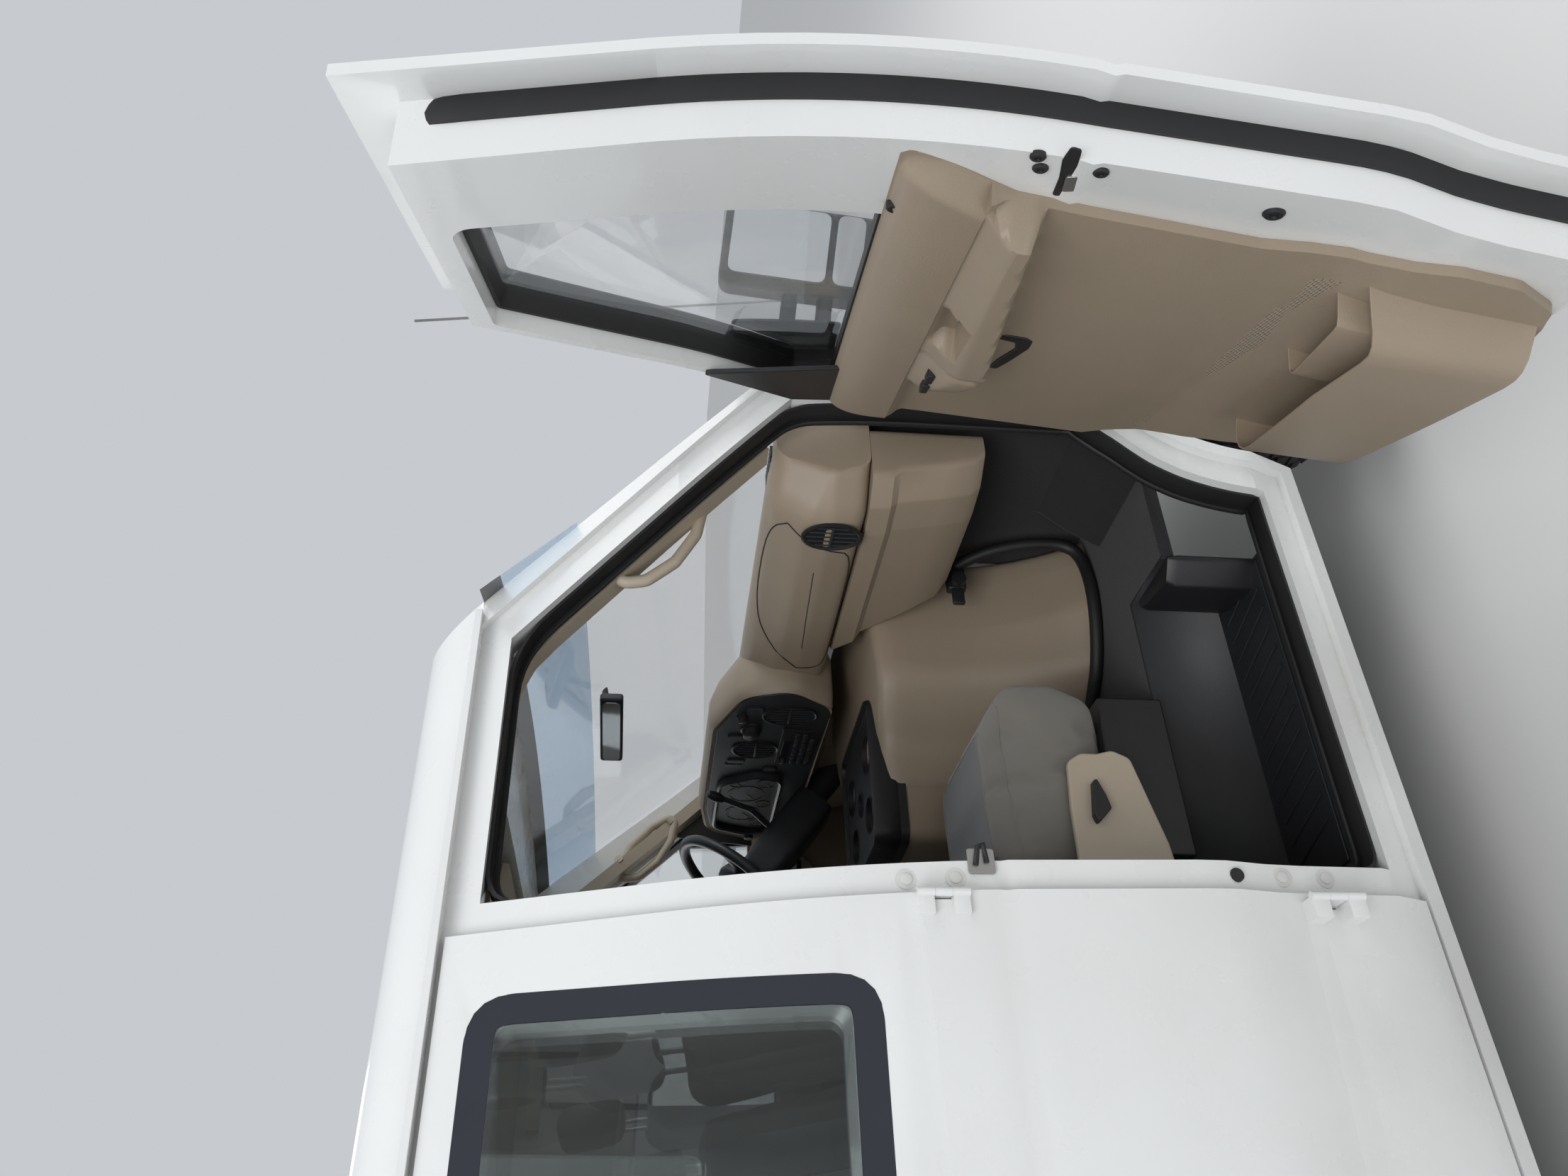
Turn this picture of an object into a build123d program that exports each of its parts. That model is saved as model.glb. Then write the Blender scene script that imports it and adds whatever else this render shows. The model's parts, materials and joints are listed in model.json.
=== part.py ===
from build123d import *
import os
from math import cos, radians, sin, sqrt, tan

os.makedirs("parts", exist_ok=True)

# Full-size van. X points forward, Y to the left, Z up, in millimetres. The origin is on the ground,
# midway between the axles, on the centre plane.

# Driving dimensions: running gear
WHEELBASE = 3505.0
FRONT_TRACK = 1763.0
REAR_TRACK = 1702.0
TYRE_DIAMETER = 773.0
TYRE_WIDTH = 245.0
RIM_SEAT_DIAMETER = 406.0
KINGPIN_INSET = 105.0
FRONT_AXLE_X = WHEELBASE / 2
REAR_AXLE_X = -WHEELBASE / 2
WHEEL_Z = TYRE_DIAMETER / 2

# Driving dimensions: body
HALF_WIDTH = 1003.0
BODY_REAR_X = -2830.0
NOSE_X = 2435.0
SILL_Z = 300.0
STEP_LINE_Z = 625.0
CREASE_Z = 1065.0
SHOULDER_Z = 1100.0
ARC_TOP_Z = 1600.0
ARC_TOP_IN = 65.0
ROOF_TOP_Z = 2093.0
DRIP_Z = ROOF_TOP_Z - 142.0
DRIP_IN = 162.0
ROOF_CORNER_Y = HALF_WIDTH - 263.0
ROOF_CORNER_Z = ROOF_TOP_Z - 43.0
ROOF_WALL = 35.0
FLOOR_Z = 590.0
FLOOR_WALL = 30.0
SEAT_FIT = 0.3

# Driving dimensions: walls, doors and the gaps round them
BODY_SKIN = 20.0
DOOR_SKIN = 14.0
RABBET_GAP = 6.0
WALL = 76.0
DOOR_WALL = 92.0
SEAM_GAP = 9.0
INNER_GAP = 14.0
DOOR_LAP = 60.0
GLASS = 5.0
GLASS_FIT = 0.3

# The line of the seam behind the front doors leans forward towards the sill
SEAM_X = 330.0
SEAM_TOP_X = 300.0
SEAM_FOOT_X = 342.0

# Driving dimensions: front doors
DOOR_FRONT_X = 1425.0
DOOR_BOTTOM_Z = 345.0
DOOR_TOP_Z = DRIP_Z - 9.0
PILLAR_LINE = 2818.0
ARCH_RADIUS = 455.0
ARCH_LIP = 37.0
DOOR_OPEN_ANGLE = 64.4

# Driving dimensions: side cargo doors and rear doors
SIDE_DOOR_SPLIT_X = -395.0
SIDE_DOOR_REAR_X = -905.0
SIDE_DOOR_BOTTOM_Z = 345.0
REAR_DOOR_BOTTOM_Z = 580.0
REAR_DOOR_TOP_Z = DRIP_Z - 26.0
REAR_DOOR_EDGE_IN = 75.0

# Windows
WINDOW_BOTTOM_Z = 1285.0
WINDOW_TOP_Z = DRIP_Z - 58.0
WINDOW_RADIUS = 70.0
WINDOW_LIP = 14.0
PLATE_SPACING = (177.8, 120.65)
PLATE_HOLE_RADIUS = 3.3
REAR_PLATE = (405.0, 905.0)
WINDOW_FRIT = 45.0
FRONT_WINDOW_TOP_Z = DRIP_Z - 99.0
FRONT_WINDOW_LINE = 2712.0

# Windshield: its plane leans back at 45 degrees and bows forward in plan
SCREEN_LINE = 2863.0
SCREEN_BOW = 130.0
SCREEN_HALF = HALF_WIDTH - 43.0
SCREEN_FOOT_Z = 1178.0
SCREEN_HEAD_Z = DRIP_Z + 14.0

# Nose
HOOD_REAR_X = 1815.0
HOOD_HALF = 735.0
COWL_Z = 1160.0
HOOD_FRONT_Z = 1075.0
NOSE_WALL = 40.0
NOSE_CORNER = 170.0
BUMPER_FRONT_X = 2504.0
BUMPER_REAR_X = -2878.0
BUMPER_Z = (425.0, 625.0)
REAR_BUMPER_Z = (425.0, 570.0)


# Basic solids

def block(x0, x1, y0, y1, z0, z1):
    """A box between two corners."""
    return Pos((x0 + x1) / 2, (y0 + y1) / 2, (z0 + z1) / 2) * Box(abs(x1 - x0), abs(y1 - y0), abs(z1 - z0))


def flat(points, radius=0.0):
    """A flat face with the given corners, all rounded by one radius."""
    if radius:
        return make_face(FilletPolyline(*points, radius=radius, close=True))
    return make_face(Polyline(*points, close=True))


def across(face, y0, y1):
    """Pushes an (x, z) face across the van from y0 to y1."""
    return extrude(Plane.XZ.offset(-y0) * face, amount=y0 - y1)


def along(face, x0, x1):
    """Pushes a (y, z) face along the van from x0 to x1."""
    return extrude(Plane.YZ.offset(x0) * face, amount=x1 - x0)


def upward(face, z0, z1):
    """Pushes an (x, y) face up from z0 to z1."""
    return extrude(Plane.XY.offset(z0) * face, amount=z1 - z0)


def rod(start, end, radius):
    """A round bar between two points."""
    start, end = Vector(*start), Vector(*end)
    return extrude(Plane(start, z_dir=end - start) * Circle(radius), amount=(end - start).length)


def ring(start, end, radius, bore):
    """A round tube between two points."""
    start, end = Vector(*start), Vector(*end)
    face = Circle(radius) - Circle(bore)
    return extrude(Plane(start, z_dir=end - start) * face, amount=(end - start).length)


def right_of(shape):
    """The same shape on the other side of the van."""
    return mirror(shape, about=Plane.XZ)


def both(shape):
    """A left shape and its right twin, as separate solids."""
    return [shape, right_of(shape)]


def solids_of(shapes):
    """Every solid of the given shapes in one flat list."""
    found = []
    for shape in shapes:
        found.extend(shape.solids())
    return found


def save(name, *shapes):
    """Writes one node."""
    solids = solids_of(shapes)
    export_step(solids[0] if len(solids) == 1 else Compound(children=solids), f"parts/{name}.step")


# Body section: the side's outline seen from the front, moved inboard by some depth

def side_outline(depth):
    """Edges of the left side's (y, z) outline from the sill to the drip line."""
    y = HALF_WIDTH - depth
    foot = Polyline(
        (y - 83, SILL_Z), (y - 38, SILL_Z + 110), (y - 28, STEP_LINE_Z - 65), (y - 20, STEP_LINE_Z),
        (y - 3, STEP_LINE_Z + 75), (y, STEP_LINE_Z + 125), (y, CREASE_Z), (y - 4, CREASE_Z + 12),
        (y, SHOULDER_Z),
    )
    rise = ARC_TOP_Z - SHOULDER_Z
    bend = (rise**2 + ARC_TOP_IN**2) / (2 * ARC_TOP_IN)
    middle = (y - bend + sqrt(bend**2 - (rise / 2) ** 2), SHOULDER_Z + rise / 2)
    arc = ThreePointArc((y, SHOULDER_Z), middle, (y - ARC_TOP_IN, ARC_TOP_Z))
    top = Line((y - ARC_TOP_IN, ARC_TOP_Z), (y - DRIP_IN, DRIP_Z))
    return [*foot.edges(), *arc.edges(), *top.edges()]


def side_layer(depth, thickness, x0, x1):
    """A layer of the left side wall between two depths behind the skin."""
    outer = side_outline(depth)
    inner = side_outline(depth + thickness)
    y = HALF_WIDTH - depth
    foot = Line((y - 83, SILL_Z), (y - 83 - thickness, SILL_Z))
    head = Line((y - DRIP_IN, DRIP_Z), (y - DRIP_IN - thickness, DRIP_Z))
    return along(make_face([*outer, head, *inner, foot]), x0, x1)


def inside(depth, x0, x1):
    """Everything between the two sides' outlines at some depth."""
    y = HALF_WIDTH - depth
    left = side_outline(depth)
    right = [edge.mirror(Plane.YZ) for edge in left]
    foot = Line((-(y - 83), SILL_Z), (y - 83, SILL_Z))
    head = Line((-(y - DRIP_IN), DRIP_Z), (y - DRIP_IN, DRIP_Z))
    return along(make_face([*left, head, *right, foot]), x0, x1)


# Outlines seen from the side

def seam_x(z):
    """The seam behind the front door at one height."""
    if z > CREASE_Z:
        return SEAM_X + (SEAM_TOP_X - SEAM_X) * (z - CREASE_Z) / (DRIP_Z - CREASE_Z)
    return SEAM_X + (SEAM_FOOT_X - SEAM_X) * (CREASE_Z - z) / (CREASE_Z - SILL_Z)


def front_door_outline(grow=0.0):
    """The front door seen from the side, grown or shrunk by some margin."""
    arch = ARCH_RADIUS + ARCH_LIP - grow
    front, bottom, top = DOOR_FRONT_X + grow, DOOR_BOTTOM_Z - grow, DOOR_TOP_Z + grow
    pillar = PILLAR_LINE + grow * sqrt(2)
    rear = SEAM_GAP - grow
    arch_front = (front, WHEEL_Z + sqrt(arch**2 - (FRONT_AXLE_X - front) ** 2))
    arch_foot = (FRONT_AXLE_X - sqrt(arch**2 - (bottom - WHEEL_Z) ** 2), bottom)
    middle = radians(155)
    arch_middle = (FRONT_AXLE_X + arch * cos(middle), WHEEL_Z + arch * sin(middle))
    edges = [
        Line((seam_x(bottom) + rear, bottom), arch_foot),
        ThreePointArc(arch_foot, arch_middle, arch_front),
        Line(arch_front, (front, pillar - front)),
        Line((front, pillar - front), (pillar - top, top)),
        Line((pillar - top, top), (seam_x(top) + rear, top)),
        Line((seam_x(top) + rear, top), (SEAM_X + rear, CREASE_Z)),
        Line((SEAM_X + rear, CREASE_Z), (seam_x(bottom) + rear, bottom)),
    ]
    return make_face(edges)


def side_door_outline(x_rear, x_front, grow=0.0):
    """A side cargo door; its front edge follows the seam where x_front is none."""
    bottom, top = SIDE_DOOR_BOTTOM_Z - grow, DOOR_TOP_Z + grow
    if x_front is None:
        front = [(seam_x(bottom) + grow, bottom), (SEAM_X + grow, CREASE_Z), (seam_x(top) + grow, top)]
    else:
        front = [(x_front + grow, bottom), (x_front + grow, top)]
    return flat([(x_rear - grow, bottom), *front, (x_rear - grow, top)])


def window_outline(x0, x1, grow=0.0, z0=WINDOW_BOTTOM_Z, z1=WINDOW_TOP_Z):
    """A side window with round corners."""
    x0, x1, z0, z1 = x0 - grow, x1 + grow, z0 - grow, z1 + grow
    return flat([(x0, z0), (x1, z0), (x1, z1), (x0, z1)], max(WINDOW_RADIUS + grow, 12))


def front_window_outline(grow=0.0):
    """The front door's window: a sloping rear edge, a pillar edge and a low nose."""
    corners = [
        (580 - grow, WINDOW_BOTTOM_Z - grow), (1330 + grow, WINDOW_BOTTOM_Z - grow),
        (1330 + grow, FRONT_WINDOW_LINE - 1330 + 0.4 * grow),
        (FRONT_WINDOW_LINE - FRONT_WINDOW_TOP_Z + 0.4 * grow, FRONT_WINDOW_TOP_Z + grow),
        (540 - grow, FRONT_WINDOW_TOP_Z + grow),
    ]
    return flat(corners, 26)


def side_band(face, y0=HALF_WIDTH - 353.0, y1=HALF_WIDTH + 97.0):
    """A left side cutter from an (x, z) face."""
    return across(face, y0, y1)


# Doors: a full-size skin, a smaller box behind it, a window through both

def door_shell(skin_face, box_face, window_face):
    """A left door as one hollow-edged solid."""
    skin = side_layer(0, DOOR_SKIN, BODY_REAR_X, NOSE_X) & side_band(skin_face)
    box = side_layer(DOOR_SKIN, DOOR_WALL - DOOR_SKIN, BODY_REAR_X, NOSE_X) & side_band(box_face)
    return skin + box - side_band(window_face)


def pane(face, depth):
    """A left sheet of glass with the given outline at some depth."""
    return side_layer(depth, GLASS, BODY_REAR_X, NOSE_X) & side_band(face)


FRONT_WINDOW_DEPTH = 30.0
front_window = front_window_outline()
front_shell = door_shell(front_door_outline(), front_door_outline(-DOOR_LAP), front_window)
front_slot = side_layer(FRONT_WINDOW_DEPTH - GLASS_FIT, GLASS + 2 * GLASS_FIT, BODY_REAR_X, NOSE_X)
front_shell = front_shell - (front_slot & side_band(front_window_outline(WINDOW_LIP + GLASS_FIT)))
front_pane = pane(front_window_outline(WINDOW_LIP), FRONT_WINDOW_DEPTH)

# Side cargo doors: the rear edge is free on the front leaf, the front edge on the rear leaf
SIDE_WINDOWS = {"front": (-300.0, 205.0), "rear": (-820.0, -490.0)}
LEAVES = {
    "front": (SIDE_DOOR_SPLIT_X, None),
    "rear": (SIDE_DOOR_REAR_X, SIDE_DOOR_SPLIT_X - SEAM_GAP),
}
leaf_shells, leaf_panes = {}, {}
for leaf, (x_rear, x_front) in LEAVES.items():
    x0, x1 = SIDE_WINDOWS[leaf]
    shell = door_shell(
        side_door_outline(x_rear, x_front), side_door_outline(x_rear, x_front, -DOOR_LAP),
        window_outline(x0, x1, -WINDOW_FRIT),
    )
    seat = side_layer(0, GLASS + GLASS_FIT, BODY_REAR_X, NOSE_X)
    seat = seat & side_band(window_outline(x0, x1, GLASS_FIT))
    leaf_shells[leaf] = right_of(shell - seat)
    leaf_panes[leaf] = right_of(pane(window_outline(x0, x1), 0))


# Hinges: a knuckle with its pin on the body, two end knuckles and a strap on the door

BARREL_RADIUS = 7.0
PIN_RADIUS = 3.0
PIN_FIT = 0.15
KNUCKLE_GAP = 0.3
END_GAP = 0.5
PIVOT_CLEARANCE = 3.0


def hinge(foot, head, door_plate, body_plate):
    """Door half, body half and the space both need; a plate is (x0, x1, y0, y1) from the axis."""
    foot, head = Vector(*foot), Vector(*head)
    third = (head - foot) / 3
    gap = third.normalized() * KNUCKLE_GAP
    door = None
    for start, end in ((foot, foot + third - gap), (head - third + gap, head)):
        knuckle = ring(start, end, BARREL_RADIUS, PIN_RADIUS + PIN_FIT)
        half = knuckle + (leaf_plate(start, end, door_plate) - rod(foot, head, BARREL_RADIUS - 1))
        door = half if door is None else door + half
    body = rod(foot + third, head - third, BARREL_RADIUS) + rod(foot, head, PIN_RADIUS)
    body = body + leaf_plate(foot + third, head - third, body_plate)
    spare = third.normalized() * END_GAP
    return door, body, rod(foot - spare, head + spare, BARREL_RADIUS + PIVOT_CLEARANCE)


def leaf_plate(start, end, plate):
    """A flat leaf from a knuckle to its panel, along the hinge axis."""
    x0, x1, y0, y1 = plate
    length = (end - start).length
    flat_leaf = block(x0, x1, y0, y1, 1, length - 1)
    return Plane(start, x_dir=(1, 0, 0), z_dir=end - start) * flat_leaf


# Axes of the doors: each stands just outside the skin, so no edge swings into its neighbour
FRONT_HINGE = (DOOR_FRONT_X + 5.0, -(HALF_WIDTH + 6.0), 1070.0)
FRONT_HINGE_LEAN = (tan(radians(2.9)), tan(radians(5.0)), 1.0)
FRONT_HINGES = (
    # foot z, head z, depth of the door's leaf, depth of the body's leaf
    (880.0, 950.0, 30.0, 40.0), (1240.0, 1310.0, 4.0, 24.0),
)
SIDE_HINGE_Y = -(HALF_WIDTH + 7.0)
SIDE_HINGE_X = {"front": SEAM_X - 8.0, "rear": SIDE_DOOR_REAR_X + 8.0}
SIDE_HINGE_HEIGHTS = ((500.0, 590.0), (1141.0, 1224.0))
REAR_HINGE = (BODY_REAR_X - 9.0, HALF_WIDTH - REAR_DOOR_EDGE_IN + 5.0)
REAR_HINGE_HEIGHTS = ((760.0, 850.0), (1330.0, 1420.0))


def on_front_axis(z):
    """A point of the right front door's hinge axis at one height."""
    x, y, z_base = FRONT_HINGE
    return (x + FRONT_HINGE_LEAN[0] * (z - z_base), y + FRONT_HINGE_LEAN[1] * (z - z_base), z)


# Front doors, drawn shut
front_body_hinges = []
right_front_shell = right_of(front_shell)
for z0, z1, depth, body_depth in FRONT_HINGES:
    door_half, body_half, space = hinge(
        on_front_axis(z0), on_front_axis(z1), (-36, -6, -3, depth), (6, 36, -3, body_depth),
    )
    front_body_hinges.append((body_half, space))
    right_front_shell = right_front_shell - space + door_half
left_front_shell = right_of(right_front_shell)

# Inner trim of the front door: belt roll, panel, armrest, map pocket, and the corner piece with the mirror
TRIM_DEPTH = DOOR_WALL + 0.3
TRIM_THICK = 10.0
SAIL_FRONT_X = 1352.0


def trim_layer(depth, thick, corners, radius=12.0):
    """A left slab of door trim with the given (x, z) corners."""
    return side_layer(depth, thick, BODY_REAR_X, NOSE_X) & side_band(flat(corners, radius), 500)


TRIM_TOP_Z = WINDOW_BOTTOM_Z - 2.0
panel_corners = [
    (575, 412), (1185, 412), (1225, 600), (1345, 800), (1345, TRIM_TOP_Z), (415, TRIM_TOP_Z), (493, 1148),
    (520, 810), (475, 560), (480, 480),
]
panel = trim_layer(TRIM_DEPTH, TRIM_THICK, panel_corners, 20)
belt_roll = trim_layer(TRIM_DEPTH, 30, [(455, 1183), (1320, 1183), (1320, 1270), (410, 1270)], 12)
armrest_corners = [(490, 1105), (700, 1085), (985, 1052), (1095, 1092), (1165, 1172), (490, 1172)]
armrest = trim_layer(TRIM_DEPTH, 66, armrest_corners, 14)
pocket = trim_layer(TRIM_DEPTH, 80, [(575, 425), (1095, 425), (1095, 590), (575, 640)], 14)
pocket_hollow = [(593, 440), (1080, 440), (1080, 680), (593, 680)]
pocket = pocket - trim_layer(TRIM_DEPTH + TRIM_THICK, 60, pocket_hollow, 10)
left_trim = panel + belt_roll + armrest + pocket

# Outside mirror: a bracket on the sail, an arm and a tall housing with its two glasses
MIRROR_X = (1285.0, 1380.0)
MIRROR_Y = (HALF_WIDTH + 82.0, HALF_WIDTH + 259.0)
MIRROR_Z = (1250.0, 1545.0)
sail_corners = [(1205, 1300), (1340, 1300), (1340, 1365), (1180, 1520)]
sail = side_layer(0, 4, 0, NOSE_X) & side_band(flat(sail_corners, 10))
sail = Pos(0, 4.3, 0) * sail
housing = upward(
    Rectangle(MIRROR_X[1] - MIRROR_X[0], MIRROR_Y[1] - MIRROR_Y[0]), MIRROR_Z[0], MIRROR_Z[1]
)
housing = Pos((MIRROR_X[0] + MIRROR_X[1]) / 2, (MIRROR_Y[0] + MIRROR_Y[1]) / 2, 0) * housing
housing = fillet(housing.edges().filter_by(Axis.Z), 30)
housing = fillet(housing.faces().sort_by(Axis.Z)[-1].edges(), 24)
mirror_glass = block(MIRROR_X[0] - 4, MIRROR_X[0] + 6, MIRROR_Y[0] + 14, MIRROR_Y[1] - 14, 1335, 1530)
spot_glass = block(MIRROR_X[0] - 4, MIRROR_X[0] + 6, MIRROR_Y[0] + 14, MIRROR_Y[1] - 14, 1266, 1325)
left_mirror = sail + housing + mirror_glass + spot_glass
for z in (1330, 1400):
    left_mirror = left_mirror + rod((1300, HALF_WIDTH - 43, z), (1330, MIRROR_Y[0] + 20, z), 16)
left_mirror = left_mirror - side_layer(0, 200, 0, NOSE_X)

# The right front door rests open: its pieces turn about the leaning axis
front_axis = Axis(FRONT_HINGE, FRONT_HINGE_LEAN)


def swung(shape):
    """A right front door piece, turned from shut to its rest."""
    return shape.rotate(front_axis, DOOR_OPEN_ANGLE)


front_door = {"shell": left_front_shell, "glass": front_pane, "trim": left_trim, "mirror": left_mirror}
for name, shape in front_door.items():
    save(f"left_front_door_{name}", shape)
    save(f"right_front_door_{name}", swung(right_of(shape)))

# Side cargo doors on the right
side_body_hinges = []
for leaf, x in SIDE_HINGE_X.items():
    inward = (-34, 0) if leaf == "front" else (0, 34)
    for z0, z1 in SIDE_HINGE_HEIGHTS:
        foot, head = (x, SIDE_HINGE_Y, z0), (x, SIDE_HINGE_Y, z1)
        depth = 44 if z0 < STEP_LINE_Z else 14
        door_half, body_half, space = hinge(foot, head, (*inward, -2, depth), (-6, 6, 0, depth + 26))
        third = (z1 - z0) / 3
        ahead = 1 if leaf == "front" else -1
        x0, x1 = sorted((x - 9 * ahead, x + 30 * ahead))
        pocket = block(x0, x1, SIDE_HINGE_Y - 20, SIDE_HINGE_Y + depth + 14, z0 + third, z1 - third)
        leaf_shells[leaf] = leaf_shells[leaf] - pocket - space + door_half
        side_body_hinges.append((body_half, space))
    save(f"side_door_{leaf}_shell", leaf_shells[leaf])
    save(f"side_door_{leaf}_glass", leaf_panes[leaf])

# Rear doors: one outline in (y, z), a skin and a smaller box, a window, hinges at the outer edge


def rear_outline(shrink=0.0):
    """The left rear door seen from behind."""
    y0, z0, z1 = SEAM_GAP / 2 + shrink, REAR_DOOR_BOTTOM_Z + shrink, REAR_DOOR_TOP_Z - shrink
    edge = HALF_WIDTH - REAR_DOOR_EDGE_IN - shrink
    return make_face(Polyline(
        (y0, z0), (edge, z0), (edge, ARC_TOP_Z - 180), (edge - ARC_TOP_IN, ARC_TOP_Z + 40),
        (edge - DRIP_IN + 12, z1), (y0, z1), close=True,
    ))


REAR_WINDOW = (95.0, HALF_WIDTH - 213.0, 1265.0, WINDOW_TOP_Z - 48.0)


def rear_window(grow=0.0):
    """The left rear door's window seen from behind."""
    x0, x1, foot, head = REAR_WINDOW
    z0, z1 = foot - grow, head + grow
    return flat([(x0 - grow, z0), (x1 + grow, z0), (x1 - 90 + grow, z1), (x0 - grow, z1)], 50)


rear_skin = along(rear_outline(), BODY_REAR_X, BODY_REAR_X + DOOR_SKIN)
rear_box = along(rear_outline(45), BODY_REAR_X + DOOR_SKIN, BODY_REAR_X + 70)
rear_shell = rear_skin + rear_box - along(rear_window(), BODY_REAR_X - 1, BODY_REAR_X + 80)
rear_seat = rear_window(WINDOW_LIP + GLASS_FIT)
rear_shell = rear_shell - along(rear_seat, BODY_REAR_X - 1, BODY_REAR_X + GLASS + GLASS_FIT)
rear_pane = along(rear_window(WINDOW_LIP), BODY_REAR_X, BODY_REAR_X + GLASS)
rear_body_hinges = []
for z0, z1 in REAR_HINGE_HEIGHTS:
    foot, head = (REAR_HINGE[0], REAR_HINGE[1], z0), (REAR_HINGE[0], REAR_HINGE[1], z1)
    door_half, body_half, space = hinge(foot, head, (-2, 12, -46, 0), (-2, 12, 0, 44))
    rear_shell = rear_shell - space + door_half
    rear_body_hinges.append((body_half, space))
plate_y, plate_z = REAR_PLATE
plate_holes = [
    rod((BODY_REAR_X - 1, y, z), (BODY_REAR_X + 20, y, z), PLATE_HOLE_RADIUS)
    for y in (plate_y - PLATE_SPACING[0] / 2, plate_y + PLATE_SPACING[0] / 2)
    for z in (plate_z - PLATE_SPACING[1] / 2, plate_z + PLATE_SPACING[1] / 2)
]
rear_shells = {"left": rear_shell - Compound(children=plate_holes), "right": right_of(rear_shell)}
for side, turn in (("left", lambda shape: shape), ("right", right_of)):
    save(f"{side}_rear_door_shell", rear_shells[side])
    save(f"{side}_rear_door_glass", turn(rear_pane))

# Body sides

QUARTER_WINDOW = (-2620.0, -1010.0)
LEFT_WINDOWS = ((-2620.0, -1690.0), (-1600.0, -690.0), (-600.0, 205.0))
REAR_ARCH_RADIUS = 450.0
SIDE_FRONT_X = DOOR_FRONT_X + 40.0
TAIL_Y = (946.0, 1010.0)
TAIL_Z = (880.0, 1230.0)
TAIL_FIT = 0.3


def arch_cut(axle_x, radius, y0, y1):
    """A wheel arch opening, open towards the ground."""
    disc = rod((axle_x, y0, WHEEL_Z), (axle_x, y1, WHEEL_Z), radius)
    return disc + block(axle_x - radius, axle_x + radius, y0, y1, 0, WHEEL_Z)


def ahead_of_screen(depth=0.0):
    """Everything ahead of the windshield's back, moved ahead by some depth."""
    line = SCREEN_LINE - (GLASS + GLASS_FIT) * sqrt(2) + depth * sqrt(2)
    foot_x = line - 700.0
    slope = Plane((foot_x, 0, 700.0), x_dir=(0, -1, 0), z_dir=(-1, 0, 1))
    y, low = SCREEN_HALF + 60, -sag(60)
    arc = ThreePointArc((-y, low), (0, SCREEN_BOW * cos(radians(45))), (y, low))
    box = Polyline((y, low), (y, 1500), (-y, 1500), (-y, low))
    return extrude(slope * make_face([*arc.edges(), *box.edges()]), amount=2200)


def sag(extra):
    """How far the screen's arc drops past its chord when it runs on by some extra width."""
    return SCREEN_BOW * ((SCREEN_HALF + extra) ** 2 / SCREEN_HALF**2 - 1) * cos(radians(45))


def tail_block(grow):
    """The left tail lamp's block, grown by some margin."""
    y0, y1, z0, z1 = TAIL_Y[0] - grow, TAIL_Y[1] + grow, TAIL_Z[0] - grow, TAIL_Z[1] + grow
    return block(BODY_REAR_X - 1, BODY_REAR_X + 40 + grow, y0, y1, z0, z1)


def side_wall(doors_outer, doors_inner, windows):
    """A left side wall: a skin and a thicker inner wall, cut by door outlines and windows."""
    skin = side_layer(0, BODY_SKIN, BODY_REAR_X, SIDE_FRONT_X)
    inner = side_layer(BODY_SKIN, WALL - BODY_SKIN, BODY_REAR_X, SIDE_FRONT_X)
    for face in doors_outer:
        skin = skin - side_band(face)
    for face in doors_inner:
        inner = inner - side_band(face)
    wall = skin + inner
    for x0, x1 in windows:
        wall = wall - side_band(window_outline(x0, x1, -WINDOW_FRIT))
        seat = side_layer(0, GLASS + GLASS_FIT, BODY_REAR_X, NOSE_X)
        wall = wall - (seat & side_band(window_outline(x0, x1, GLASS_FIT)))
    wall = wall - along(rear_outline(-SEAM_GAP), BODY_REAR_X - 1, BODY_REAR_X + DOOR_SKIN + RABBET_GAP)
    wall = wall - along(rear_outline(45 - INNER_GAP), BODY_REAR_X - 1, BODY_REAR_X + 100)
    wall = wall - block(BODY_REAR_X - 1, BODY_REAR_X + 80, 0, 1100, 0, REAR_BUMPER_Z[1] + SEAM_GAP)
    wall = wall - tail_block(TAIL_FIT)
    wall = wall - arch_cut(REAR_AXLE_X, REAR_ARCH_RADIUS, 500, 1200)
    return wall - arch_cut(FRONT_AXLE_X, ARCH_RADIUS, 500, 1200) - ahead_of_screen()


front_door_cuts = (front_door_outline(SEAM_GAP), front_door_outline(INNER_GAP - DOOR_LAP))
side_door_whole = (SIDE_DOOR_REAR_X, None)
side_door_cuts = [side_door_outline(*side_door_whole, grow) for grow in (SEAM_GAP, INNER_GAP - DOOR_LAP)]
left_wall = side_wall([front_door_cuts[0]], [front_door_cuts[1]], LEFT_WINDOWS)
right_wall = right_of(side_wall(
    [front_door_cuts[0], side_door_cuts[0]], [front_door_cuts[1], side_door_cuts[1]], [QUARTER_WINDOW],
))
for body_half, space in front_body_hinges:
    right_wall = right_wall - space + body_half
    left_wall = left_wall - right_of(space) + right_of(body_half)
for body_half, space in side_body_hinges:
    right_wall = right_wall - space + body_half
for body_half, space in rear_body_hinges:
    right_wall = right_wall - right_of(space) + right_of(body_half)
    left_wall = left_wall - space + body_half
save("body_side_left", left_wall)
save("body_side_right", right_wall)
left_panes = [pane(window_outline(x0, x1), 0) for x0, x1 in LEFT_WINDOWS]
right_panes = [right_of(pane(window_outline(*QUARTER_WINDOW), 0))]
save("side_glass", *left_panes, *right_panes)

# Roof with its drip rails
roof_y = HALF_WIDTH - DRIP_IN


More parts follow.
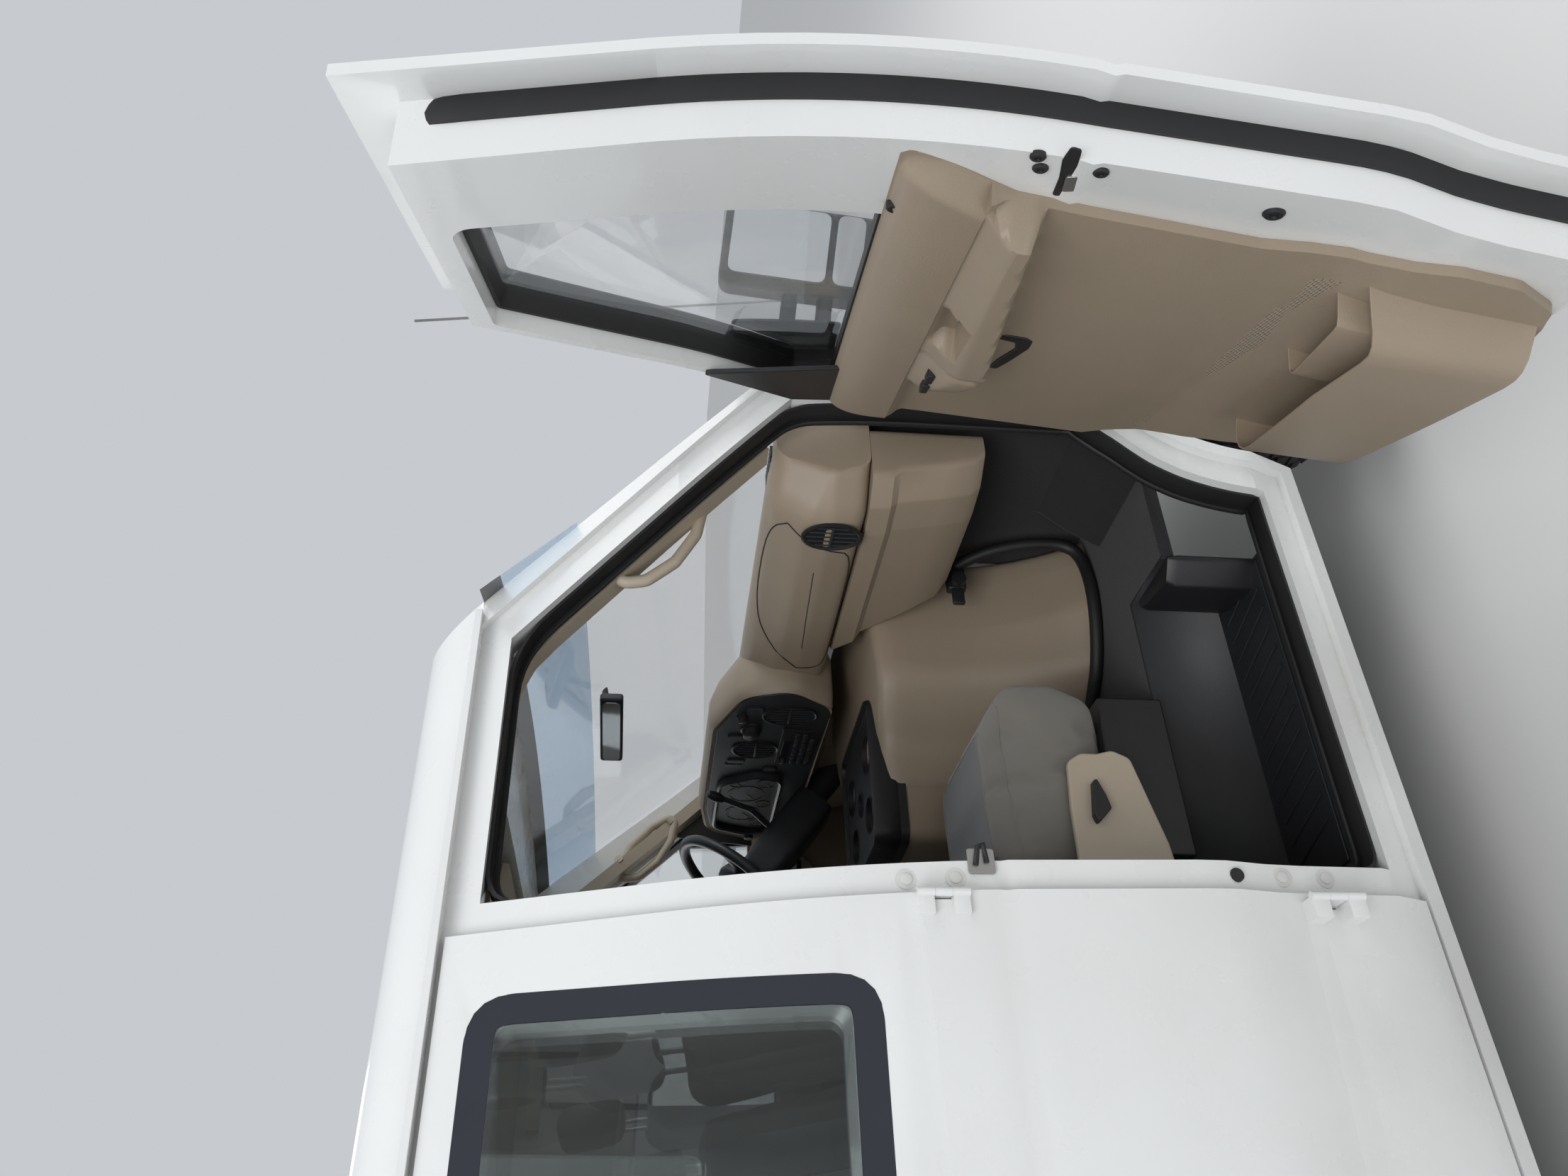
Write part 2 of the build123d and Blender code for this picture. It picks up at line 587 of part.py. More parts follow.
def roof_face(inset):
    """The roof's (y, z) outline, inset from the skin."""
    y, corner_y = roof_y - inset, ROOF_CORNER_Y - inset
    corner_z, top_z = ROOF_CORNER_Z - inset, ROOF_TOP_Z - inset
    middle_y, middle_z = (y + corner_y) / 2 + 14, (DRIP_Z + corner_z) / 2 + 14
    return make_face([
        Line((-y, DRIP_Z), (y, DRIP_Z)),
        ThreePointArc((y, DRIP_Z), (middle_y, middle_z), (corner_y, corner_z)),
        ThreePointArc((corner_y, corner_z), (0, top_z), (-corner_y, corner_z)),
        ThreePointArc((-corner_y, corner_z), (-middle_y, middle_z), (-y, DRIP_Z)),
    ])


ROOF_FRONT_X = 1080.0
HEADER_X = 800.0
rail_face = Polyline(
    (roof_y - 4, DRIP_Z), (roof_y + 16, DRIP_Z), (roof_y + 16, DRIP_Z + 14), (roof_y + 12, DRIP_Z + 14),
    (roof_y + 12, DRIP_Z + 5), (roof_y - 4, DRIP_Z + 5), close=True,
)
rail = along(make_face(rail_face), BODY_REAR_X + 20, 905)
roof = along(roof_face(0), BODY_REAR_X + 4, ROOF_FRONT_X)
roof = roof - along(roof_face(ROOF_WALL), BODY_REAR_X + 60, HEADER_X)
brow_foot, brow_head = (1010, DRIP_Z + 11), (700, ROOF_TOP_Z + 1)
above = ROOF_TOP_Z + 107
brow = make_face([
    ThreePointArc(brow_foot, (925, ROOF_TOP_Z - 41), brow_head),
    *Polyline(brow_head, (700, above), (1200, above), (1200, DRIP_Z + 11), brow_foot).edges(),
])
roof = roof - across(brow, -1100, 1100) - ahead_of_screen() + rail + right_of(rail)
save("roof", roof)

# Windshield
screen = ahead_of_screen() - ahead_of_screen(GLASS)
screen = screen & inside(26, 600, 2000) & block(600, 2000, -1000, 1000, SCREEN_FOOT_Z, SCREEN_HEAD_Z)
save("windshield", screen)


# Nose: one hollow form, split into hood, fenders with cowl, and grille
WIDE = HALF_WIDTH + 97.0


def nose_form(t):
    """The nose ahead of the front doors, shrunk by t all round."""
    rear, tip = SIDE_FRONT_X + 1, NOSE_X - t
    side = flat([
        (rear, SILL_Z + 60), (rear, COWL_Z + 85 - t), (1640, COWL_Z + 40 - t), (HOOD_REAR_X, COWL_Z - t),
        (2320 - t / 2, HOOD_FRONT_Z - t), (tip - 20, 1010 - t), (tip, 900), (tip - 10, SILL_Z + 60),
    ])
    corner, bend = NOSE_X - 145 - t, HALF_WIDTH - 173
    plan = make_face([
        Line((rear, -WIDE), (rear, WIDE)), Line((rear, WIDE), (corner, WIDE)),
        ThreePointArc((corner, WIDE), (tip - 65, bend), (tip, 0)),
        ThreePointArc((tip, 0), (tip - 65, -bend), (corner, -WIDE)),
        Line((corner, -WIDE), (rear, -WIDE)),
    ])
    return across(side, -WIDE, WIDE) & upward(plan, 0, 1400) & inside(t, rear, NOSE_X + 10)


cabin_side = block(SIDE_FRONT_X, SIDE_FRONT_X + 300, -HALF_WIDTH + 43, HALF_WIDTH - 43, 300, 1150)
nose = nose_form(0) - (nose_form(NOSE_WALL) + cabin_side)


def hood_outline(grow):
    """The hood from above, wider towards the front."""
    rear, ahead = HOOD_HALF - 25 + grow, HOOD_HALF + 10 + grow
    x0, x1 = HOOD_REAR_X - grow, NOSE_X + 20
    return flat([(x0, -rear), (x1, -ahead), (x1, ahead), (x0, rear)])


HOOD_EDGE_Z = 985.0
hood = nose & upward(hood_outline(0), HOOD_EDGE_Z, 1400)
nose = nose - upward(hood_outline(SEAM_GAP), HOOD_EDGE_Z - SEAM_GAP, 1400)
GRILLE_Y = 520.0
GRILLE_Z = (650.0, 950.0)
LAMP_OUT_Y = HALF_WIDTH - 143.0
opening = block(2200, NOSE_X + 10, -LAMP_OUT_Y - 10, LAMP_OUT_Y + 10, *GRILLE_Z)
nose = nose - opening
nose = nose - block(2250, NOSE_X + 20, -WIDE, WIDE, 0, BUMPER_Z[1] + SEAM_GAP)
for y0, y1 in ((400, WIDE + 100), (-WIDE - 100, -400)):
    nose = nose - arch_cut(FRONT_AXLE_X, ARCH_RADIUS, y0, y1)
for y0, y1 in ((HALF_WIDTH - 203, WIDE + 100), (-WIDE - 100, -HALF_WIDTH + 203)):
    nose = nose - across(front_door_outline(SEAM_GAP), y0, y1)
nose = nose - (ahead_of_screen() & block(600, 2000, -1000, 1000, SCREEN_FOOT_Z - 2, 2200))
HOOD_AXIS_Z = COWL_Z - 2.0
HOOD_HINGES = ((540.0, 600.0), (-600.0, -540.0))
for y0, y1 in HOOD_HINGES:
    foot, head = (HOOD_REAR_X, y0, HOOD_AXIS_Z), (HOOD_REAR_X, y1, HOOD_AXIS_Z)
    hood_half, nose_half, space = hinge(foot, head, (3, 45, 2, 22), (-45, -3, 2, 22))
    hood = hood - space + hood_half
    nose = nose - space + nose_half
save("nose", nose)
save("hood", hood)

# Grille and lamps
grille_z = (GRILLE_Z[0] + SEAT_FIT, GRILLE_Z[1] - SEAT_FIT)
bars = [block(2372, NOSE_X - 6, -GRILLE_Y, GRILLE_Y, z, z + 22) for z in (668, 724, 780, 836, 892)]
frame_bars = [
    block(2368, NOSE_X - 2, -GRILLE_Y - 18, GRILLE_Y + 18, grille_z[0], GRILLE_Z[0] + 22),
    block(2368, NOSE_X - 2, -GRILLE_Y - 18, GRILLE_Y + 18, GRILLE_Z[1] - 22, grille_z[1]),
    block(2368, NOSE_X - 2, -GRILLE_Y - 18, -GRILLE_Y + 4, *grille_z),
    block(2368, NOSE_X - 2, GRILLE_Y - 4, GRILLE_Y + 18, *grille_z),
]
GRILLE_STEP = 104.0
mesh_z = (GRILLE_Z[0] + 10, GRILLE_Z[1] - 10)
mesh_y = [GRILLE_STEP * i for i in range(-4, 5)]
mesh_bars = [block(2376, 2400, y - 6, y + 6, *mesh_z) for y in mesh_y]
grille = frame_bars[0]
for bar in frame_bars[1:] + bars + mesh_bars:
    grille = grille + bar
save("grille", grille)
lamp_y = (GRILLE_Y + 18 + SEAT_FIT, LAMP_OUT_Y + 10 - SEAT_FIT)
lamp = block(2330, 2425, *lamp_y, 742, grille_z[1]) & nose_form(6)
signal = block(2330, 2425, *lamp_y, grille_z[0], 742 - SEAT_FIT) & nose_form(6)
save("front_lamps", *both(lamp), *both(signal))
tail = tail_block(0) & inside(0, BODY_REAR_X - 1, NOSE_X)
save("tail_lamps", *both(tail))

# Bumpers: a bar with wrapped ends, and two brackets to the frame rails
BUMPER_HALF = HALF_WIDTH - 18.0
BUMPER_CORNER = 45.0


def bumper(x_face, x_back, z0, z1, step):
    """A bumper as a C-shaped bar, open towards the body and the ground; step is its wall."""
    forward = 1 if x_face > x_back else -1
    ends = [(x_face, -BUMPER_HALF), (x_face, BUMPER_HALF), (x_back, BUMPER_HALF), (x_back, -BUMPER_HALF)]
    bar = upward(flat(ends, BUMPER_CORNER), z0, z1)
    x0, x1 = sorted((x_back - 50 * forward, x_face - step * forward))
    hollow = block(x0, x1, -BUMPER_HALF + step, BUMPER_HALF - step, z0 - 1, z1 - step)
    return bar - hollow


front_bar = bumper(BUMPER_FRONT_X, 2340, *BUMPER_Z, 6)
plate_z = sum(BUMPER_Z) / 2
for y in (-PLATE_SPACING[0] / 2, PLATE_SPACING[0] / 2):
    front_bar = front_bar - rod(
        (BUMPER_FRONT_X - 20, y, plate_z), (BUMPER_FRONT_X + 1, y, plate_z), PLATE_HOLE_RADIUS
    )
save("bumpers", front_bar, bumper(BUMPER_REAR_X, BODY_REAR_X + 70, *REAR_BUMPER_Z, 6))

# Frame rails: two channels, cross members, spring hangers and beam brackets
RAIL_Y = (395.0, 470.0)
RAIL_Z = (450.0, FLOOR_Z - FLOOR_WALL - SEAT_FIT)
RAIL_WALL = 7.0
SPRING_HALF = 700.0
SPRING_Y = (500.0, 565.0)
SPRING_Z = (446.0, 471.0)
CROSS_MEMBERS = (
    # x, half length, z0, z1
    (-2700, 40, 500, 550), (-2250, 40, 500, 550), (-1150, 40, 500, 550), (-300, 40, 500, 550),
    (330, 40, 500, 550), (1250, 40, 395, 452), (FRONT_AXLE_X, 100, 412, 455), (2250, 40, 450, 520),
)


def channel(x0, x1, y0, y1, z0, z1):
    """A channel open towards the centre."""
    hollow = block(x0 - 1, x1 + 1, y0 - 1, y1 - RAIL_WALL, z0 + RAIL_WALL, z1 - RAIL_WALL)
    return block(x0, x1, y0, y1, z0, z1) - hollow


rails = channel(BUMPER_REAR_X + 6 + SEAT_FIT, BUMPER_FRONT_X - 6 - SEAT_FIT, *RAIL_Y, *RAIL_Z)
frame = rails + right_of(rails)
for x, half, z0, z1 in CROSS_MEMBERS:
    reach = RAIL_Y[1] - RAIL_WALL
    frame = frame + block(x - half, x + half, -reach, reach, z0, z1)
for x in (REAR_AXLE_X - SPRING_HALF + 25, REAR_AXLE_X + SPRING_HALF - 25):
    hanger = block(x - 25, x + 25, RAIL_Y[1] - 2, SPRING_Y[1], SPRING_Z[1] + SEAT_FIT, 530)
    frame = frame + hanger + right_of(hanger)
BEAM_PIVOTS = {
    "left": (FRONT_AXLE_X + 58.0, -250.0, WHEEL_Z - 50),
    "right": (FRONT_AXLE_X - 72.0, 250.0, WHEEL_Z - 50),
}
for x, y, z in BEAM_PIVOTS.values():
    out = -1 if y < 0 else 1
    y0, y1 = sorted((y + out * 3.3, y + out * 34))
    frame = frame + block(x - 24, x + 24, y0, y1, z - 20, 413)
save("frame_rails", frame)

# Floor with step wells and wheelhouses
WHEELHOUSE_IN = 690.0
CAB_EDGE = HALF_WIDTH - 181.0
SIDE_DOOR_EDGE = HALF_WIDTH - 135.0
STEP_WELL = (440.0, 1120.0, 640.0, HALF_WIDTH - 126.0)
STEP_TREAD = (385.0, 391.0)
floor_y = HALF_WIDTH - WALL - 29
floor = block(BODY_REAR_X + 75, 1438, -floor_y, floor_y, FLOOR_Z - FLOOR_WALL, FLOOR_Z)
floor = floor - block(360, 1480, CAB_EDGE, 1000, 0, 1000) - block(360, 1480, -1000, -CAB_EDGE, 0, 1000)
floor = floor - block(SIDE_DOOR_REAR_X - 10, 400, -1000, -SIDE_DOOR_EDGE, 0, 1000)
floor = floor - block(965, 1480, -292, 292, 0, 1000)
rear_sill = block(BODY_REAR_X + 74, BODY_REAR_X + 110, -floor_y, floor_y, FLOOR_Z - 1, FLOOR_Z + 12)
floor = floor + rear_sill
rear_start, rear_end = (REAR_AXLE_X, WHEELHOUSE_IN, WHEEL_Z), (REAR_AXLE_X, floor_y, WHEEL_Z)
rear_house = rod(rear_start, rear_end, REAR_ARCH_RADIUS + 22)
rear_void = rod((REAR_AXLE_X, WHEELHOUSE_IN + 4, WHEEL_Z), (REAR_AXLE_X, 1200, WHEEL_Z), REAR_ARCH_RADIUS)
front_space = arch_cut(FRONT_AXLE_X, ARCH_RADIUS, 560, 1200)
floor_wells = []
for turn in (lambda shape: shape, right_of):
    cover = rear_house & block(-2700, -1000, 600, 1000, FLOOR_Z + SEAT_FIT, 1000)
    wheel_space = arch_cut(REAR_AXLE_X, REAR_ARCH_RADIUS, WHEELHOUSE_IN + 4, 1200)
    floor = floor - turn(rear_void) - turn(wheel_space)
    floor_wells.append(turn(cover) - turn(rear_void) - turn(wheel_space))
    x0, x1, y0, y1 = STEP_WELL
    well = block(x0, x1, y0, y1, STEP_TREAD[0], FLOOR_Z)
    well = well - block(x0 + 6, x1 - 6, y0 + 6, y1 + 10, STEP_TREAD[1], FLOOR_Z + 10)
    well = well - block(x0 - 1, x1 + 1, CAB_EDGE, 1000, STEP_TREAD[1], FLOOR_Z + 10)
    hole = block(x0 - SEAT_FIT, x1 + SEAT_FIT, y0 - SEAT_FIT, y1, FLOOR_Z - FLOOR_WALL - 1, FLOOR_Z + 1)
    floor = floor - turn(hole) - turn(front_space)
    floor_wells.append(turn(well) - turn(front_space))

# Firewall and the front wheelhouses behind it
FRONT_HOUSE = (556.0, 838.0)
FIREWALL_X = 1440.0
firewall_y = HALF_WIDTH - 123
firewall = block(FIREWALL_X, FIREWALL_X + 22, -firewall_y, firewall_y, FLOOR_Z - FLOOR_WALL, 1194.7)
firewall = firewall - block(FIREWALL_X - 10, FIREWALL_X + 30, -332, 332, 0, 1145)
house_ends = [(FRONT_AXLE_X, y, WHEEL_Z) for y in FRONT_HOUSE]
house = rod(*house_ends, ARCH_RADIUS + 6) & block(1250, FIREWALL_X + 1, 500, 900, FLOOR_Z + SEAT_FIT, 1000)
for turn in (lambda shape: shape, right_of):
    firewall = firewall + turn(house) - turn(arch_cut(FRONT_AXLE_X, ARCH_RADIUS, FRONT_HOUSE[0] + 6, 1200))
save("floor_pan", floor)
save("floor_wells", *floor_wells)
save("firewall", firewall)

# Engine and gearbox, the cover in the cab, and the console on it
engine = block(1080, 1800, -270, 270, 505, 960) + block(400, 1081, -110, 110, 400, 496)
engine = engine + block(970, 1081, -110, 110, 400, 560)
for y in (-190, 190):
    engine = engine + block(1225, 1275, y - 30, y + 30, 452 + SEAT_FIT, 510)
save("engine_block", engine)
COVER_SLOPE = (900.0, 1080.0, FIREWALL_X - 4, 1130.0)
COVER_FOOT_Z = FLOOR_Z + SEAT_FIT
cover_low, cover_high = COVER_SLOPE[:2], COVER_SLOPE[2:]
cover_side = flat([(860, COVER_FOOT_Z), (cover_high[0], COVER_FOOT_Z), cover_high, cover_low], 30)
cover_plan = flat([
    (850, -205), (975, -212), (1110, -328), (1450, -328), (1450, 328), (1110, 328), (975, 212), (850, 205),
])
cover = across(cover_side, -330, 330) & upward(cover_plan, 0, 1300)
hollow_plan = flat([(966, -190), (1090, -290), (1450, -290), (1450, 290), (1090, 290), (966, 190)])
cover = cover - upward(hollow_plan, 0, 985)


def cover_top(x):
    """Height of the engine cover at one place along the van."""
    x0, z0, x1, z1 = COVER_SLOPE
    return z0 + (z1 - z0) * (x - x0) / (x1 - x0)


CONSOLE_X = (745.0, 1125.0)
CONSOLE_HALF = 195.0
console_side = flat([
    (CONSOLE_X[0], 840), (cover_low[0] - 40.3, 840), (cover_low[0] - 40.3, cover_top(900) + SEAT_FIT),
    (CONSOLE_X[1], cover_top(CONSOLE_X[1]) + SEAT_FIT), (CONSOLE_X[1], 1152), (CONSOLE_X[0], 1122),
])
console = across(console_side, -CONSOLE_HALF, CONSOLE_HALF)
save("engine_cover", cover, console)

# Dashboard and instrument panel
DASH_X = 1204.0
DASH_FOOT_Z = 1195.0
DASH_BROW_Z = 1412.0
dash_side = flat([
    (DASH_X + SEAT_FIT, DASH_FOOT_Z), (1465, DASH_FOOT_Z), (1465, 1252), (1580, 1222), (1580, 1240),
    (1410, DASH_BROW_Z - 16), (1245, DASH_BROW_Z), (DASH_X + SEAT_FIT, DASH_BROW_Z - 30),
])
dash = across(dash_side, -885, 885) & inside(DOOR_WALL + 42, 600, 2000)
knee_side = flat([(1222, DASH_FOOT_Z + 1), (1268, 950), (1395, 938), (1395, DASH_FOOT_Z + 1)])
for turn in (lambda shape: shape, right_of):
    dash = dash + turn(across(knee_side, 335, 832))
panel_face = flat([
    (-60, 1172), (745, 1195), (785, 1300), (722, 1440), (560, 1462), (60, 1462), (-110, 1400), (-146, 1290),
], 40)
hood_face = offset(panel_face, amount=20) & Pos(300, 1400) * Rectangle(1200, 410)
hood_side = flat([
    (DASH_X + SEAT_FIT, 1200), (1400, 1200), (1400, 1405), (1330, 1482), (DASH_X + SEAT_FIT, 1482),
])
cluster_hood = along(hood_face, DASH_X + SEAT_FIT, 1400) & across(hood_side, -900, 900)
dash = dash + (cluster_hood & inside(DOOR_WALL + 42, 600, 2000))
save("dashboard", dash)
instrument = along(panel_face, DASH_X - 54, DASH_X) & inside(DOOR_WALL + 42, 600, 2000)
save("instrument_panel", instrument)

# Steering column, lever and wheel
COLUMN_TILT = 38.0
WHEEL_HUB = Vector(870, 480, 1375)
column_way = Vector(cos(radians(COLUMN_TILT)), 0, -sin(radians(COLUMN_TILT)))
column = rod(WHEEL_HUB + column_way * 40.3, WHEEL_HUB + column_way * 500, 42) - instrument - dash
lever = rod((1035, 470, 1262), (1052, 350, 1345), 9) + rod((1052, 350, 1345), (1062, 290, 1445), 8)
save("steering_column", column + lever)
STEER_RADIUS = 192.0
wheel_plane = Plane(WHEEL_HUB, z_dir=column_way)
steering_wheel = wheel_plane * Torus(STEER_RADIUS, 16) + wheel_plane * Pos(0, 0, 20) * Cylinder(62, 40)
for angle in (20, 160, 270):
    reach_x, reach_y = STEER_RADIUS * cos(radians(angle)), STEER_RADIUS * sin(radians(angle))
    steering_wheel = steering_wheel + wheel_plane * rod((0, 0, 12), (reach_x, reach_y, 0), 13)
save("steering_wheel", steering_wheel)

# Seats: cushion, back, headrest and pedestal
SEAT_Y = 465.0
SEAT_HALF = 245.0


def seat(centre_y):
    """One front seat's soft pieces and its base."""
    y0, y1 = centre_y - SEAT_HALF, centre_y + SEAT_HALF
    cushion_side = [(478, 745), (860, 728.6), (905, 830), (903, 930), (850, 968), (478, 962)]
    cushion = across(flat(cushion_side, 12), y0, y1)
    back_side = flat([(340, 880), (477.7, 880), (477.7, 980), (335, 1640), (210, 1640)])
    head_side = flat([(225, 1640.3), (315, 1640.3), (285, 1830), (195, 1830)])
    back = across(back_side, y0 + 10, y1 - 10)
    head = across(head_side, centre_y - 130, centre_y + 130)
    foot_face = flat([(520, FLOOR_Z + 0.3), (860, FLOOR_Z + 0.3), (860, 728.2), (520, 742.6)])
    return [cushion, back, head, across(foot_face, y0 + 30, y1 - 20)]


driver, passenger = seat(SEAT_Y), seat(-SEAT_Y)
save("front_seats", *driver[:3], *passenger[:3])
bench = across(flat([(-620, 690.3), (-130, 690.3), (-110, 960), (-150, 1000), (-620, 980)]), -560, 560)
bench_back = across(flat([(-760, 720), (-620.3, 720), (-620.3, 990), (-740, 1640), (-850, 1640)]), -560, 560)
save("rear_bench", bench, bench_back)
legs = [block(x, x + 60, y, y + 60, FLOOR_Z + 0.3, 690) for x in (-600, -250) for y in (-480, 420)]
save("seat_frames", driver[3], passenger[3], *legs)

# Headliner, visors, handles, inside mirror
LINER = ROOF_WALL + 0.3
liner = along(roof_face(LINER), BODY_REAR_X + 120, HEADER_X - 1)
liner = liner - along(roof_face(LINER + 8), BODY_REAR_X + 110, HEADER_X)
liner = liner & block(BODY_REAR_X, NOSE_X, -HALF_WIDTH, HALF_WIDTH, DRIP_Z + 8, ROOF_TOP_Z + 10)
VISOR_Z = DRIP_Z + 27.0
visor = across(flat([(590, VISOR_Z), (780, VISOR_Z - 14), (782, VISOR_Z + 2), (592, VISOR_Z + 16)]), 80, 640)
posts = rod((700, 600, VISOR_Z + 2), (700, 600, ROOF_TOP_Z), 6)
posts = posts + rod((700, 130, VISOR_Z + 2), (700, 130, ROOF_TOP_Z), 6)
visor = visor + (posts & along(roof_face(LINER + 8 + SEAT_FIT), 600, 790))
save("headliner", liner, *both(visor))
grip_foot, grip_head = (1206, HALF_WIDTH - 188, 1528), (1091, HALF_WIDTH - 213, 1733)
grip = rod(grip_foot, grip_head, 13) + Pos(*grip_foot) * Sphere(13)
grip = grip + rod(grip_foot, (1224, HALF_WIDTH - 123, 1548), 10)
grip = grip + rod(grip_head, (grip_head[0], HALF_WIDTH - 177, grip_head[2]), 11)
grip = grip & inside(WALL + 0.3, 600, 2000)
save("grab_handles", *both(grip))
INSIDE_MIRROR = (1115.0, 0.0, 1735.0)
MIRROR_TURN = 12.0
mirror_arm = rod(INSIDE_MIRROR, (1290, 0, 1772), 8) - ahead_of_screen(-SEAT_FIT)
mirror_housing = Pos(*INSIDE_MIRROR) * Rot(0, 0, MIRROR_TURN) * fillet(Box(26, 246, 58).edges(), 8)
save("inside_mirror", mirror_housing + mirror_arm)

# Wipers, antenna


def screen_point(y, z, off):
    """A point ahead of the windshield's face."""
    bow = SCREEN_BOW * (1 - (y / SCREEN_HALF) ** 2)
    return (SCREEN_LINE + bow - z + off * sqrt(0.5), y, z + off * sqrt(0.5))


PIVOT_AHEAD = 32.0
WIPERS = (
    # pivot y, blade tip y
    (-560, -40), (560, 40),
)
wipers = []
for pivot, tip in WIPERS:
    blade = rod(screen_point(pivot, 1200, 12.9), screen_point(tip, 1225, 12.9), 6)
    x, y, z = screen_point(pivot, 1200, 12.9)
    shaft = rod((x + PIVOT_AHEAD, y, 1120), (x + PIVOT_AHEAD, y, z + 4), 9) - nose_form(-SEAT_FIT)
    wipers.append(blade + rod((x, y, z), (x + PIVOT_AHEAD, y, z), 6) + shaft)
save("wipers", *wipers)
ANTENNA_Y = -(HALF_WIDTH - 123.0)
ANTENNA_FOOT = (1797.0, ANTENNA_Y, 1172.0)
antenna = rod(ANTENNA_FOOT, (1621, ANTENNA_Y, ROOF_TOP_Z + 81), 3)
antenna = antenna + rod((ANTENNA_FOOT[0], ANTENNA_Y, 1140), (ANTENNA_FOOT[0] - 2, ANTENNA_Y, 1186), 13)
save("antenna", antenna - nose_form(-SEAT_FIT))

# Exhaust, driveshaft, tank
route = [
    (900, -300, 430), (-1250, -300, 410), (-1450, -330, 520), (-2050, -330, 520), (-2280, -345, 350),
    (-2480, -560, 345), (-2580, -780, 345),
]
PIPE_RADIUS = 32.0
exhaust = Pos(*route[0]) * Sphere(PIPE_RADIUS)
for start, end in zip(route, route[1:]):
    exhaust = exhaust + rod(start, end, PIPE_RADIUS) + Pos(*end) * Sphere(PIPE_RADIUS)
exhaust = exhaust + rod((-450, -300, 417), (-1000, -300, 412), 80)
for x in (-300, -1150):
    exhaust = exhaust + block(x - 8, x + 8, -306, -294, 420, 499.7)
save("exhaust", exhaust)
save("driveshaft", rod((398.7, 0, 448), (REAR_AXLE_X + 150.5, 0, 400), 40))
save("fuel_tank", block(-1020, -200, 485, 820, 330, FLOOR_Z - FLOOR_WALL - SEAT_FIT))

# Rear axle with springs, front beams
AXLE_RADIUS = 38.0
axle_end = REAR_TRACK / 2 + 17.7
axle = rod((REAR_AXLE_X, -axle_end, WHEEL_Z), (REAR_AXLE_X, axle_end, WHEEL_Z), AXLE_RADIUS)
axle = axle + Pos(REAR_AXLE_X, 0, WHEEL_Z) * Sphere(150)
for turn in (lambda shape: shape, right_of):
    leafs = block(REAR_AXLE_X - SPRING_HALF, REAR_AXLE_X + SPRING_HALF, *SPRING_Y, *SPRING_Z)
    pad = block(REAR_AXLE_X - 60, REAR_AXLE_X + 60, *SPRING_Y, WHEEL_Z + 20, SPRING_Z[0] + 1)
    axle = axle + turn(leafs) + turn(pad)
save("rear_axle", axle)
BEAM_RADIUS = 35.0
KINGPIN_RADIUS = 26.0
kingpin_y = FRONT_TRACK / 2 - KINGPIN_INSET
beams = []
for side, (x, y, z) in BEAM_PIVOTS.items():
    sign = 1 if side == "left" else -1
    end = (FRONT_AXLE_X, sign * (kingpin_y - KINGPIN_RADIUS - 2), WHEEL_Z)
    beams.append(rod(end, (x, y, z), BEAM_RADIUS))
save("front_beams", *beams)

# Wheels and knuckles


def tyre():
    """A tyre about the Y axis, centred on the origin."""
    r, w, s = TYRE_DIAMETER / 2, TYRE_WIDTH / 2, RIM_SEAT_DIAMETER / 2
    profile = [
        (s, -w + 28.3), (s + 18, -w + 28.3), (s + 30, -w + 10), (s + 85, -w),
        (r - 40, -w + 8), (r - 8, -w + 32),
        (r, -w + 50), (r, w - 50), (r - 8, w - 32), (r - 40, w - 8), (s + 85, w), (s + 30, w - 10),
        (s + 18, w - 28.3), (s, w - 28.3),
    ]
    face = Plane.XY * make_face(Polyline(*profile, close=True))
    return revolve(face, Axis.Y, 360)


def wheel_rim():
    """A steel wheel with hand holes, dished towards the outside (+Y)."""
    s, w = RIM_SEAT_DIAMETER / 2, TYRE_WIDTH / 2 - 28
    barrel = [
        (s + 14, -w - 8), (s + 14, -w), (s - 0.3, -w), (s - 0.3, w), (s + 14, w), (s + 14, w + 8),
        (s - 12, w + 8), (s - 12, 40), (150, 62), (110, 30), (90, 30), (90, 18), (120, 18), (150, 44),
        (s - 14, 20), (s - 14, -w - 8),
    ]
    face = make_face(Polyline(*[(x, y) for x, y in barrel], close=True))
    shape = revolve(face, Axis.Y, 360)
    hub_face = make_face(Polyline((0, 60), (70, 60), (90, 30), (90, 18), (0, 18), close=True))
    hub = revolve(hub_face, Axis.Y, 360)
    shape = shape + hub
    for index in range(8):
        angle = radians(index * 45)
        x, z = 152 * cos(angle), 152 * sin(angle)
        shape = shape - rod((x, 0, z), (x, 100, z), 15)
    return shape


tyre_shape, rim_shape = tyre(), wheel_rim()
corners = {
    "front_left": (FRONT_AXLE_X, FRONT_TRACK / 2), "front_right": (FRONT_AXLE_X, -FRONT_TRACK / 2),
    "rear_left": (REAR_AXLE_X, REAR_TRACK / 2), "rear_right": (REAR_AXLE_X, -REAR_TRACK / 2),
}
for corner, (x, y) in corners.items():
    for name, shape in (("tyre", tyre_shape), ("rim", rim_shape)):
        placed = shape if y > 0 else right_of(shape)
        save(f"{name}_{corner}", Pos(x, y, WHEEL_Z) * placed)
for side, sign in (("left", 1), ("right", -1)):
    y = sign * FRONT_TRACK / 2
    inner = y - sign * KINGPIN_INSET
    knuckle = rod((FRONT_AXLE_X, inner, WHEEL_Z - 90), (FRONT_AXLE_X, inner, WHEEL_Z + 90), 26)
    knuckle = knuckle + rod((FRONT_AXLE_X, inner, WHEEL_Z), (FRONT_AXLE_X, y + sign * 17.7, WHEEL_Z), 30)
    save(f"knuckle_{side}", knuckle)
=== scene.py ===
"""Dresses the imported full-size van: paint, glass, seals, trim, cab, seats and running gear.

Every length is in metres in the van's own frame: X forward, Y to the left, Z up, origin on the ground.
"""
import json
import logging
import math
from dataclasses import dataclass, field
from enum import Enum
from typing import Callable, Iterable, Sequence

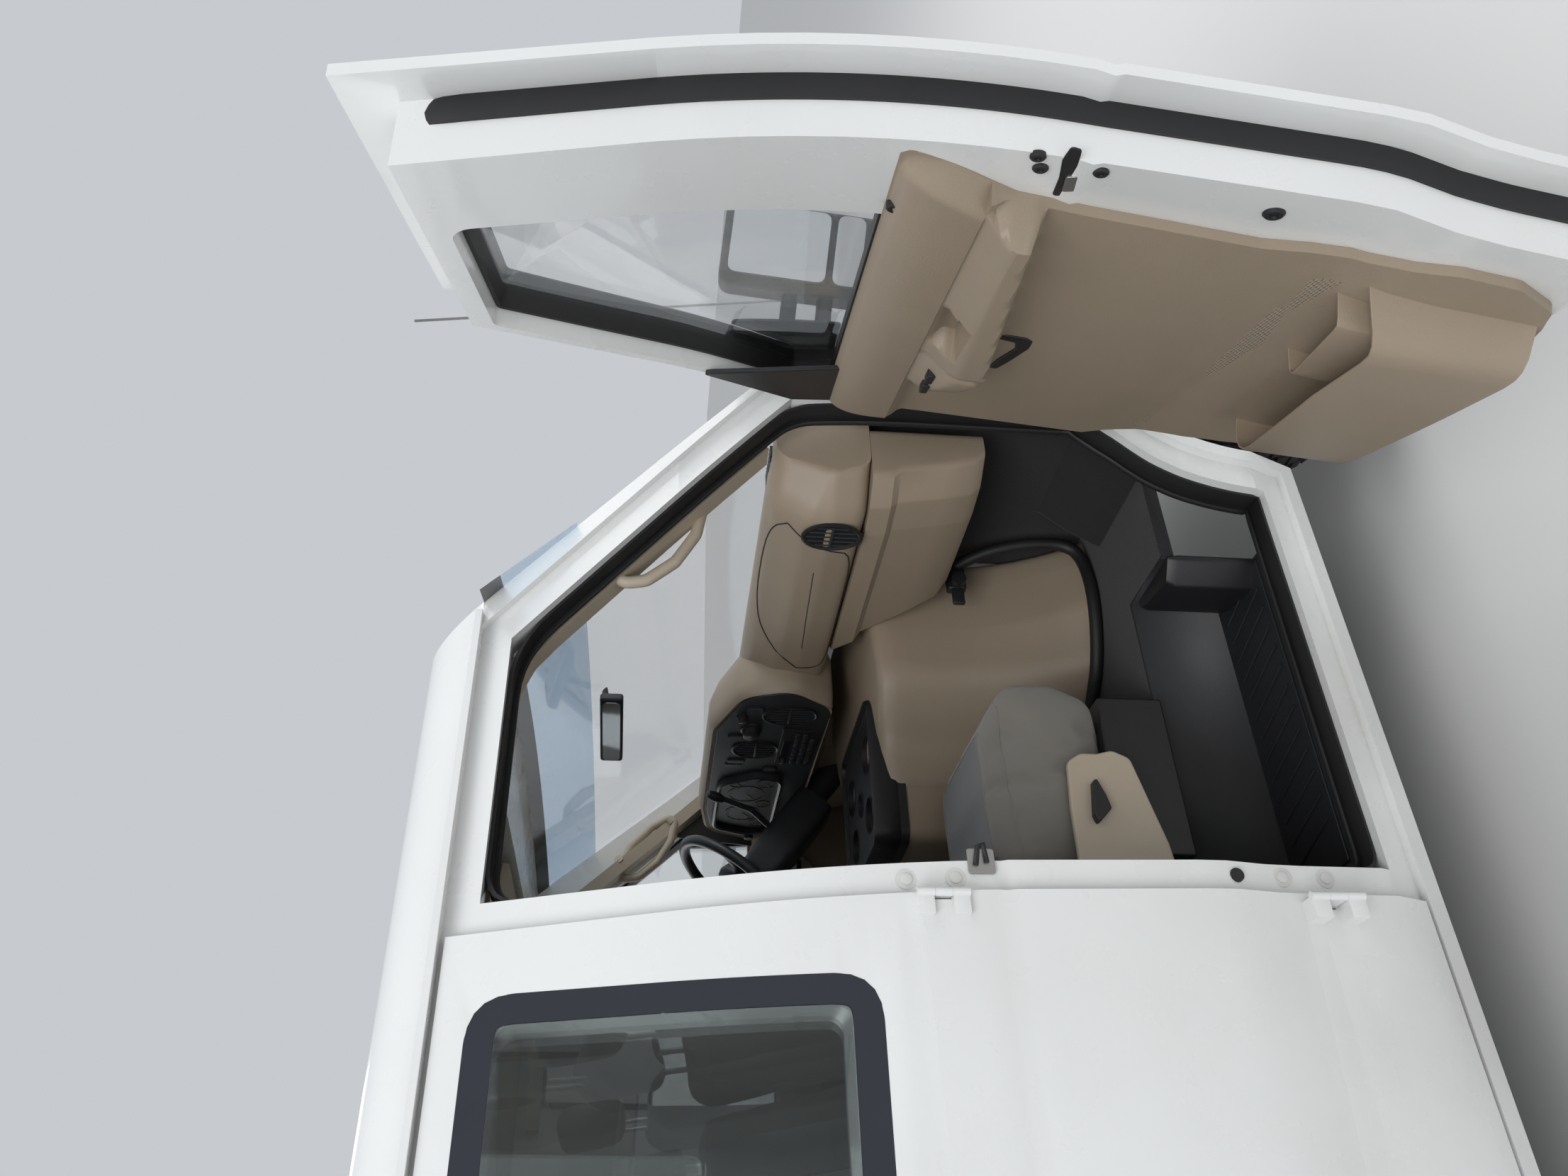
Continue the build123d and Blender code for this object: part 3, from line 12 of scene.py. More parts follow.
import bmesh
import bpy
from mathutils import Matrix, Vector
from mathutils.bvhtree import BVHTree

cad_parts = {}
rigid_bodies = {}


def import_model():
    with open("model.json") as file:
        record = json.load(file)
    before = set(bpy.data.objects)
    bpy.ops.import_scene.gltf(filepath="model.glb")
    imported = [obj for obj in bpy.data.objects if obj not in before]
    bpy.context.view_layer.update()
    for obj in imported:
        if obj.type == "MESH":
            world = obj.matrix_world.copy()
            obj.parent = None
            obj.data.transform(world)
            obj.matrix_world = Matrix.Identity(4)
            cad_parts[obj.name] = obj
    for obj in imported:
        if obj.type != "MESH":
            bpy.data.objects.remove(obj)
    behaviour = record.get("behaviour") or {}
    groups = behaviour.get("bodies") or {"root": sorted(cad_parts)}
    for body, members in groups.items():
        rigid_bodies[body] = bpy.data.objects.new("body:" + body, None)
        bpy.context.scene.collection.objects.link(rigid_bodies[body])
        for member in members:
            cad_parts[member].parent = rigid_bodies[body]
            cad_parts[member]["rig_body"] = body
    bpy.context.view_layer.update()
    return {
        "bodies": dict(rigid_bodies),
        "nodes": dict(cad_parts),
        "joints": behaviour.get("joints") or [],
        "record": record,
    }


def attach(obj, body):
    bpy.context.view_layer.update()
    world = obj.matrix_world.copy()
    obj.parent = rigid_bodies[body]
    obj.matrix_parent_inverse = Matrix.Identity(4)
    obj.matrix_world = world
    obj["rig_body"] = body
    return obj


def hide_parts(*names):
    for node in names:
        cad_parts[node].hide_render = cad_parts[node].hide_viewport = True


LOG = logging.getLogger("van")
Point = Sequence[float]
Pair = tuple[float, float]
Piece = bpy.types.Object
Tree = bpy.types.NodeTree


class Slot(Enum):
    """The record's material slots, one kept with each finish."""

    PAINT = "body_paint"
    CHASSIS = "chassis_black"
    STEEL = "steel"
    WHEEL = "wheel_steel"
    TYRE = "tyre"
    CHROME = "chrome"
    BLACK = "black_plastic"
    GREY = "grey_plastic"
    BEIGE = "beige_plastic"
    MAT = "floor_mat"
    FABRIC = "seat_fabric"
    LINER = "headliner_cloth"
    GLASS = "tinted_glass"
    CLEAR = "clear_lamp"
    RED = "red_lamp"


class Grain(Enum):
    """The fine relief of a finish."""

    NONE = "none"
    PEEL = "peel"
    LEATHER = "leather"
    WEAVE = "weave"
    CARPET = "carpet"
    RIBBED = "ribbed"


# Shader node groups


class Effects:
    """Node groups shared by the materials, each built once."""

    dust_floor = 0.22
    dust_patches = (0.35, 0.8)

    def __init__(self) -> None:
        self.groups: dict[str, Tree] = {}

    def group(self, name: str) -> Tree:
        """Gives one effect's node group, built on first use.

        Args:
            name: The effect's name, one of this class's builders.

        Returns:
            The shader node group.
        """
        if name not in self.groups:
            tree = bpy.data.node_groups.new(name, "ShaderNodeTree")
            getattr(self, name)(tree)
            self.groups[name] = tree
        return self.groups[name]

    @staticmethod
    def sockets(tree: Tree, inputs: dict[str, float], outputs: dict[str, str]) -> tuple:
        """Adds a Vector input, number inputs and outputs to a group.

        Args:
            tree: The group's tree.
            inputs: Default of each number input by name.
            outputs: Socket type of each output by name.

        Returns:
            The group's input and output nodes.
        """
        tree.interface.new_socket(name="Vector", in_out="INPUT", socket_type="NodeSocketVector")
        for name, value in inputs.items():
            socket = tree.interface.new_socket(name=name, in_out="INPUT", socket_type="NodeSocketFloat")
            socket.default_value = value
        for name, kind in outputs.items():
            tree.interface.new_socket(name=name, in_out="OUTPUT", socket_type=kind)
        return tree.nodes.new("NodeGroupInput"), tree.nodes.new("NodeGroupOutput")

    def noise(self, tree: Tree, scale: float, detail: float) -> bpy.types.Node:
        """Adds a noise texture at one scale."""
        node = tree.nodes.new("ShaderNodeTexNoise")
        node.inputs["Scale"].default_value = scale
        node.inputs["Detail"].default_value = detail
        return node

    def ramp(self, tree: Tree, low: float, high: float) -> bpy.types.Node:
        """Adds a map range from low..high to 0..1, clamped."""
        node = tree.nodes.new("ShaderNodeMapRange")
        node.inputs["From Min"].default_value = low
        node.inputs["From Max"].default_value = high
        return node

    def dust(self, tree: Tree) -> None:
        """Patchy dirt, heavier towards the ground; gives a Mask."""
        start, end = self.sockets(tree, {"Height": 0.9, "Patch": 3.0}, {"Mask": "NodeSocketFloat"})
        link = tree.links.new
        split = tree.nodes.new("ShaderNodeSeparateXYZ")
        link(start.outputs["Vector"], split.inputs[0])
        low = self.ramp(tree, 0.0, 0.9)
        low.inputs["To Min"].default_value = 1.0
        low.inputs["To Max"].default_value = 0.0
        link(split.outputs["Z"], low.inputs["Value"])
        link(start.outputs["Height"], low.inputs["From Max"])
        patches = self.noise(tree, 3.0, 6.0)
        link(start.outputs["Vector"], patches.inputs["Vector"])
        link(start.outputs["Patch"], patches.inputs["Scale"])
        soft = self.ramp(tree, *self.dust_patches)
        link(patches.outputs["Fac"], soft.inputs["Value"])
        total = tree.nodes.new("ShaderNodeMath")
        total.operation = "MULTIPLY_ADD"
        total.inputs[2].default_value = 0.0
        link(low.outputs[0], total.inputs[0])
        link(soft.outputs[0], total.inputs[1])
        part = tree.nodes.new("ShaderNodeMath")
        part.operation = "MULTIPLY"
        part.inputs[1].default_value = self.dust_floor
        link(soft.outputs[0], part.inputs[0])
        link(part.outputs[0], total.inputs[2])
        link(total.outputs[0], end.inputs["Mask"])

    def peel(self, tree: Tree) -> None:
        """The slight waviness of sprayed paint."""
        self.speckle(tree, 260.0, 2.0)

    def carpet(self, tree: Tree) -> None:
        """Short carpet pile."""
        self.speckle(tree, 420.0, 5.0)

    def leather(self, tree: Tree) -> None:
        """Moulded grain: rounded cells with creases between them."""
        start, end = self.sockets(tree, {"Scale": 620.0}, {"Height": "NodeSocketFloat"})
        cells = self.fed(tree, start, "ShaderNodeTexVoronoi")
        cells.feature = "SMOOTH_F1"
        tree.links.new(cells.outputs["Distance"], end.inputs["Height"])

    def weave(self, tree: Tree) -> None:
        """Crossed threads."""
        self.crossed(tree, 260.0, "MAXIMUM", 1.2, 1.0)

    def ribbed(self, tree: Tree) -> None:
        """A moulded mesh of fine crossed ribs."""
        self.crossed(tree, 60.0, "MULTIPLY", 0.0, 2.0)

    @staticmethod
    def fed(tree: Tree, start: bpy.types.Node, kind: str) -> bpy.types.Node:
        """Adds a texture fed from the group's Vector and Scale."""
        node = tree.nodes.new(kind)
        for name in ("Vector", "Scale"):
            tree.links.new(start.outputs[name], node.inputs[name])
        return node

    def speckle(self, tree: Tree, scale: float, detail: float) -> None:
        """Fills a group with plain noise as its Height."""
        start, end = self.sockets(tree, {"Scale": scale}, {"Height": "NodeSocketFloat"})
        noise = self.fed(tree, start, "ShaderNodeTexNoise")
        noise.inputs["Detail"].default_value = detail
        tree.links.new(noise.outputs["Fac"], end.inputs["Height"])

    def crossed(self, tree: Tree, scale: float, operation: str, distortion: float, detail: float
                ) -> None:
        """Fills a group with two wave textures that cross, as its Height.

        Args:
            tree: The group's tree.
            scale: Default of its Scale.
            operation: How the two waves are put together.
            distortion: How uneven the bands are.
            detail: Fineness of that unevenness.
        """
        start, end = self.sockets(tree, {"Scale": scale}, {"Height": "NodeSocketFloat"})
        total = tree.nodes.new("ShaderNodeMath")
        total.operation = operation
        for index, way in enumerate(("X", "Z")):
            wave = self.fed(tree, start, "ShaderNodeTexWave")
            wave.bands_direction = way
            wave.inputs["Distortion"].default_value = distortion
            wave.inputs["Detail"].default_value = detail
            tree.links.new(wave.outputs["Fac"], total.inputs[index])
        tree.links.new(total.outputs[0], end.inputs["Height"])


@dataclass(frozen=True)
class Finish:
    """One surface finish, turned into a material on first use."""

    name: str
    colour: tuple[float, float, float]
    slot: Slot
    roughness: float = 0.5
    metallic: float = 0.0
    coat: float = 0.0
    grain: Grain = Grain.NONE
    grain_scale: float = 400.0
    grain_depth: float = 0.0002
    dirt: tuple[float, float, float] = (0.23, 0.20, 0.16)
    dirt_amount: float = 0.0
    mottle: float = 0.06
    transmission: float = 0.0
    alpha: float = 1.0
    sheen: float = 0.0
    coat_roughness: float = 0.08
    roughness_spread: float = 0.06

    def material(self, effects: Effects) -> bpy.types.Material:
        """Builds the node material, or gives it again.

        Args:
            effects: The shared node groups.

        Returns:
            The material.
        """
        known = bpy.data.materials.get(self.name)
        if known is not None and known.get("made_here"):
            return known
        made = bpy.data.materials.new(self.name)
        made["made_here"] = True
        made.use_nodes = True
        made.diffuse_color = (*self.colour, 1.0)
        tree = made.node_tree
        shader = tree.nodes["Principled BSDF"]
        values = {
            "Base Color": (*self.colour, 1.0), "Roughness": self.roughness, "Metallic": self.metallic,
            "Coat Weight": self.coat, "Coat Roughness": self.coat_roughness, "Alpha": self.alpha,
            "Transmission Weight": self.transmission, "Sheen Weight": self.sheen,
        }
        for name, value in values.items():
            shader.inputs[name].default_value = value
        place = tree.nodes.new("ShaderNodeTexCoord").outputs["Object"]
        if self.transmission == 0.0:
            self.colour_nodes(tree, shader, place, effects)
        if self.grain is not Grain.NONE:
            self.grain_nodes(tree, shader, place, effects)
        return made

    def colour_nodes(self, tree: Tree, shader: bpy.types.Node, place: bpy.types.NodeSocket,
                     effects: Effects) -> None:
        """Adds mottling, dirt and a varied roughness.

        Args:
            tree: The material's tree.
            shader: Its Principled node.
            place: The Object coordinates.
            effects: The shared node groups.
        """
        link = tree.links.new
        mottle = effects.noise(tree, 9.0, 5.0)
        link(place, mottle.inputs["Vector"])
        shade = tree.nodes.new("ShaderNodeMix")
        shade.data_type = "RGBA"
        shade.inputs[6].default_value = (*[c * (1.0 - self.mottle) for c in self.colour], 1.0)
        shade.inputs[7].default_value = (*[min(1.0, c * (1.0 + self.mottle)) for c in self.colour], 1.0)
        link(mottle.outputs["Fac"], shade.inputs[0])
        colour = shade.outputs[2]
        rough = tree.nodes.new("ShaderNodeMapRange")
        rough.inputs["To Min"].default_value = max(0.02, self.roughness - self.roughness_spread)
        rough.inputs["To Max"].default_value = min(1.0, self.roughness + self.roughness_spread)
        link(mottle.outputs["Fac"], rough.inputs["Value"])
        link(rough.outputs[0], shader.inputs["Roughness"])
        if self.dirt_amount:
            dust = tree.nodes.new("ShaderNodeGroup")
            dust.node_tree = effects.group("dust")
            link(place, dust.inputs["Vector"])
            some = tree.nodes.new("ShaderNodeMath")
            some.operation = "MULTIPLY"
            some.inputs[1].default_value = self.dirt_amount
            link(dust.outputs["Mask"], some.inputs[0])
            dirty = tree.nodes.new("ShaderNodeMix")
            dirty.data_type = "RGBA"
            dirty.inputs[7].default_value = (*self.dirt, 1.0)
            link(some.outputs[0], dirty.inputs[0])
            link(colour, dirty.inputs[6])
            colour = dirty.outputs[2]
        link(colour, shader.inputs["Base Color"])

    def grain_nodes(self, tree: Tree, shader: bpy.types.Node, place: bpy.types.NodeSocket,
                    effects: Effects) -> None:
        """Adds the finish's fine relief through a Bump node."""
        relief = tree.nodes.new("ShaderNodeGroup")
        relief.node_tree = effects.group(self.grain.value)
        relief.inputs["Scale"].default_value = self.grain_scale
        tree.links.new(place, relief.inputs["Vector"])
        bump = tree.nodes.new("ShaderNodeBump")
        bump.inputs["Distance"].default_value = self.grain_depth
        bump.inputs["Strength"].default_value = 1.0
        tree.links.new(relief.outputs["Height"], bump.inputs["Height"])
        tree.links.new(bump.outputs["Normal"], shader.inputs["Normal"])


PAINT = Finish("white_paint", (0.80, 0.81, 0.80), Slot.PAINT, 0.28, coat=0.6, grain=Grain.PEEL,
               grain_depth=0.00004, dirt_amount=0.35, mottle=0.012)
JAMB = Finish("jamb_paint", (0.74, 0.74, 0.72), Slot.PAINT, 0.36, coat=0.3, dirt_amount=0.9, mottle=0.03)
RUBBER = Finish("seal_rubber", (0.012, 0.012, 0.013), Slot.BLACK, 0.55, grain=Grain.PEEL, grain_depth=0.0001,
                mottle=0.25)
BLACK_TRIM = Finish("black_trim", (0.014, 0.014, 0.016), Slot.BLACK, 0.45, grain=Grain.LEATHER, mottle=0.15)
GREY_TRIM = Finish("dark_grey_trim", (0.030, 0.032, 0.036), Slot.GREY, 0.42, grain=Grain.LEATHER, mottle=0.12)
BEIGE = Finish("beige_vinyl", (0.33, 0.265, 0.195), Slot.BEIGE, 0.46, grain=Grain.LEATHER, grain_scale=520.0,
               grain_depth=0.00025, mottle=0.05)
PALE_BEIGE = Finish("pale_beige_plastic", (0.47, 0.40, 0.31), Slot.BEIGE, 0.5, grain=Grain.LEATHER,
                    mottle=0.04)
MESH_VINYL = Finish("ribbed_insert", (0.34, 0.28, 0.21), Slot.BEIGE, 0.55, grain=Grain.RIBBED,
                    grain_scale=75.0, grain_depth=0.0012, mottle=0.06)
CLOTH = Finish("seat_cloth", (0.215, 0.20, 0.175), Slot.FABRIC, 0.9, grain=Grain.WEAVE, grain_scale=300.0,
               grain_depth=0.0004, mottle=0.08, sheen=0.4)
LINER = Finish("headliner_felt", (0.50, 0.45, 0.36), Slot.LINER, 0.95, grain=Grain.CARPET, grain_depth=0.0003)
CARPET = Finish("black_carpet", (0.012, 0.012, 0.014), Slot.MAT, 0.95, grain=Grain.CARPET, grain_depth=0.0012,
                mottle=0.3, sheen=0.2)
MAT = Finish("ribbed_mat", (0.015, 0.016, 0.018), Slot.MAT, 0.5, grain=Grain.LEATHER, mottle=0.2)
CHASSIS = Finish("underbody_black", (0.022, 0.021, 0.02), Slot.CHASSIS, 0.7, grain=Grain.PEEL,
                 grain_depth=0.0006, dirt_amount=0.6, mottle=0.3)
STEEL = Finish("dull_steel", (0.42, 0.41, 0.40), Slot.STEEL, 0.38, metallic=0.9, grain=Grain.PEEL, mottle=0.2)
WHEEL_PAINT = Finish("wheel_silver", (0.50, 0.51, 0.52), Slot.WHEEL, 0.34, metallic=0.4, dirt_amount=0.5,
                     mottle=0.08)
TYRE = Finish("tyre_rubber", (0.018, 0.018, 0.019), Slot.TYRE, 0.75, grain=Grain.PEEL, grain_depth=0.0003,
              dirt_amount=0.3, mottle=0.25)
CHROME = Finish("chrome_plate", (0.72, 0.73, 0.75), Slot.CHROME, 0.09, metallic=1.0, mottle=0.02)
TINTED = Finish("tinted_glass", (0.36, 0.42, 0.41), Slot.GLASS, 0.02, transmission=1.0, alpha=0.55)
CLEAR_GLASS = Finish("clear_glass", (0.82, 0.90, 0.88), Slot.GLASS, 0.02, transmission=1.0, alpha=0.28)
FRIT = Finish("window_frit", (0.010, 0.013, 0.022), Slot.GLASS, 0.12, coat=0.5, mottle=0.2)
LENS = Finish("clear_lens", (0.86, 0.88, 0.90), Slot.CLEAR, 0.05, transmission=0.9, alpha=0.6)
RED_LENS = Finish("red_lens", (0.42, 0.012, 0.015), Slot.RED, 0.12, coat=0.6, mottle=0.06)
AMBER = Finish("amber_lens", (0.60, 0.20, 0.02), Slot.CLEAR, 0.12, coat=0.6, mottle=0.06)
INSERT_CLOTH = Finish("seat_insert", (0.125, 0.125, 0.130), Slot.FABRIC, 0.92, grain=Grain.WEAVE,
                      grain_scale=210.0, grain_depth=0.0006, mottle=0.12, sheen=0.4)
TINT_BAND = Finish("tint_band", (0.10, 0.32, 0.62), Slot.GLASS, 0.03, transmission=1.0, alpha=0.45)
MIRROR = Finish("mirror_glass", (0.88, 0.90, 0.92), Slot.CHROME, 0.015, metallic=1.0, mottle=0.0)


# Meshes and pieces


def bend(before: Vector, here: Vector, after: Vector, reach: float, steps: int) -> list[Vector]:
    """Rounds one corner.

    Args:
        before: The point before the corner.
        here: The corner.
        after: The point after it.
        reach: How far from the corner the curve starts and ends.
        steps: Straight steps in the curve.

    Returns:
        The curve's points.
    """
    start = here + (before - here).normalized() * reach
    end = here + (after - here).normalized() * reach
    turns = [step / steps for step in range(steps + 1)]
    return [start * (1 - t) ** 2 + here * 2 * t * (1 - t) + end * t * t for t in turns]


def rounded(points: Sequence[Point], radius: float, steps: int = 5) -> list[Vector]:
    """Rounds the corners of a closed plane outline.

    Args:
        points: The outline's corners, as 2-D or 3-D points.
        radius: The radius wanted; short sides get a smaller one.
        steps: Straight steps in each corner.

    Returns:
        The rounded outline's points.
    """
    corners = [Vector(p) for p in points]
    if radius <= 0.0:
        return corners
    share = 0.48
    result: list[Vector] = []
    for index, here in enumerate(corners):
        before, after = corners[index - 1], corners[(index + 1) % len(corners)]
        half = (before - here).angle(after - here) / 2
        reach = min(radius / math.tan(half), (before - here).length * share, (after - here).length * share)
        result += bend(before, here, after, reach, steps)
    return result


def soft(points: Sequence[Point], radius: float, steps: int = 5) -> list[Pair]:
    """A rounded outline as plain pairs."""
    return [(p.x, p.y) for p in rounded(points, radius, steps)]


def oblong(x0: float, z0: float, x1: float, z1: float) -> list[Pair]:
    """A rectangle's corners, from one of them round by the opposite one."""
    return [(x0, z0), (x1, z0), (x1, z1), (x0, z1)]


def smoothed(points: Sequence[Point]) -> list[Vector]:
    """Cuts the corners of an open path twice."""
    path = [Vector(p) for p in points]
    for _ in range(2):
        cut = [path[0]]
        for a, b in zip(path, path[1:]):
            cut += [a.lerp(b, 0.25), a.lerp(b, 0.75)]
        path = cut + [path[-1]]
    return path


@dataclass
class Workshop:
    """Makes pieces, gives them their finish and seats them on the frame's bodies."""

    frame: dict
    effects: Effects = field(default_factory=Effects)
    count: int = 0
    crisp: float = 30.0
    flatness: float = 0.8
    node_weld: float = 2e-5
    spin_weld: float = 1e-6

    def finish(self, piece: Piece, body: str, finish: Finish, replaces: Iterable[str] = ()
               ) -> Piece:
        """Gives a piece its finish and body.

        Args:
            piece: The object, in place.
            body: The body that it moves with.
            finish: Its finish.
            replaces: CAD nodes that it stands for.

        Returns:
            The same piece.
        """
        piece.data.materials.clear()
        piece.data.materials.append(finish.material(self.effects))
        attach(piece, body)
        nodes = list(replaces)
        if nodes:
            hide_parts(*nodes)
        self.count += 1
        LOG.info("piece %s on %s", piece.name, body)
        return piece

    def from_bmesh(self, name: str, bm: bmesh.types.BMesh, place: Matrix | None = None, smooth: float = 35.0
                   ) -> Piece:
        """Turns a bmesh into a linked object.

        Args:
            name: The piece's name.
            bm: The shape; it is freed.
            place: A transform of the shape into the van's frame.
            smooth: Edges sharper than this angle stay crisp, in degrees.

        Returns:
            The new object.
        """
        if place is not None:
            bmesh.ops.transform(bm, matrix=place, verts=bm.verts[:])
        bmesh.ops.recalc_face_normals(bm, faces=bm.faces[:])
        return self.meshed(name, bm, smooth)

    def meshed(self, name: str, bm: bmesh.types.BMesh, smooth: float | None = None) -> Piece:
        """Writes a bmesh into a linked object and frees it; without an angle its shading stays."""
        mesh = bpy.data.meshes.new(name)
        bm.to_mesh(mesh)
        bm.free()
        if smooth is not None:
            self.shade(mesh)
            mesh.set_sharp_from_angle(angle=math.radians(smooth))
        return self.linked(name, mesh)

    @staticmethod
    def shade(mesh: bpy.types.Mesh) -> None:
        """Shades every face smooth."""
        for polygon in mesh.polygons:
            polygon.use_smooth = True

    @staticmethod
    def linked(name: str, data: bpy.types.ID) -> Piece:
        """Adds an object to the scene."""
        made = bpy.data.objects.new(name, data)
        bpy.context.scene.collection.objects.link(made)
        return made

    def soften(self, piece: Piece, width: float, segments: int = 2, angle: float = 40.0
               ) -> Piece:
        """Adds a live bevel to a piece's crisp edges.

        Args:
            piece: The piece.
            width: The bevel's width.
            segments: Its steps.
            angle: Only edges sharper than this are bevelled, in degrees.

        Returns:
            The same piece.
        """
        bevel = piece.modifiers.new("edge", "BEVEL")
        bevel.width = width
        bevel.segments = segments
        bevel.limit_method = "ANGLE"
        bevel.angle_limit = math.radians(angle)
        bevel.harden_normals = True
        return piece

    def dressed_node(self, node: str, finish: Finish, bevel: float) -> Piece:
        """Replaces a CAD node by its own shape, merged, smoothed and with soft edges.

        Args:
            node: The CAD node's name.
            finish: Its finish.
            bevel: Width of the softened edges, or 0.

        Returns:
            The new piece.
        """
        source = self.frame["nodes"][node]
        bm = bmesh.new()
        bm.from_mesh(source.data)
        bmesh.ops.remove_doubles(bm, verts=bm.verts[:], dist=self.node_weld)
        if bevel:
            bmesh.ops.dissolve_limit(bm, angle_limit=math.radians(self.flatness), verts=bm.verts[:],
                                     edges=bm.edges[:])
        piece = self.meshed(node + "_dressed", bm, self.crisp)
        if bevel:
            self.soften(piece, bevel, angle=self.crisp + 5.0)
        return self.finish(piece, source["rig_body"], finish, [node])

    def tube(self, name: str, path: Sequence[Point], radius: float, closed: bool = False, steps: int = 3
             ) -> Piece:
        """A round bead along a path.

        Args:
            name: The piece's name.
            path: The points it follows.
            radius: Its half width.
            closed: Whether the path is a loop.
            steps: Roundness of the section.

        Returns:
            The new mesh object.
        """
        curve = bpy.data.curves.new(name, "CURVE")
        curve.dimensions = "3D"
        curve.bevel_depth = radius
        curve.bevel_resolution = steps
        curve.use_fill_caps = True
        spline = curve.splines.new("POLY")
        spline.points.add(len(path) - 1)
        for point, at in zip(spline.points, path):
            point.co = (*at, 1.0)
        spline.use_cyclic_u = closed
        holder = self.linked(name + "_path", curve)
        mesh = bpy.data.meshes.new_from_object(holder)
        bpy.data.objects.remove(holder)
        mesh.name = name
        self.shade(mesh)
        return self.linked(name, mesh)

    def slab(self, name: str, outline: Sequence[Point], way: Point) -> Piece:
        """A plate pushed out from a closed outline.

        Args:
            name: The piece's name.
            outline: The outline's points in space.
            way: The push, as a vector.

        Returns:
            The new object.
        """
        bm = bmesh.new()
        self.push(bm, [bm.faces.new([bm.verts.new(p) for p in outline])], way)
        return self.from_bmesh(name, bm)

    @staticmethod
    def push(bm: bmesh.types.BMesh, faces: Sequence[bmesh.types.BMFace], way: Point) -> None:
        """Extrudes faces by a vector."""
        pushed = bmesh.ops.extrude_face_region(bm, geom=faces)
        verts = [g for g in pushed["geom"] if isinstance(g, bmesh.types.BMVert)]
        bmesh.ops.translate(bm, verts=verts, vec=Vector(way))

    def spin(self, bm: bmesh.types.BMesh, profile: Sequence[Point], axis: Point, steps: int,
             closed: bool = False) -> None:
        """Turns a profile once round an axis through the origin.

        Args:
            bm: The bmesh that takes it.
            profile: The profile's points in space.
            axis: The axis.
            steps: Steps round it.
            closed: Whether the profile is a loop.
        """
        verts = [bm.verts.new(p) for p in profile]
        after = verts[1:] + (verts[:1] if closed else [])
        edges = [bm.edges.new(pair) for pair in zip(verts, after)]
        bmesh.ops.spin(bm, geom=verts + edges, cent=(0, 0, 0), axis=axis, angle=math.tau, steps=steps,
                       use_merge=True)
        bmesh.ops.remove_doubles(bm, verts=bm.verts[:], dist=self.spin_weld)

    def brick(self, name: str, low: Point, high: Point, radius: float = 0.0, segments: int = 3
              ) -> Piece:
        """A block between two corners, with rounded edges.

        Args:
            name: The piece's name.
            low: One corner.
            high: The opposite corner.
            radius: Radius of its edges.
            segments: Steps in each rounded edge.

        Returns:
            The new object.
        """
        size = [abs(b - a) for a, b in zip(low, high)]
        bm = bmesh.new()
        bmesh.ops.create_cube(bm, size=1.0)
        bmesh.ops.scale(bm, vec=size, verts=bm.verts[:])
        bmesh.ops.translate(bm, vec=(Vector(low) + Vector(high)) / 2, verts=bm.verts[:])
        if radius:
            bmesh.ops.bevel(bm, geom=bm.edges[:], offset=min(radius, min(size) * 0.45), affect="EDGES",
                            segments=segments, profile=0.5, material=-1, clamp_overlap=True)
        return self.from_bmesh(name, bm)

    def turned(self, name: str, rows: Sequence[Pair], origin: Point, way: Point, steps: int = 32
               ) -> Piece:
        """A lathe-turned form.

        Args:
            name: The piece's name.
            rows: Its profile as (radius, distance along the axis).
            origin: Where the axis starts.
            way: The axis.
            steps: Steps round it.

        Returns:
            The new object.
        """
        bm = bmesh.new()
        self.spin(bm, [(r, 0.0, h) for r, h in rows], (0, 0, 1), steps)
        holes = [e for e in bm.edges if e.is_boundary]
        if holes:
            bmesh.ops.holes_fill(bm, edges=holes)
        turn = Vector(way).to_track_quat("Z", "Y").to_matrix().to_4x4()
        return self.from_bmesh(name, bm, Matrix.Translation(Vector(origin)) @ turn, 38.0)

    def loft(self, name: str, rings: Sequence[Sequence[Point]], smooth: float = 35.0, hoop: bool = False,
             place: Matrix | None = None) -> Piece:
        """A skin through rings of equally many points, capped at both ends or closed to a hoop.

        Args:
            name: The piece's name.
            rings: The rings, in order.
            smooth: Edges sharper than this angle stay crisp, in degrees.
            hoop: Whether the last ring joins the first.
            place: A transform of the shape into the van's frame.

        Returns:
            The new object.
        """
        bm = bmesh.new()
        loops = [[bm.verts.new(p) for p in ring] for ring in rings]
        for one, two in zip(loops, loops[1:] + (loops[:1] if hoop else [])):
            for quad in zip(one, one[1:] + one[:1], two[1:] + two[:1], two):
                bm.faces.new(quad)
        if not hoop:
            bm.faces.new(loops[0])
            bm.faces.new(loops[-1][::-1])
        return self.from_bmesh(name, bm, place, smooth)

    def band_of(self, name: str, rings: Sequence[Sequence[Point]]) -> Piece:
        """A hoop through closed rings, in order round its section."""
        return self.loft(name, rings, 40.0, True)

    def pierced(self, name: str, outline: Sequence[Point], holes: Sequence[Sequence[Point]], z: float,
                thick: float) -> Piece:
        """A level plate with holes.

        Args:
            name: The piece's name.
            outline: Its (x, y) outline.
            holes: The holes' (x, y) outlines.
            z: Its underside.
            thick: Its thickness.

        Returns:
            The new object.
        """
        bm = bmesh.new()
        edges = []
        for loop in (outline, *holes):
            verts = [bm.verts.new((p[0], p[1], z)) for p in loop]
            edges += [bm.edges.new((a, b)) for a, b in zip(verts, verts[1:] + verts[:1])]
        filled = bmesh.ops.triangle_fill(bm, use_beauty=True, use_dissolve=False, edges=edges)
        faces = [g for g in filled["geom"] if isinstance(g, bmesh.types.BMFace)]
        self.push(bm, faces, (0.0, 0.0, thick))
        return self.from_bmesh(name, bm, smooth=30.0)

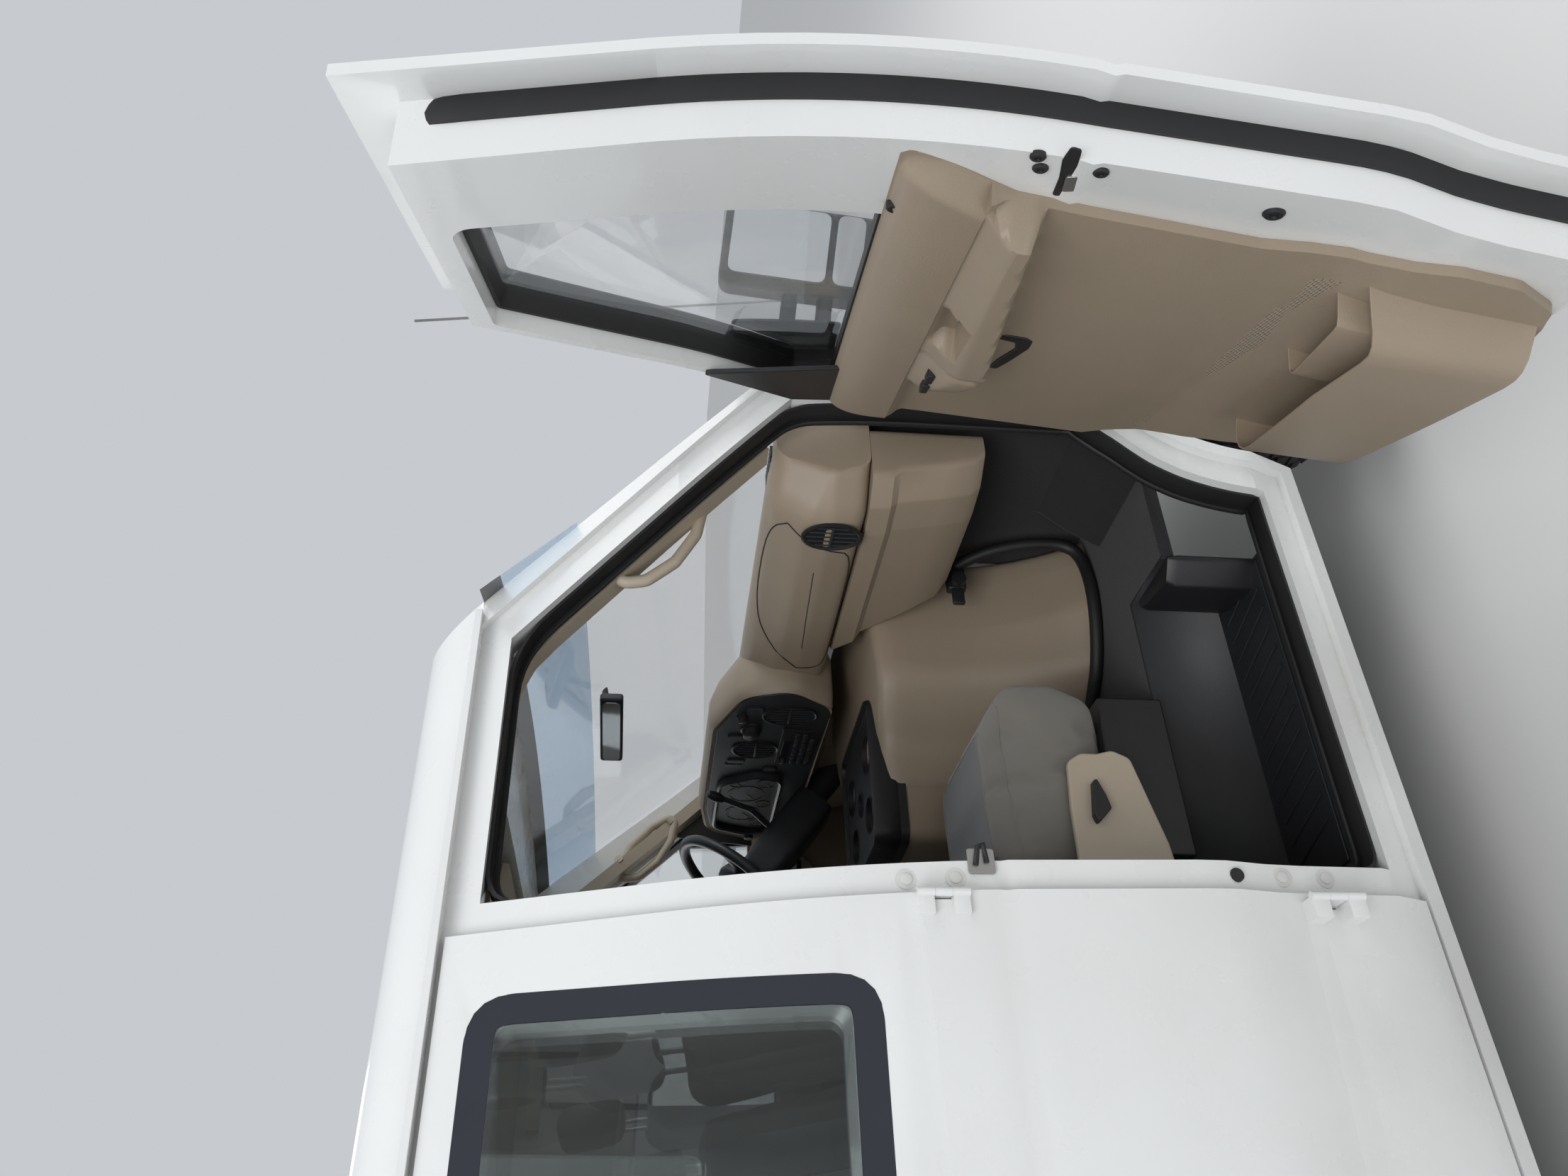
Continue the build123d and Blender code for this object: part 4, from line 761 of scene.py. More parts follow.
    def join(self, name: str, pieces: Sequence[Piece]) -> Piece:
        """Joins finished meshes into one object.

        Args:
            name: The joined piece's name.
            pieces: The objects; their modifiers are applied first.

        Returns:
            The joined object.
        """
        bm = bmesh.new()
        graph = bpy.context.evaluated_depsgraph_get()
        for piece in pieces:
            mesh = bpy.data.meshes.new_from_object(piece.evaluated_get(graph))
            bm.from_mesh(mesh)
            bpy.data.meshes.remove(mesh)
            bpy.data.objects.remove(piece)
        return self.meshed(name, bm)


@dataclass
class Side:
    """The body side's section: how far outboard the skin stands at each height."""

    half: float = 1.003
    rows: tuple = (
        # height, inset from the half width
        (0.300, 0.083), (0.410, 0.038), (0.560, 0.028), (0.625, 0.020), (0.700, 0.003), (0.750, 0.0),
        (1.100, 0.0),
    )
    arc: tuple = (1.100, 1.600, 0.065)
    drip: tuple = (1.951, 0.162)

    def y(self, z: float, depth: float = 0.0) -> float:
        """Gives the skin's distance from the centre plane at one height.

        Args:
            z: The height.
            depth: How far behind the skin.

        Returns:
            The distance, positive.
        """
        low, high, inset = self.arc
        if z >= high:
            top, reach = self.drip
            return self.half - depth - inset - (reach - inset) * (z - high) / (top - high)
        if z >= low:
            bend = ((high - low) ** 2 + inset**2) / (2 * inset)
            return self.half - depth - bend + math.sqrt(bend**2 - (z - low) ** 2)
        for (z0, in0), (z1, in1) in zip(self.rows, self.rows[1:]):
            if z <= z1:
                return self.half - depth - in0 - (in1 - in0) * (z - z0) / (z1 - z0)
        return self.half - depth


SIDE = Side()


# Shapes on the body side


def spaced(low: float, high: float, step: float, extra: Iterable[float] = ()) -> list[float]:
    """Even stations with some added ones, sorted.

    Args:
        low: The first station.
        high: The last station.
        step: The even step wanted.
        extra: Stations added where a form needs them.

    Returns:
        The stations.
    """
    count = max(1, round((high - low) / step))
    even = {round(low + (high - low) * i / count, 5) for i in range(count + 1)}
    return sorted(even | {round(v, 5) for v in extra if low < v < high})


def ease(value: float, low: float, high: float) -> float:
    """Smooth step from 0 at low to 1 at high."""
    t = min(1.0, max(0.0, (value - low) / (high - low)))
    return t * t * (3.0 - 2.0 * t)


def along_line(value: float, table: Sequence[Pair]) -> float:
    """Straight interpolation in a table of (position, value) rows in rising order."""
    if value <= table[0][0]:
        return table[0][1]
    for (x0, y0), (x1, y1) in zip(table, table[1:]):
        if value <= x1:
            return y0 + (y1 - y0) * (value - x0) / (x1 - x0)
    return table[-1][1]


@dataclass
class SidePanel:
    """Builds trim, bands and small parts that lie on one side of the van."""

    shop: Workshop
    side: int
    body: str
    place: Matrix | None = None

    def at(self, x: float, z: float, depth: float) -> Vector:
        """A point some depth behind the skin."""
        return Vector((x, self.side * SIDE.y(z, depth), z))

    def name(self, text: str) -> str:
        """The piece's name with its body in front."""
        return f"{self.body}_{text}"

    def relief(self, name: str, finish: Finish, xs: Sequence[float], zs: Sequence[float],
               depth: Callable[[float, float], float], span: Callable[[float], Pair], base: float,
               smooth: float = 40.0, replaces: Iterable[str] = ()) -> Piece:
        """A moulded panel given as a depth over (x, z), closed down to a base depth at its rim.

        Args:
            name: The piece's name.
            finish: Its finish.
            xs: Stations from 0 to 1 across the span.
            zs: Heights.
            depth: Depth of the surface at (x, z).
            span: Lowest and highest x at one height.
            base: Depth of the rim's foot.
            smooth: Edges sharper than this angle stay crisp, in degrees.
            replaces: CAD nodes that it stands for.

        Returns:
            The finished panel.
        """
        bm = bmesh.new()
        rows = []
        for z in zs:
            low, high = span(z)
            rows.append([bm.verts.new(self.at(low + (high - low) * t, z, depth(low + (high - low) * t, z)))
                         for t in xs])
        for upper, lower in zip(rows, rows[1:]):
            for a, b, c, d in zip(upper, upper[1:], lower[1:], lower):
                bm.faces.new((a, b, c, d))
        foot = []
        for index, row in enumerate(rows):
            kept = row if index in (0, len(rows) - 1) else (row[0], row[-1])
            foot.append([bm.verts.new(self.at(v.co.x, v.co.z, base)) for v in kept])
        for row, base_row in ((rows[0], foot[0]), (rows[-1], foot[-1])):
            for a, b, c, d in zip(row, row[1:], base_row[1:], base_row):
                bm.faces.new((a, b, c, d))
        for index in range(len(rows) - 1):
            one, two = foot[index], foot[index + 1]
            for end in (0, -1):
                bm.faces.new((rows[index][end], rows[index + 1][end], two[end], one[end]))
            bm.faces.new(list(one) + list(reversed(two)))
        piece = self.shop.from_bmesh(self.name(name), bm, self.place, smooth)
        return self.shop.finish(piece, self.body, finish, replaces)

    def band(self, name: str, finish: Finish, outline: Sequence[Point], shallow: float, deep: float,
             thick: float, closed: bool = True, bead: float = 0.0) -> Piece:
        """A strip that follows an (x, z) outline, standing across the wall.

        Args:
            name: The piece's name.
            finish: Its finish.
            outline: The (x, z) points it follows.
            shallow: Depth of its outer edge.
            deep: Depth of its inner edge.
            thick: Its thickness, towards the outline's inside.
            closed: Whether the outline is a loop.
            bead: How far its middle swells.

        Returns:
            The finished strip.
        """
        points = [Vector(p[:2]) for p in outline]
        count = len(points)
        area = sum(a.x * b.y - b.x * a.y for a, b in zip(points, points[1:] + points[:1]))
        inward = 1.0 if area > 0 else -1.0
        section = [(0.0, shallow), (0.0, deep)]
        for t in (0.0, 0.2, 0.5, 0.8, 1.0):
            section.append((thick + bead * math.sin(math.pi * t), deep + (shallow - deep) * t))
        rings = []
        for index, point in enumerate(points):
            before = points[index - 1] if closed or index else point
            after = points[(index + 1) % count] if closed or index < count - 1 else point
            way = (after - before).normalized()
            off = Vector((-way.y, way.x)) * inward
            rings.append([self.at(point.x + off.x * o, point.y + off.y * o, d) for o, d in section])
        piece = self.shop.loft(self.name(name), rings, 50.0, closed, self.place)
        return self.shop.finish(piece, self.body, finish)

    def plate(self, name: str, finish: Finish, outline: Sequence[Point], shallow: float, deep: float,
              radius: float = 0.0, bevel: float = 0.0015) -> Piece:
        """A plate with an (x, z) outline between two depths.

        Args:
            name: The piece's name.
            finish: Its finish.
            outline: The (x, z) corners.
            shallow: Its outer depth.
            deep: Its inner depth.
            radius: Radius of its corners.
            bevel: Softening of its edges.

        Returns:
            The finished plate.
        """
        loop = [self.at(p.x, p.y, shallow) for p in rounded([p[:2] for p in outline], radius)]
        piece = self.shop.slab(self.name(name), loop, (0.0, -self.side * (deep - shallow), 0.0))
        if self.place is not None:
            piece.data.transform(self.place)
        if bevel:
            self.shop.soften(piece, bevel)
        return self.shop.finish(piece, self.body, finish)

    def button(self, name: str, finish: Finish, x: float, z: float, shallow: float, deep: float,
               radius: float, dome: float = 0.002) -> Piece:
        """A round head on the wall, domed inboard.

        Args:
            name: The piece's name.
            finish: Its finish.
            x: Its middle.
            z: Its height.
            shallow: Its outer depth.
            deep: Its inner depth.
            radius: Its radius.
            dome: Height of its dome.

        Returns:
            The finished head.
        """
        profile = ((radius, shallow), (radius, deep - dome), (radius * 0.8, deep), (radius * 0.42, deep),
                   (radius * 0.36, deep - dome), (0.0, deep - dome))
        bm = bmesh.new()
        self.shop.spin(bm, [(r, -self.side * (d - shallow), 0.0) for r, d in profile], (0, 1, 0), 24)
        bmesh.ops.translate(bm, verts=bm.verts[:], vec=self.at(x, z, shallow))
        piece = self.shop.from_bmesh(self.name(name), bm, self.place, 40.0)
        return self.shop.finish(piece, self.body, finish)

    def tray(self, name: str, finish: Finish, plan: Sequence[tuple[float, float, float]], foot: float,
             wall: float, taper: float = 0.0) -> Piece:
        """An open pocket whose back is the panel.

        Args:
            name: The piece's name.
            finish: Its finish.
            plan: Rows of (x, depth, top height) along its wall.
            foot: Height of its floor.
            wall: Its wall's thickness.
            taper: How much shallower its foot is.

        Returns:
            The finished pocket.
        """
        flat = rounded([(x, d) for x, d, _ in plan], 0.0)
        middle = sum((p.x for p in flat), 0.0) / len(flat)
        back = min(p.y for p in flat)
        bm = bmesh.new()
        rows = []
        for index, (x, d, top) in enumerate(plan):
            before, after = flat[max(0, index - 1)], flat[min(len(flat) - 1, index + 1)]
            way = (after - before).normalized()
            off = Vector((way.y, -way.x)) * wall
            if off.y > 0 and abs(way.x) > abs(way.y):
                off = -off
            if abs(way.y) >= abs(way.x) and off.x * (middle - x) < 0:
                off = -off
            low = max(back, d - taper)
            rows.append([bm.verts.new(self.at(x, top, d)), bm.verts.new(self.at(x, foot, low)),
                         bm.verts.new(self.at(x + off.x, foot + wall, low + off.y)),
                         bm.verts.new(self.at(x + off.x, top, d + off.y))])
        for one, two in zip(rows, rows[1:]):
            for i in range(4):
                j = (i + 1) % 4
                bm.faces.new((one[i], one[j], two[j], two[i]))
        for index in (1, 2):
            bm.faces.new([row[index] for row in rows])
        for row in (rows[0], rows[-1]):
            bm.faces.new(row)
        piece = self.shop.from_bmesh(self.name(name), bm, self.place, 35.0)
        self.shop.soften(piece, 0.0012, 2)
        return self.shop.finish(piece, self.body, finish)


@dataclass
class DoorLines:
    """Outlines of the front door and its opening, as the CAD has them."""

    seam: tuple = (0.330, 1.065, -0.030, 0.886, 0.012, 0.765)
    front: float = 1.425
    bottom: float = 0.345
    top: float = 1.942
    pillar: float = 2.818
    arch: tuple = (1.7525, 0.3865, 0.492)
    rear_gap: float = 0.009

    def seam_x(self, z: float) -> float:
        """The seam behind the door at one height."""
        x, crease, up, rise, down, fall = self.seam
        if z > crease:
            return x + up * (z - crease) / rise
        return x + down * (crease - z) / fall

    def outline(self, grow: float) -> list[Pair]:
        """The door's (x, z) outline, grown or shrunk, with round corners.

        Args:
            grow: Margin added all round.

        Returns:
            The outline from the rear foot round by the front.
        """
        arch_x, arch_z, radius = self.arch
        radius -= grow
        front, bottom, top = self.front + grow, self.bottom - grow, self.top + grow
        pillar, rear = self.pillar + grow * math.sqrt(2.0), self.rear_gap - grow
        start = math.pi - math.asin((bottom - arch_z) / radius)
        end = math.acos((front - arch_x) / radius)
        points = [(self.seam_x(bottom) + rear, bottom)]
        for step in range(13):
            angle = start + (end - start) * step / 12
            points.append((arch_x + radius * math.cos(angle), arch_z + radius * math.sin(angle)))
        points += [(front, pillar - front), (pillar - top, top), (self.seam_x(top) + rear, top)]
        crease = self.seam[1]
        points.append((self.seam_x(crease) + rear, crease))
        reaches = {0: 0.05, len(points) - 4: 0.05, len(points) - 3: 0.09, len(points) - 2: 0.07}
        share = 0.45
        result: list[Pair] = []
        for index, point in enumerate(points):
            if index in reaches:
                here, before = Vector(point), Vector(points[index - 1])
                after = Vector(points[(index + 1) % len(points)])
                reach = min(reaches[index], (before - here).length * share, (after - here).length * share)
                result += [(p.x, p.y) for p in bend(before, here, after, reach, 6)]
            else:
                result.append(point)
        return result

    def window(self, grow: float) -> list[Pair]:
        """The door's window outline, grown by some margin."""
        lean = 0.4 * grow
        corners = [
            (0.580 - grow, 1.285 - grow), (1.330 + grow, 1.285 - grow), (1.330 + grow, 1.382 + lean),
            (0.860 + lean, 1.852 + grow), (0.540 - grow, 1.852 + grow),
        ]
        return soft(corners, 0.026)

    @staticmethod
    def stepped(outline: Sequence[Point], step: float = 0.03) -> list[Pair]:
        """The same outline with more points, so that it follows the side's curve."""
        result = []
        for index, point in enumerate(outline):
            start, end = Vector(point[:2]), Vector(outline[(index + 1) % len(outline)][:2])
            parts = max(1, math.ceil((end - start).length / step))
            for part in range(parts):
                here = start.lerp(end, part / parts)
                result.append((here.x, here.y))
        return result


DOOR = DoorLines()


@dataclass
class FrontDoor:
    """A front door's trim, seal, latch, handle, glass run and mirror, drawn shut."""

    shop: Workshop
    side: int
    rest_angle: float = 0.0
    rear_x: float = 0.410
    front_x: float = 1.352
    foot_z: float = 0.398
    rim_z: float = 1.306
    arch_gap: float = 0.075
    shell_depth: float = 0.0922
    panel_depth: float = 0.107
    slope_depth: float = 0.127
    belt_depth: float = 0.073
    roll: float = 0.057
    roll_power: float = 2.6
    crease_z: float = 1.183
    belt_z: float = 1.304
    armrest: tuple[float, float, float] = (0.490, 0.985, 1.165)
    armrest_depth: float = 0.172
    recess: tuple[float, float, float, float] = (1.003, 1.018, 0.116, 0.048)
    recess_lean: float = 0.5
    pull: tuple[float, float, float, float] = (0.790, 0.925, 1.131, 1.176)

    def place(self) -> Matrix | None:
        """The turn from shut to the photo's rest, about the CAD's own joint axis."""
        if not self.rest_angle:
            return None
        joint = next(j for j in self.shop.frame["joints"] if j["name"] == "right_front_door_swing")
        pivot = Matrix.Translation(joint["pos_m"])
        turn = Matrix.Rotation(math.radians(self.rest_angle), 4, Vector(joint["axis"]))
        return pivot @ turn @ pivot.inverted()

    def build(self) -> None:
        """Builds every piece of the door."""
        word = "left" if self.side > 0 else "right"
        panel = SidePanel(self.shop, self.side, f"{word}_front_door", self.place())
        self.trim(panel, word)
        self.insert(panel)
        self.pocket(panel)
        self.handles(panel)
        self.rubber(panel)
        self.latch(panel)
        self.mirror(panel)

    def span(self, z: float) -> Pair:
        """Rear and front edge of the trim at one height."""
        rear = along_line(z, ((0.398, 0.600), (0.406, 0.560), (0.425, 0.513), (0.495, 0.474), (0.570, 0.472),
                              (0.681, 0.505), (0.813, 0.521), (0.955, 0.509), (1.052, 0.501), (1.148, 0.488),
                              (1.240, 0.436), (1.294, 0.412), (1.306, 0.420)))
        arch_x, arch_z, radius = DOOR.arch
        radius += self.arch_gap
        front = self.front_x
        if z < arch_z + radius - 0.02:
            front = min(front, arch_x - math.sqrt(max(0.0, radius**2 - (z - arch_z) ** 2)))
        return rear, front

    def depth(self, x: float, z: float) -> float:
        """Depth of the trim's surface behind the door's skin."""
        rear, front = self.span(z)
        edge = min(x - rear, front - x)
        value = self.panel_depth - 0.006 * ease(edge, 0.030, 0.060) * ease(1.06 - z, 0.0, 0.05)
        value = self.around_recess(x, z, value)
        if z >= self.crease_z:
            t = min(1.0, (z - self.crease_z) / (self.belt_z - self.crease_z))
            value = self.belt_depth + self.roll * (1.0 - t**self.roll_power) ** (1 / self.roll_power)
            value -= 0.035 * (1.0 - ease(x - rear, 0.0, 0.035))
        else:
            value = max(value, self.panel_depth + 0.020 * ease(z, self.crease_z - 0.030, self.crease_z))
            value = max(value, self.on_armrest(x, z))
        return max(self.shell_depth + 0.0005, value)

    def around_recess(self, x: float, z: float, value: float) -> float:
        """Sinks the hand recess into the panel and raises its rim."""
        cx, cz, half_x, half_z = self.recess
        corner = 0.040
        dx = max(0.0, abs(x - cx - self.recess_lean * (z - cz)) - half_x + corner)
        dz = max(0.0, abs(z - cz) - half_z + corner)
        inside = corner - math.hypot(dx, dz)
        value += 0.004 * ease(inside, -0.012, -0.004) * (1.0 - ease(inside, -0.002, 0.003))
        return value + (self.shell_depth + 0.001 - value) * ease(inside, 0.0, 0.010)

    def on_armrest(self, x: float, z: float) -> float:
        """Depth of the armrest and switch pod, or 0 beside them."""
        rear, joint, front = self.armrest
        if not rear <= x <= front:
            return 0.0
        foot = along_line(x, ((rear, 1.105), (0.700, 1.085), (joint, 1.052), (1.095, 1.092), (front, 1.160)))
        brow = along_line(x, ((rear, 1.150), (0.742, 1.138), (joint, 1.120), (front, 1.168)))
        if z < foot:
            return 0.0
        reach = self.armrest_depth - 0.034 * ease(x, joint, front) ** 1.5
        face = reach - 0.006 * (1.0 - ease(z, foot, foot + 0.02))
        top = reach + (self.slope_depth - reach) * ease(z, brow - 0.012, self.crease_z)
        value = min(face, top)
        for blend in (ease(z, foot, foot + 0.016), ease(x, rear, rear + 0.006), ease(front - x, 0.0, 0.05)):
            value = self.panel_depth + (value - self.panel_depth) * blend
        value -= 0.006 * math.exp(-(((x - joint) / 0.0022) ** 2))
        x0, x1, z0, z1 = self.pull
        hole = min(ease(x, x0, x0 + 0.006), ease(x1 - x, 0.0, 0.006), ease(z, z0, z0 + 0.006))
        return value + (self.panel_depth - 0.004 - value) * hole if z < z1 + 0.004 else value

    def trim(self, panel: SidePanel, word: str) -> None:
        """The moulded inner panel with its armrest."""
        rear, joint = self.armrest[:2]
        x0, x1, z0 = self.pull[:3]
        xs = spaced(self.rear_x, self.front_x, 0.009, [
            *(rear + d for d in (0.0, 0.002, 0.004, 0.006)),
            *(joint + d for d in (-0.004, -0.002, 0.0, 0.002, 0.004)),
            *(x0 + d for d in (0.0, 0.003, 0.006)), *(x1 - d for d in (0.0, 0.003, 0.006))])
        ts = [(x - self.rear_x) / (self.front_x - self.rear_x) for x in xs]
        zs = spaced(self.foot_z, self.rim_z, 0.0085, [
            self.crease_z - 0.002, self.crease_z, self.crease_z + 0.003, 1.290, 1.296, 1.300, 1.303,
            z0, z0 + 0.003, z0 + 0.006, 0.400])
        panel.relief("trim_panel", BEIGE, ts, zs, self.depth, self.span, self.shell_depth, 50.0,
                     [f"{word}_front_door_trim"])

    def insert(self, panel: SidePanel) -> None:
        """The ribbed insert behind the pocket, with a bead round it."""
        corners = [(0.500, 0.470), (0.524, 0.570), (0.556, 0.690), (0.590, 0.744), (0.617, 0.790),
                   (1.320, 0.783), (1.242, 0.680), (1.190, 0.560), (1.168, 0.470)]
        panel.plate("mesh_insert", MESH_VINYL, corners, 0.1005, 0.1045, 0.03, 0.001)
        ring = DoorLines.stepped(soft(corners, 0.03), 0.02)
        panel.band("mesh_bead", BEIGE, ring, 0.1005, 0.1062, 0.003)

    def pocket(self, panel: SidePanel) -> None:
        """The map pocket with its wrapped wall, and the cup box in it."""
        wall = [(0.552, 0.1030, 0.650), (0.560, 0.134, 0.642), (0.570, 0.160, 0.633), (0.582, 0.174, 0.627),
                (0.597, 0.181, 0.623), (0.620, 0.184, 0.622), (0.752, 0.186, 0.620), (0.850, 0.186, 0.611),
                (0.956, 0.185, 0.601), (1.020, 0.182, 0.593), (1.050, 0.177, 0.590), (1.072, 0.166, 0.588),
                (1.088, 0.146, 0.588), (1.093, 0.1030, 0.588)]
        panel.tray("map_pocket", BEIGE, wall, 0.416, 0.004, 0.012)
        box = [(0.592, 0.1030, 0.672), (0.596, 0.140, 0.668), (0.602, 0.150, 0.666), (0.614, 0.153, 0.665),
               (0.690, 0.153, 0.655), (0.758, 0.153, 0.646), (0.772, 0.151, 0.645), (0.780, 0.143, 0.645),
               (0.784, 0.1030, 0.648)]
        panel.tray("cup_box", BEIGE, box, 0.440, 0.003)

    def handles(self, panel: SidePanel) -> None:
        """Inside lever, switches, lock knob, and the outside handle with its lock."""
        lever = [(1.066, 1.046), (1.066, 1.030), (1.026, 1.018), (0.956, 1.002), (0.928, 1.004),
                 (0.916, 1.018), (0.914, 1.060), (0.932, 1.064), (0.940, 1.030), (0.966, 1.024),
                 (1.026, 1.040)]
        panel.plate("lever", BLACK_TRIM, lever, 0.097, 0.110, 0.006, 0.003)
        panel.plate("lever_seat", BLACK_TRIM, oblong(0.946, 0.994, 1.078, 1.050),
                    0.0925, 0.0955, 0.02, 0.001)
        for index, x in enumerate((1.035, 1.085)):
            rocker = oblong(x - 0.019, 1.143, x + 0.019, 1.157)
            panel.plate(f"switch_{index}", BLACK_TRIM, rocker, 0.140, 0.158, 0.004, 0.002)
        panel.button("lock_knob_foot", BLACK_TRIM, 0.543, 1.294, 0.086, 0.104, 0.011)
        low, high = panel.at(0.543, 1.290, 0.080), panel.at(0.543, 1.342, 0.076)
        knob = self.shop.tube(panel.name("lock_knob"), [low, low.lerp(high, 0.55), high], 0.0045)
        head = self.shop.tube(panel.name("lock_knob_head"), [low.lerp(high, 0.6), high], 0.0072)
        knob = self.shop.join(panel.name("lock_knob"), [knob, head])
        if panel.place is not None:
            knob.data.transform(panel.place)
        self.shop.finish(knob, panel.body, BLACK_TRIM)
        frame, grip = oblong(0.405, 0.985, 0.575, 1.055), oblong(0.420, 1.008, 0.560, 1.046)
        panel.plate("outer_handle_frame", BLACK_TRIM, frame, -0.004, 0.0005, 0.012, 0.002)
        panel.plate("outer_handle", BLACK_TRIM, grip, -0.0095, -0.004, 0.012, 0.002)
        panel.button("lock_cylinder", CHROME, 0.490, 0.962, -0.003, 0.0005, 0.011, 0.0002)

    def rubber(self, panel: SidePanel) -> None:
        """The door's seal round its box, the glass run and the belt strip."""
        ring = DoorLines.stepped(DOOR.outline(-0.0595))
        panel.band("seal", RUBBER, ring[::-1], 0.0142, 0.046, -0.005, True, -0.0025)
        glass = DoorLines.stepped(DOOR.window(-0.0005))
        panel.band("glass_run", RUBBER, glass, 0.0005, 0.064, 0.006, True, 0.002)
        panel.plate("belt_strip", RUBBER, oblong(0.560, 1.292, 1.330, 1.306), 0.0365, 0.070, 0.003)
        panel.plate("outer_belt_strip", RUBBER, oblong(0.545, 1.272, 1.345, 1.290), -0.003, 0.004, 0.003)

    def latch(self, panel: SidePanel) -> None:
        """The latch's mouth, its screws and the rubber plug on the painted jamb."""
        mouth = [(0.489, 1.102), (0.482, 1.078), (0.456, 1.076), (0.414, 1.092), (0.378, 1.098),
                 (0.374, 1.112), (0.404, 1.114), (0.444, 1.106)]
        panel.plate("latch_mouth", RUBBER, mouth, 0.0905, 0.0932, 0.006, 0.0008)
        hook = [(0.432, 1.086), (0.467, 1.080), (0.472, 1.094), (0.437, 1.099)]
        panel.plate("latch_hook", STEEL, hook, 0.0925, 0.0955, 0.003, 0.0008)
        for index, (x, z) in enumerate(((0.427, 1.134), (0.402, 1.144), (0.418, 1.062))):
            panel.button(f"latch_screw_{index}", BLACK_TRIM, x, z, 0.090, 0.0965, 0.010, 0.002)
        panel.button("rubber_plug", RUBBER, 0.456, 0.829, 0.090, 0.0965, 0.014, 0.003)

    def mirror(self, panel: SidePanel) -> None:
        """Inner sail cover and the two mirror glasses."""
        sail = [(1.168, 1.288), (1.352, 1.288), (1.352, 1.372), (1.176, 1.548)]
        panel.plate("sail_cover", BLACK_TRIM, sail, 0.0925, 0.101, 0.010, 0.003)
        rear, y0, y1 = 1.2805, 1.101, 1.246
        for name, z0, z1 in (("main", 1.337, 1.528), ("spot", 1.268, 1.323)):
            loop = rounded(oblong(y0, z0, y1, z1), 0.018)
            corners = [(rear, self.side * p.x, p.y) for p in loop]
            glass = self.shop.slab(panel.name(f"mirror_glass_{name}"), corners, (-0.0012, 0.0, 0.0))
            if panel.place is not None:
                glass.data.transform(panel.place)
            self.shop.finish(glass, panel.body, MIRROR)


# Trim, cab and running gear


def grown(points: Sequence[Point], amount: float) -> list[Pair]:
    """Offsets a closed plane outline outward.

    Args:
        points: The outline.
        amount: The offset; negative shrinks it.

    Returns:
        The new outline, with as many points.
    """
    flat = [Vector(p[:2]) for p in points]
    area = sum(a.x * b.y - b.x * a.y for a, b in zip(flat, flat[1:] + flat[:1]))
    turn = amount if area > 0 else -amount
    result = []
    for index, here in enumerate(flat):
        way = (flat[(index + 1) % len(flat)] - flat[index - 1]).normalized()
        result.append((here.x + way.y * turn, here.y - way.x * turn))
    return result


def oval(a: float, b: float, half_a: float, half_b: float, steps: int = 40) -> list[Pair]:
    """An ellipse's points about (a, b)."""
    turns = (math.tau * i / steps for i in range(steps))
    return [(a + half_a * math.cos(t), b + half_b * math.sin(t)) for t in turns]


def pane(x0: float, x1: float, z0: float, z1: float, radius: float) -> list[Pair]:
    """A rectangle with round corners and evenly stepped sides."""
    corners = rounded(oblong(x0, z0, x1, z1), radius)
    count = len(corners)
    result = []
    for index, here in enumerate(corners):
        after = corners[(index + 1) % count]
        parts = 12 if (index + 1) % (count // 4) == 0 else 1
        for part in range(parts):
            spot = here.lerp(after, part / parts)
            result.append((spot.x, spot.y))
    return result


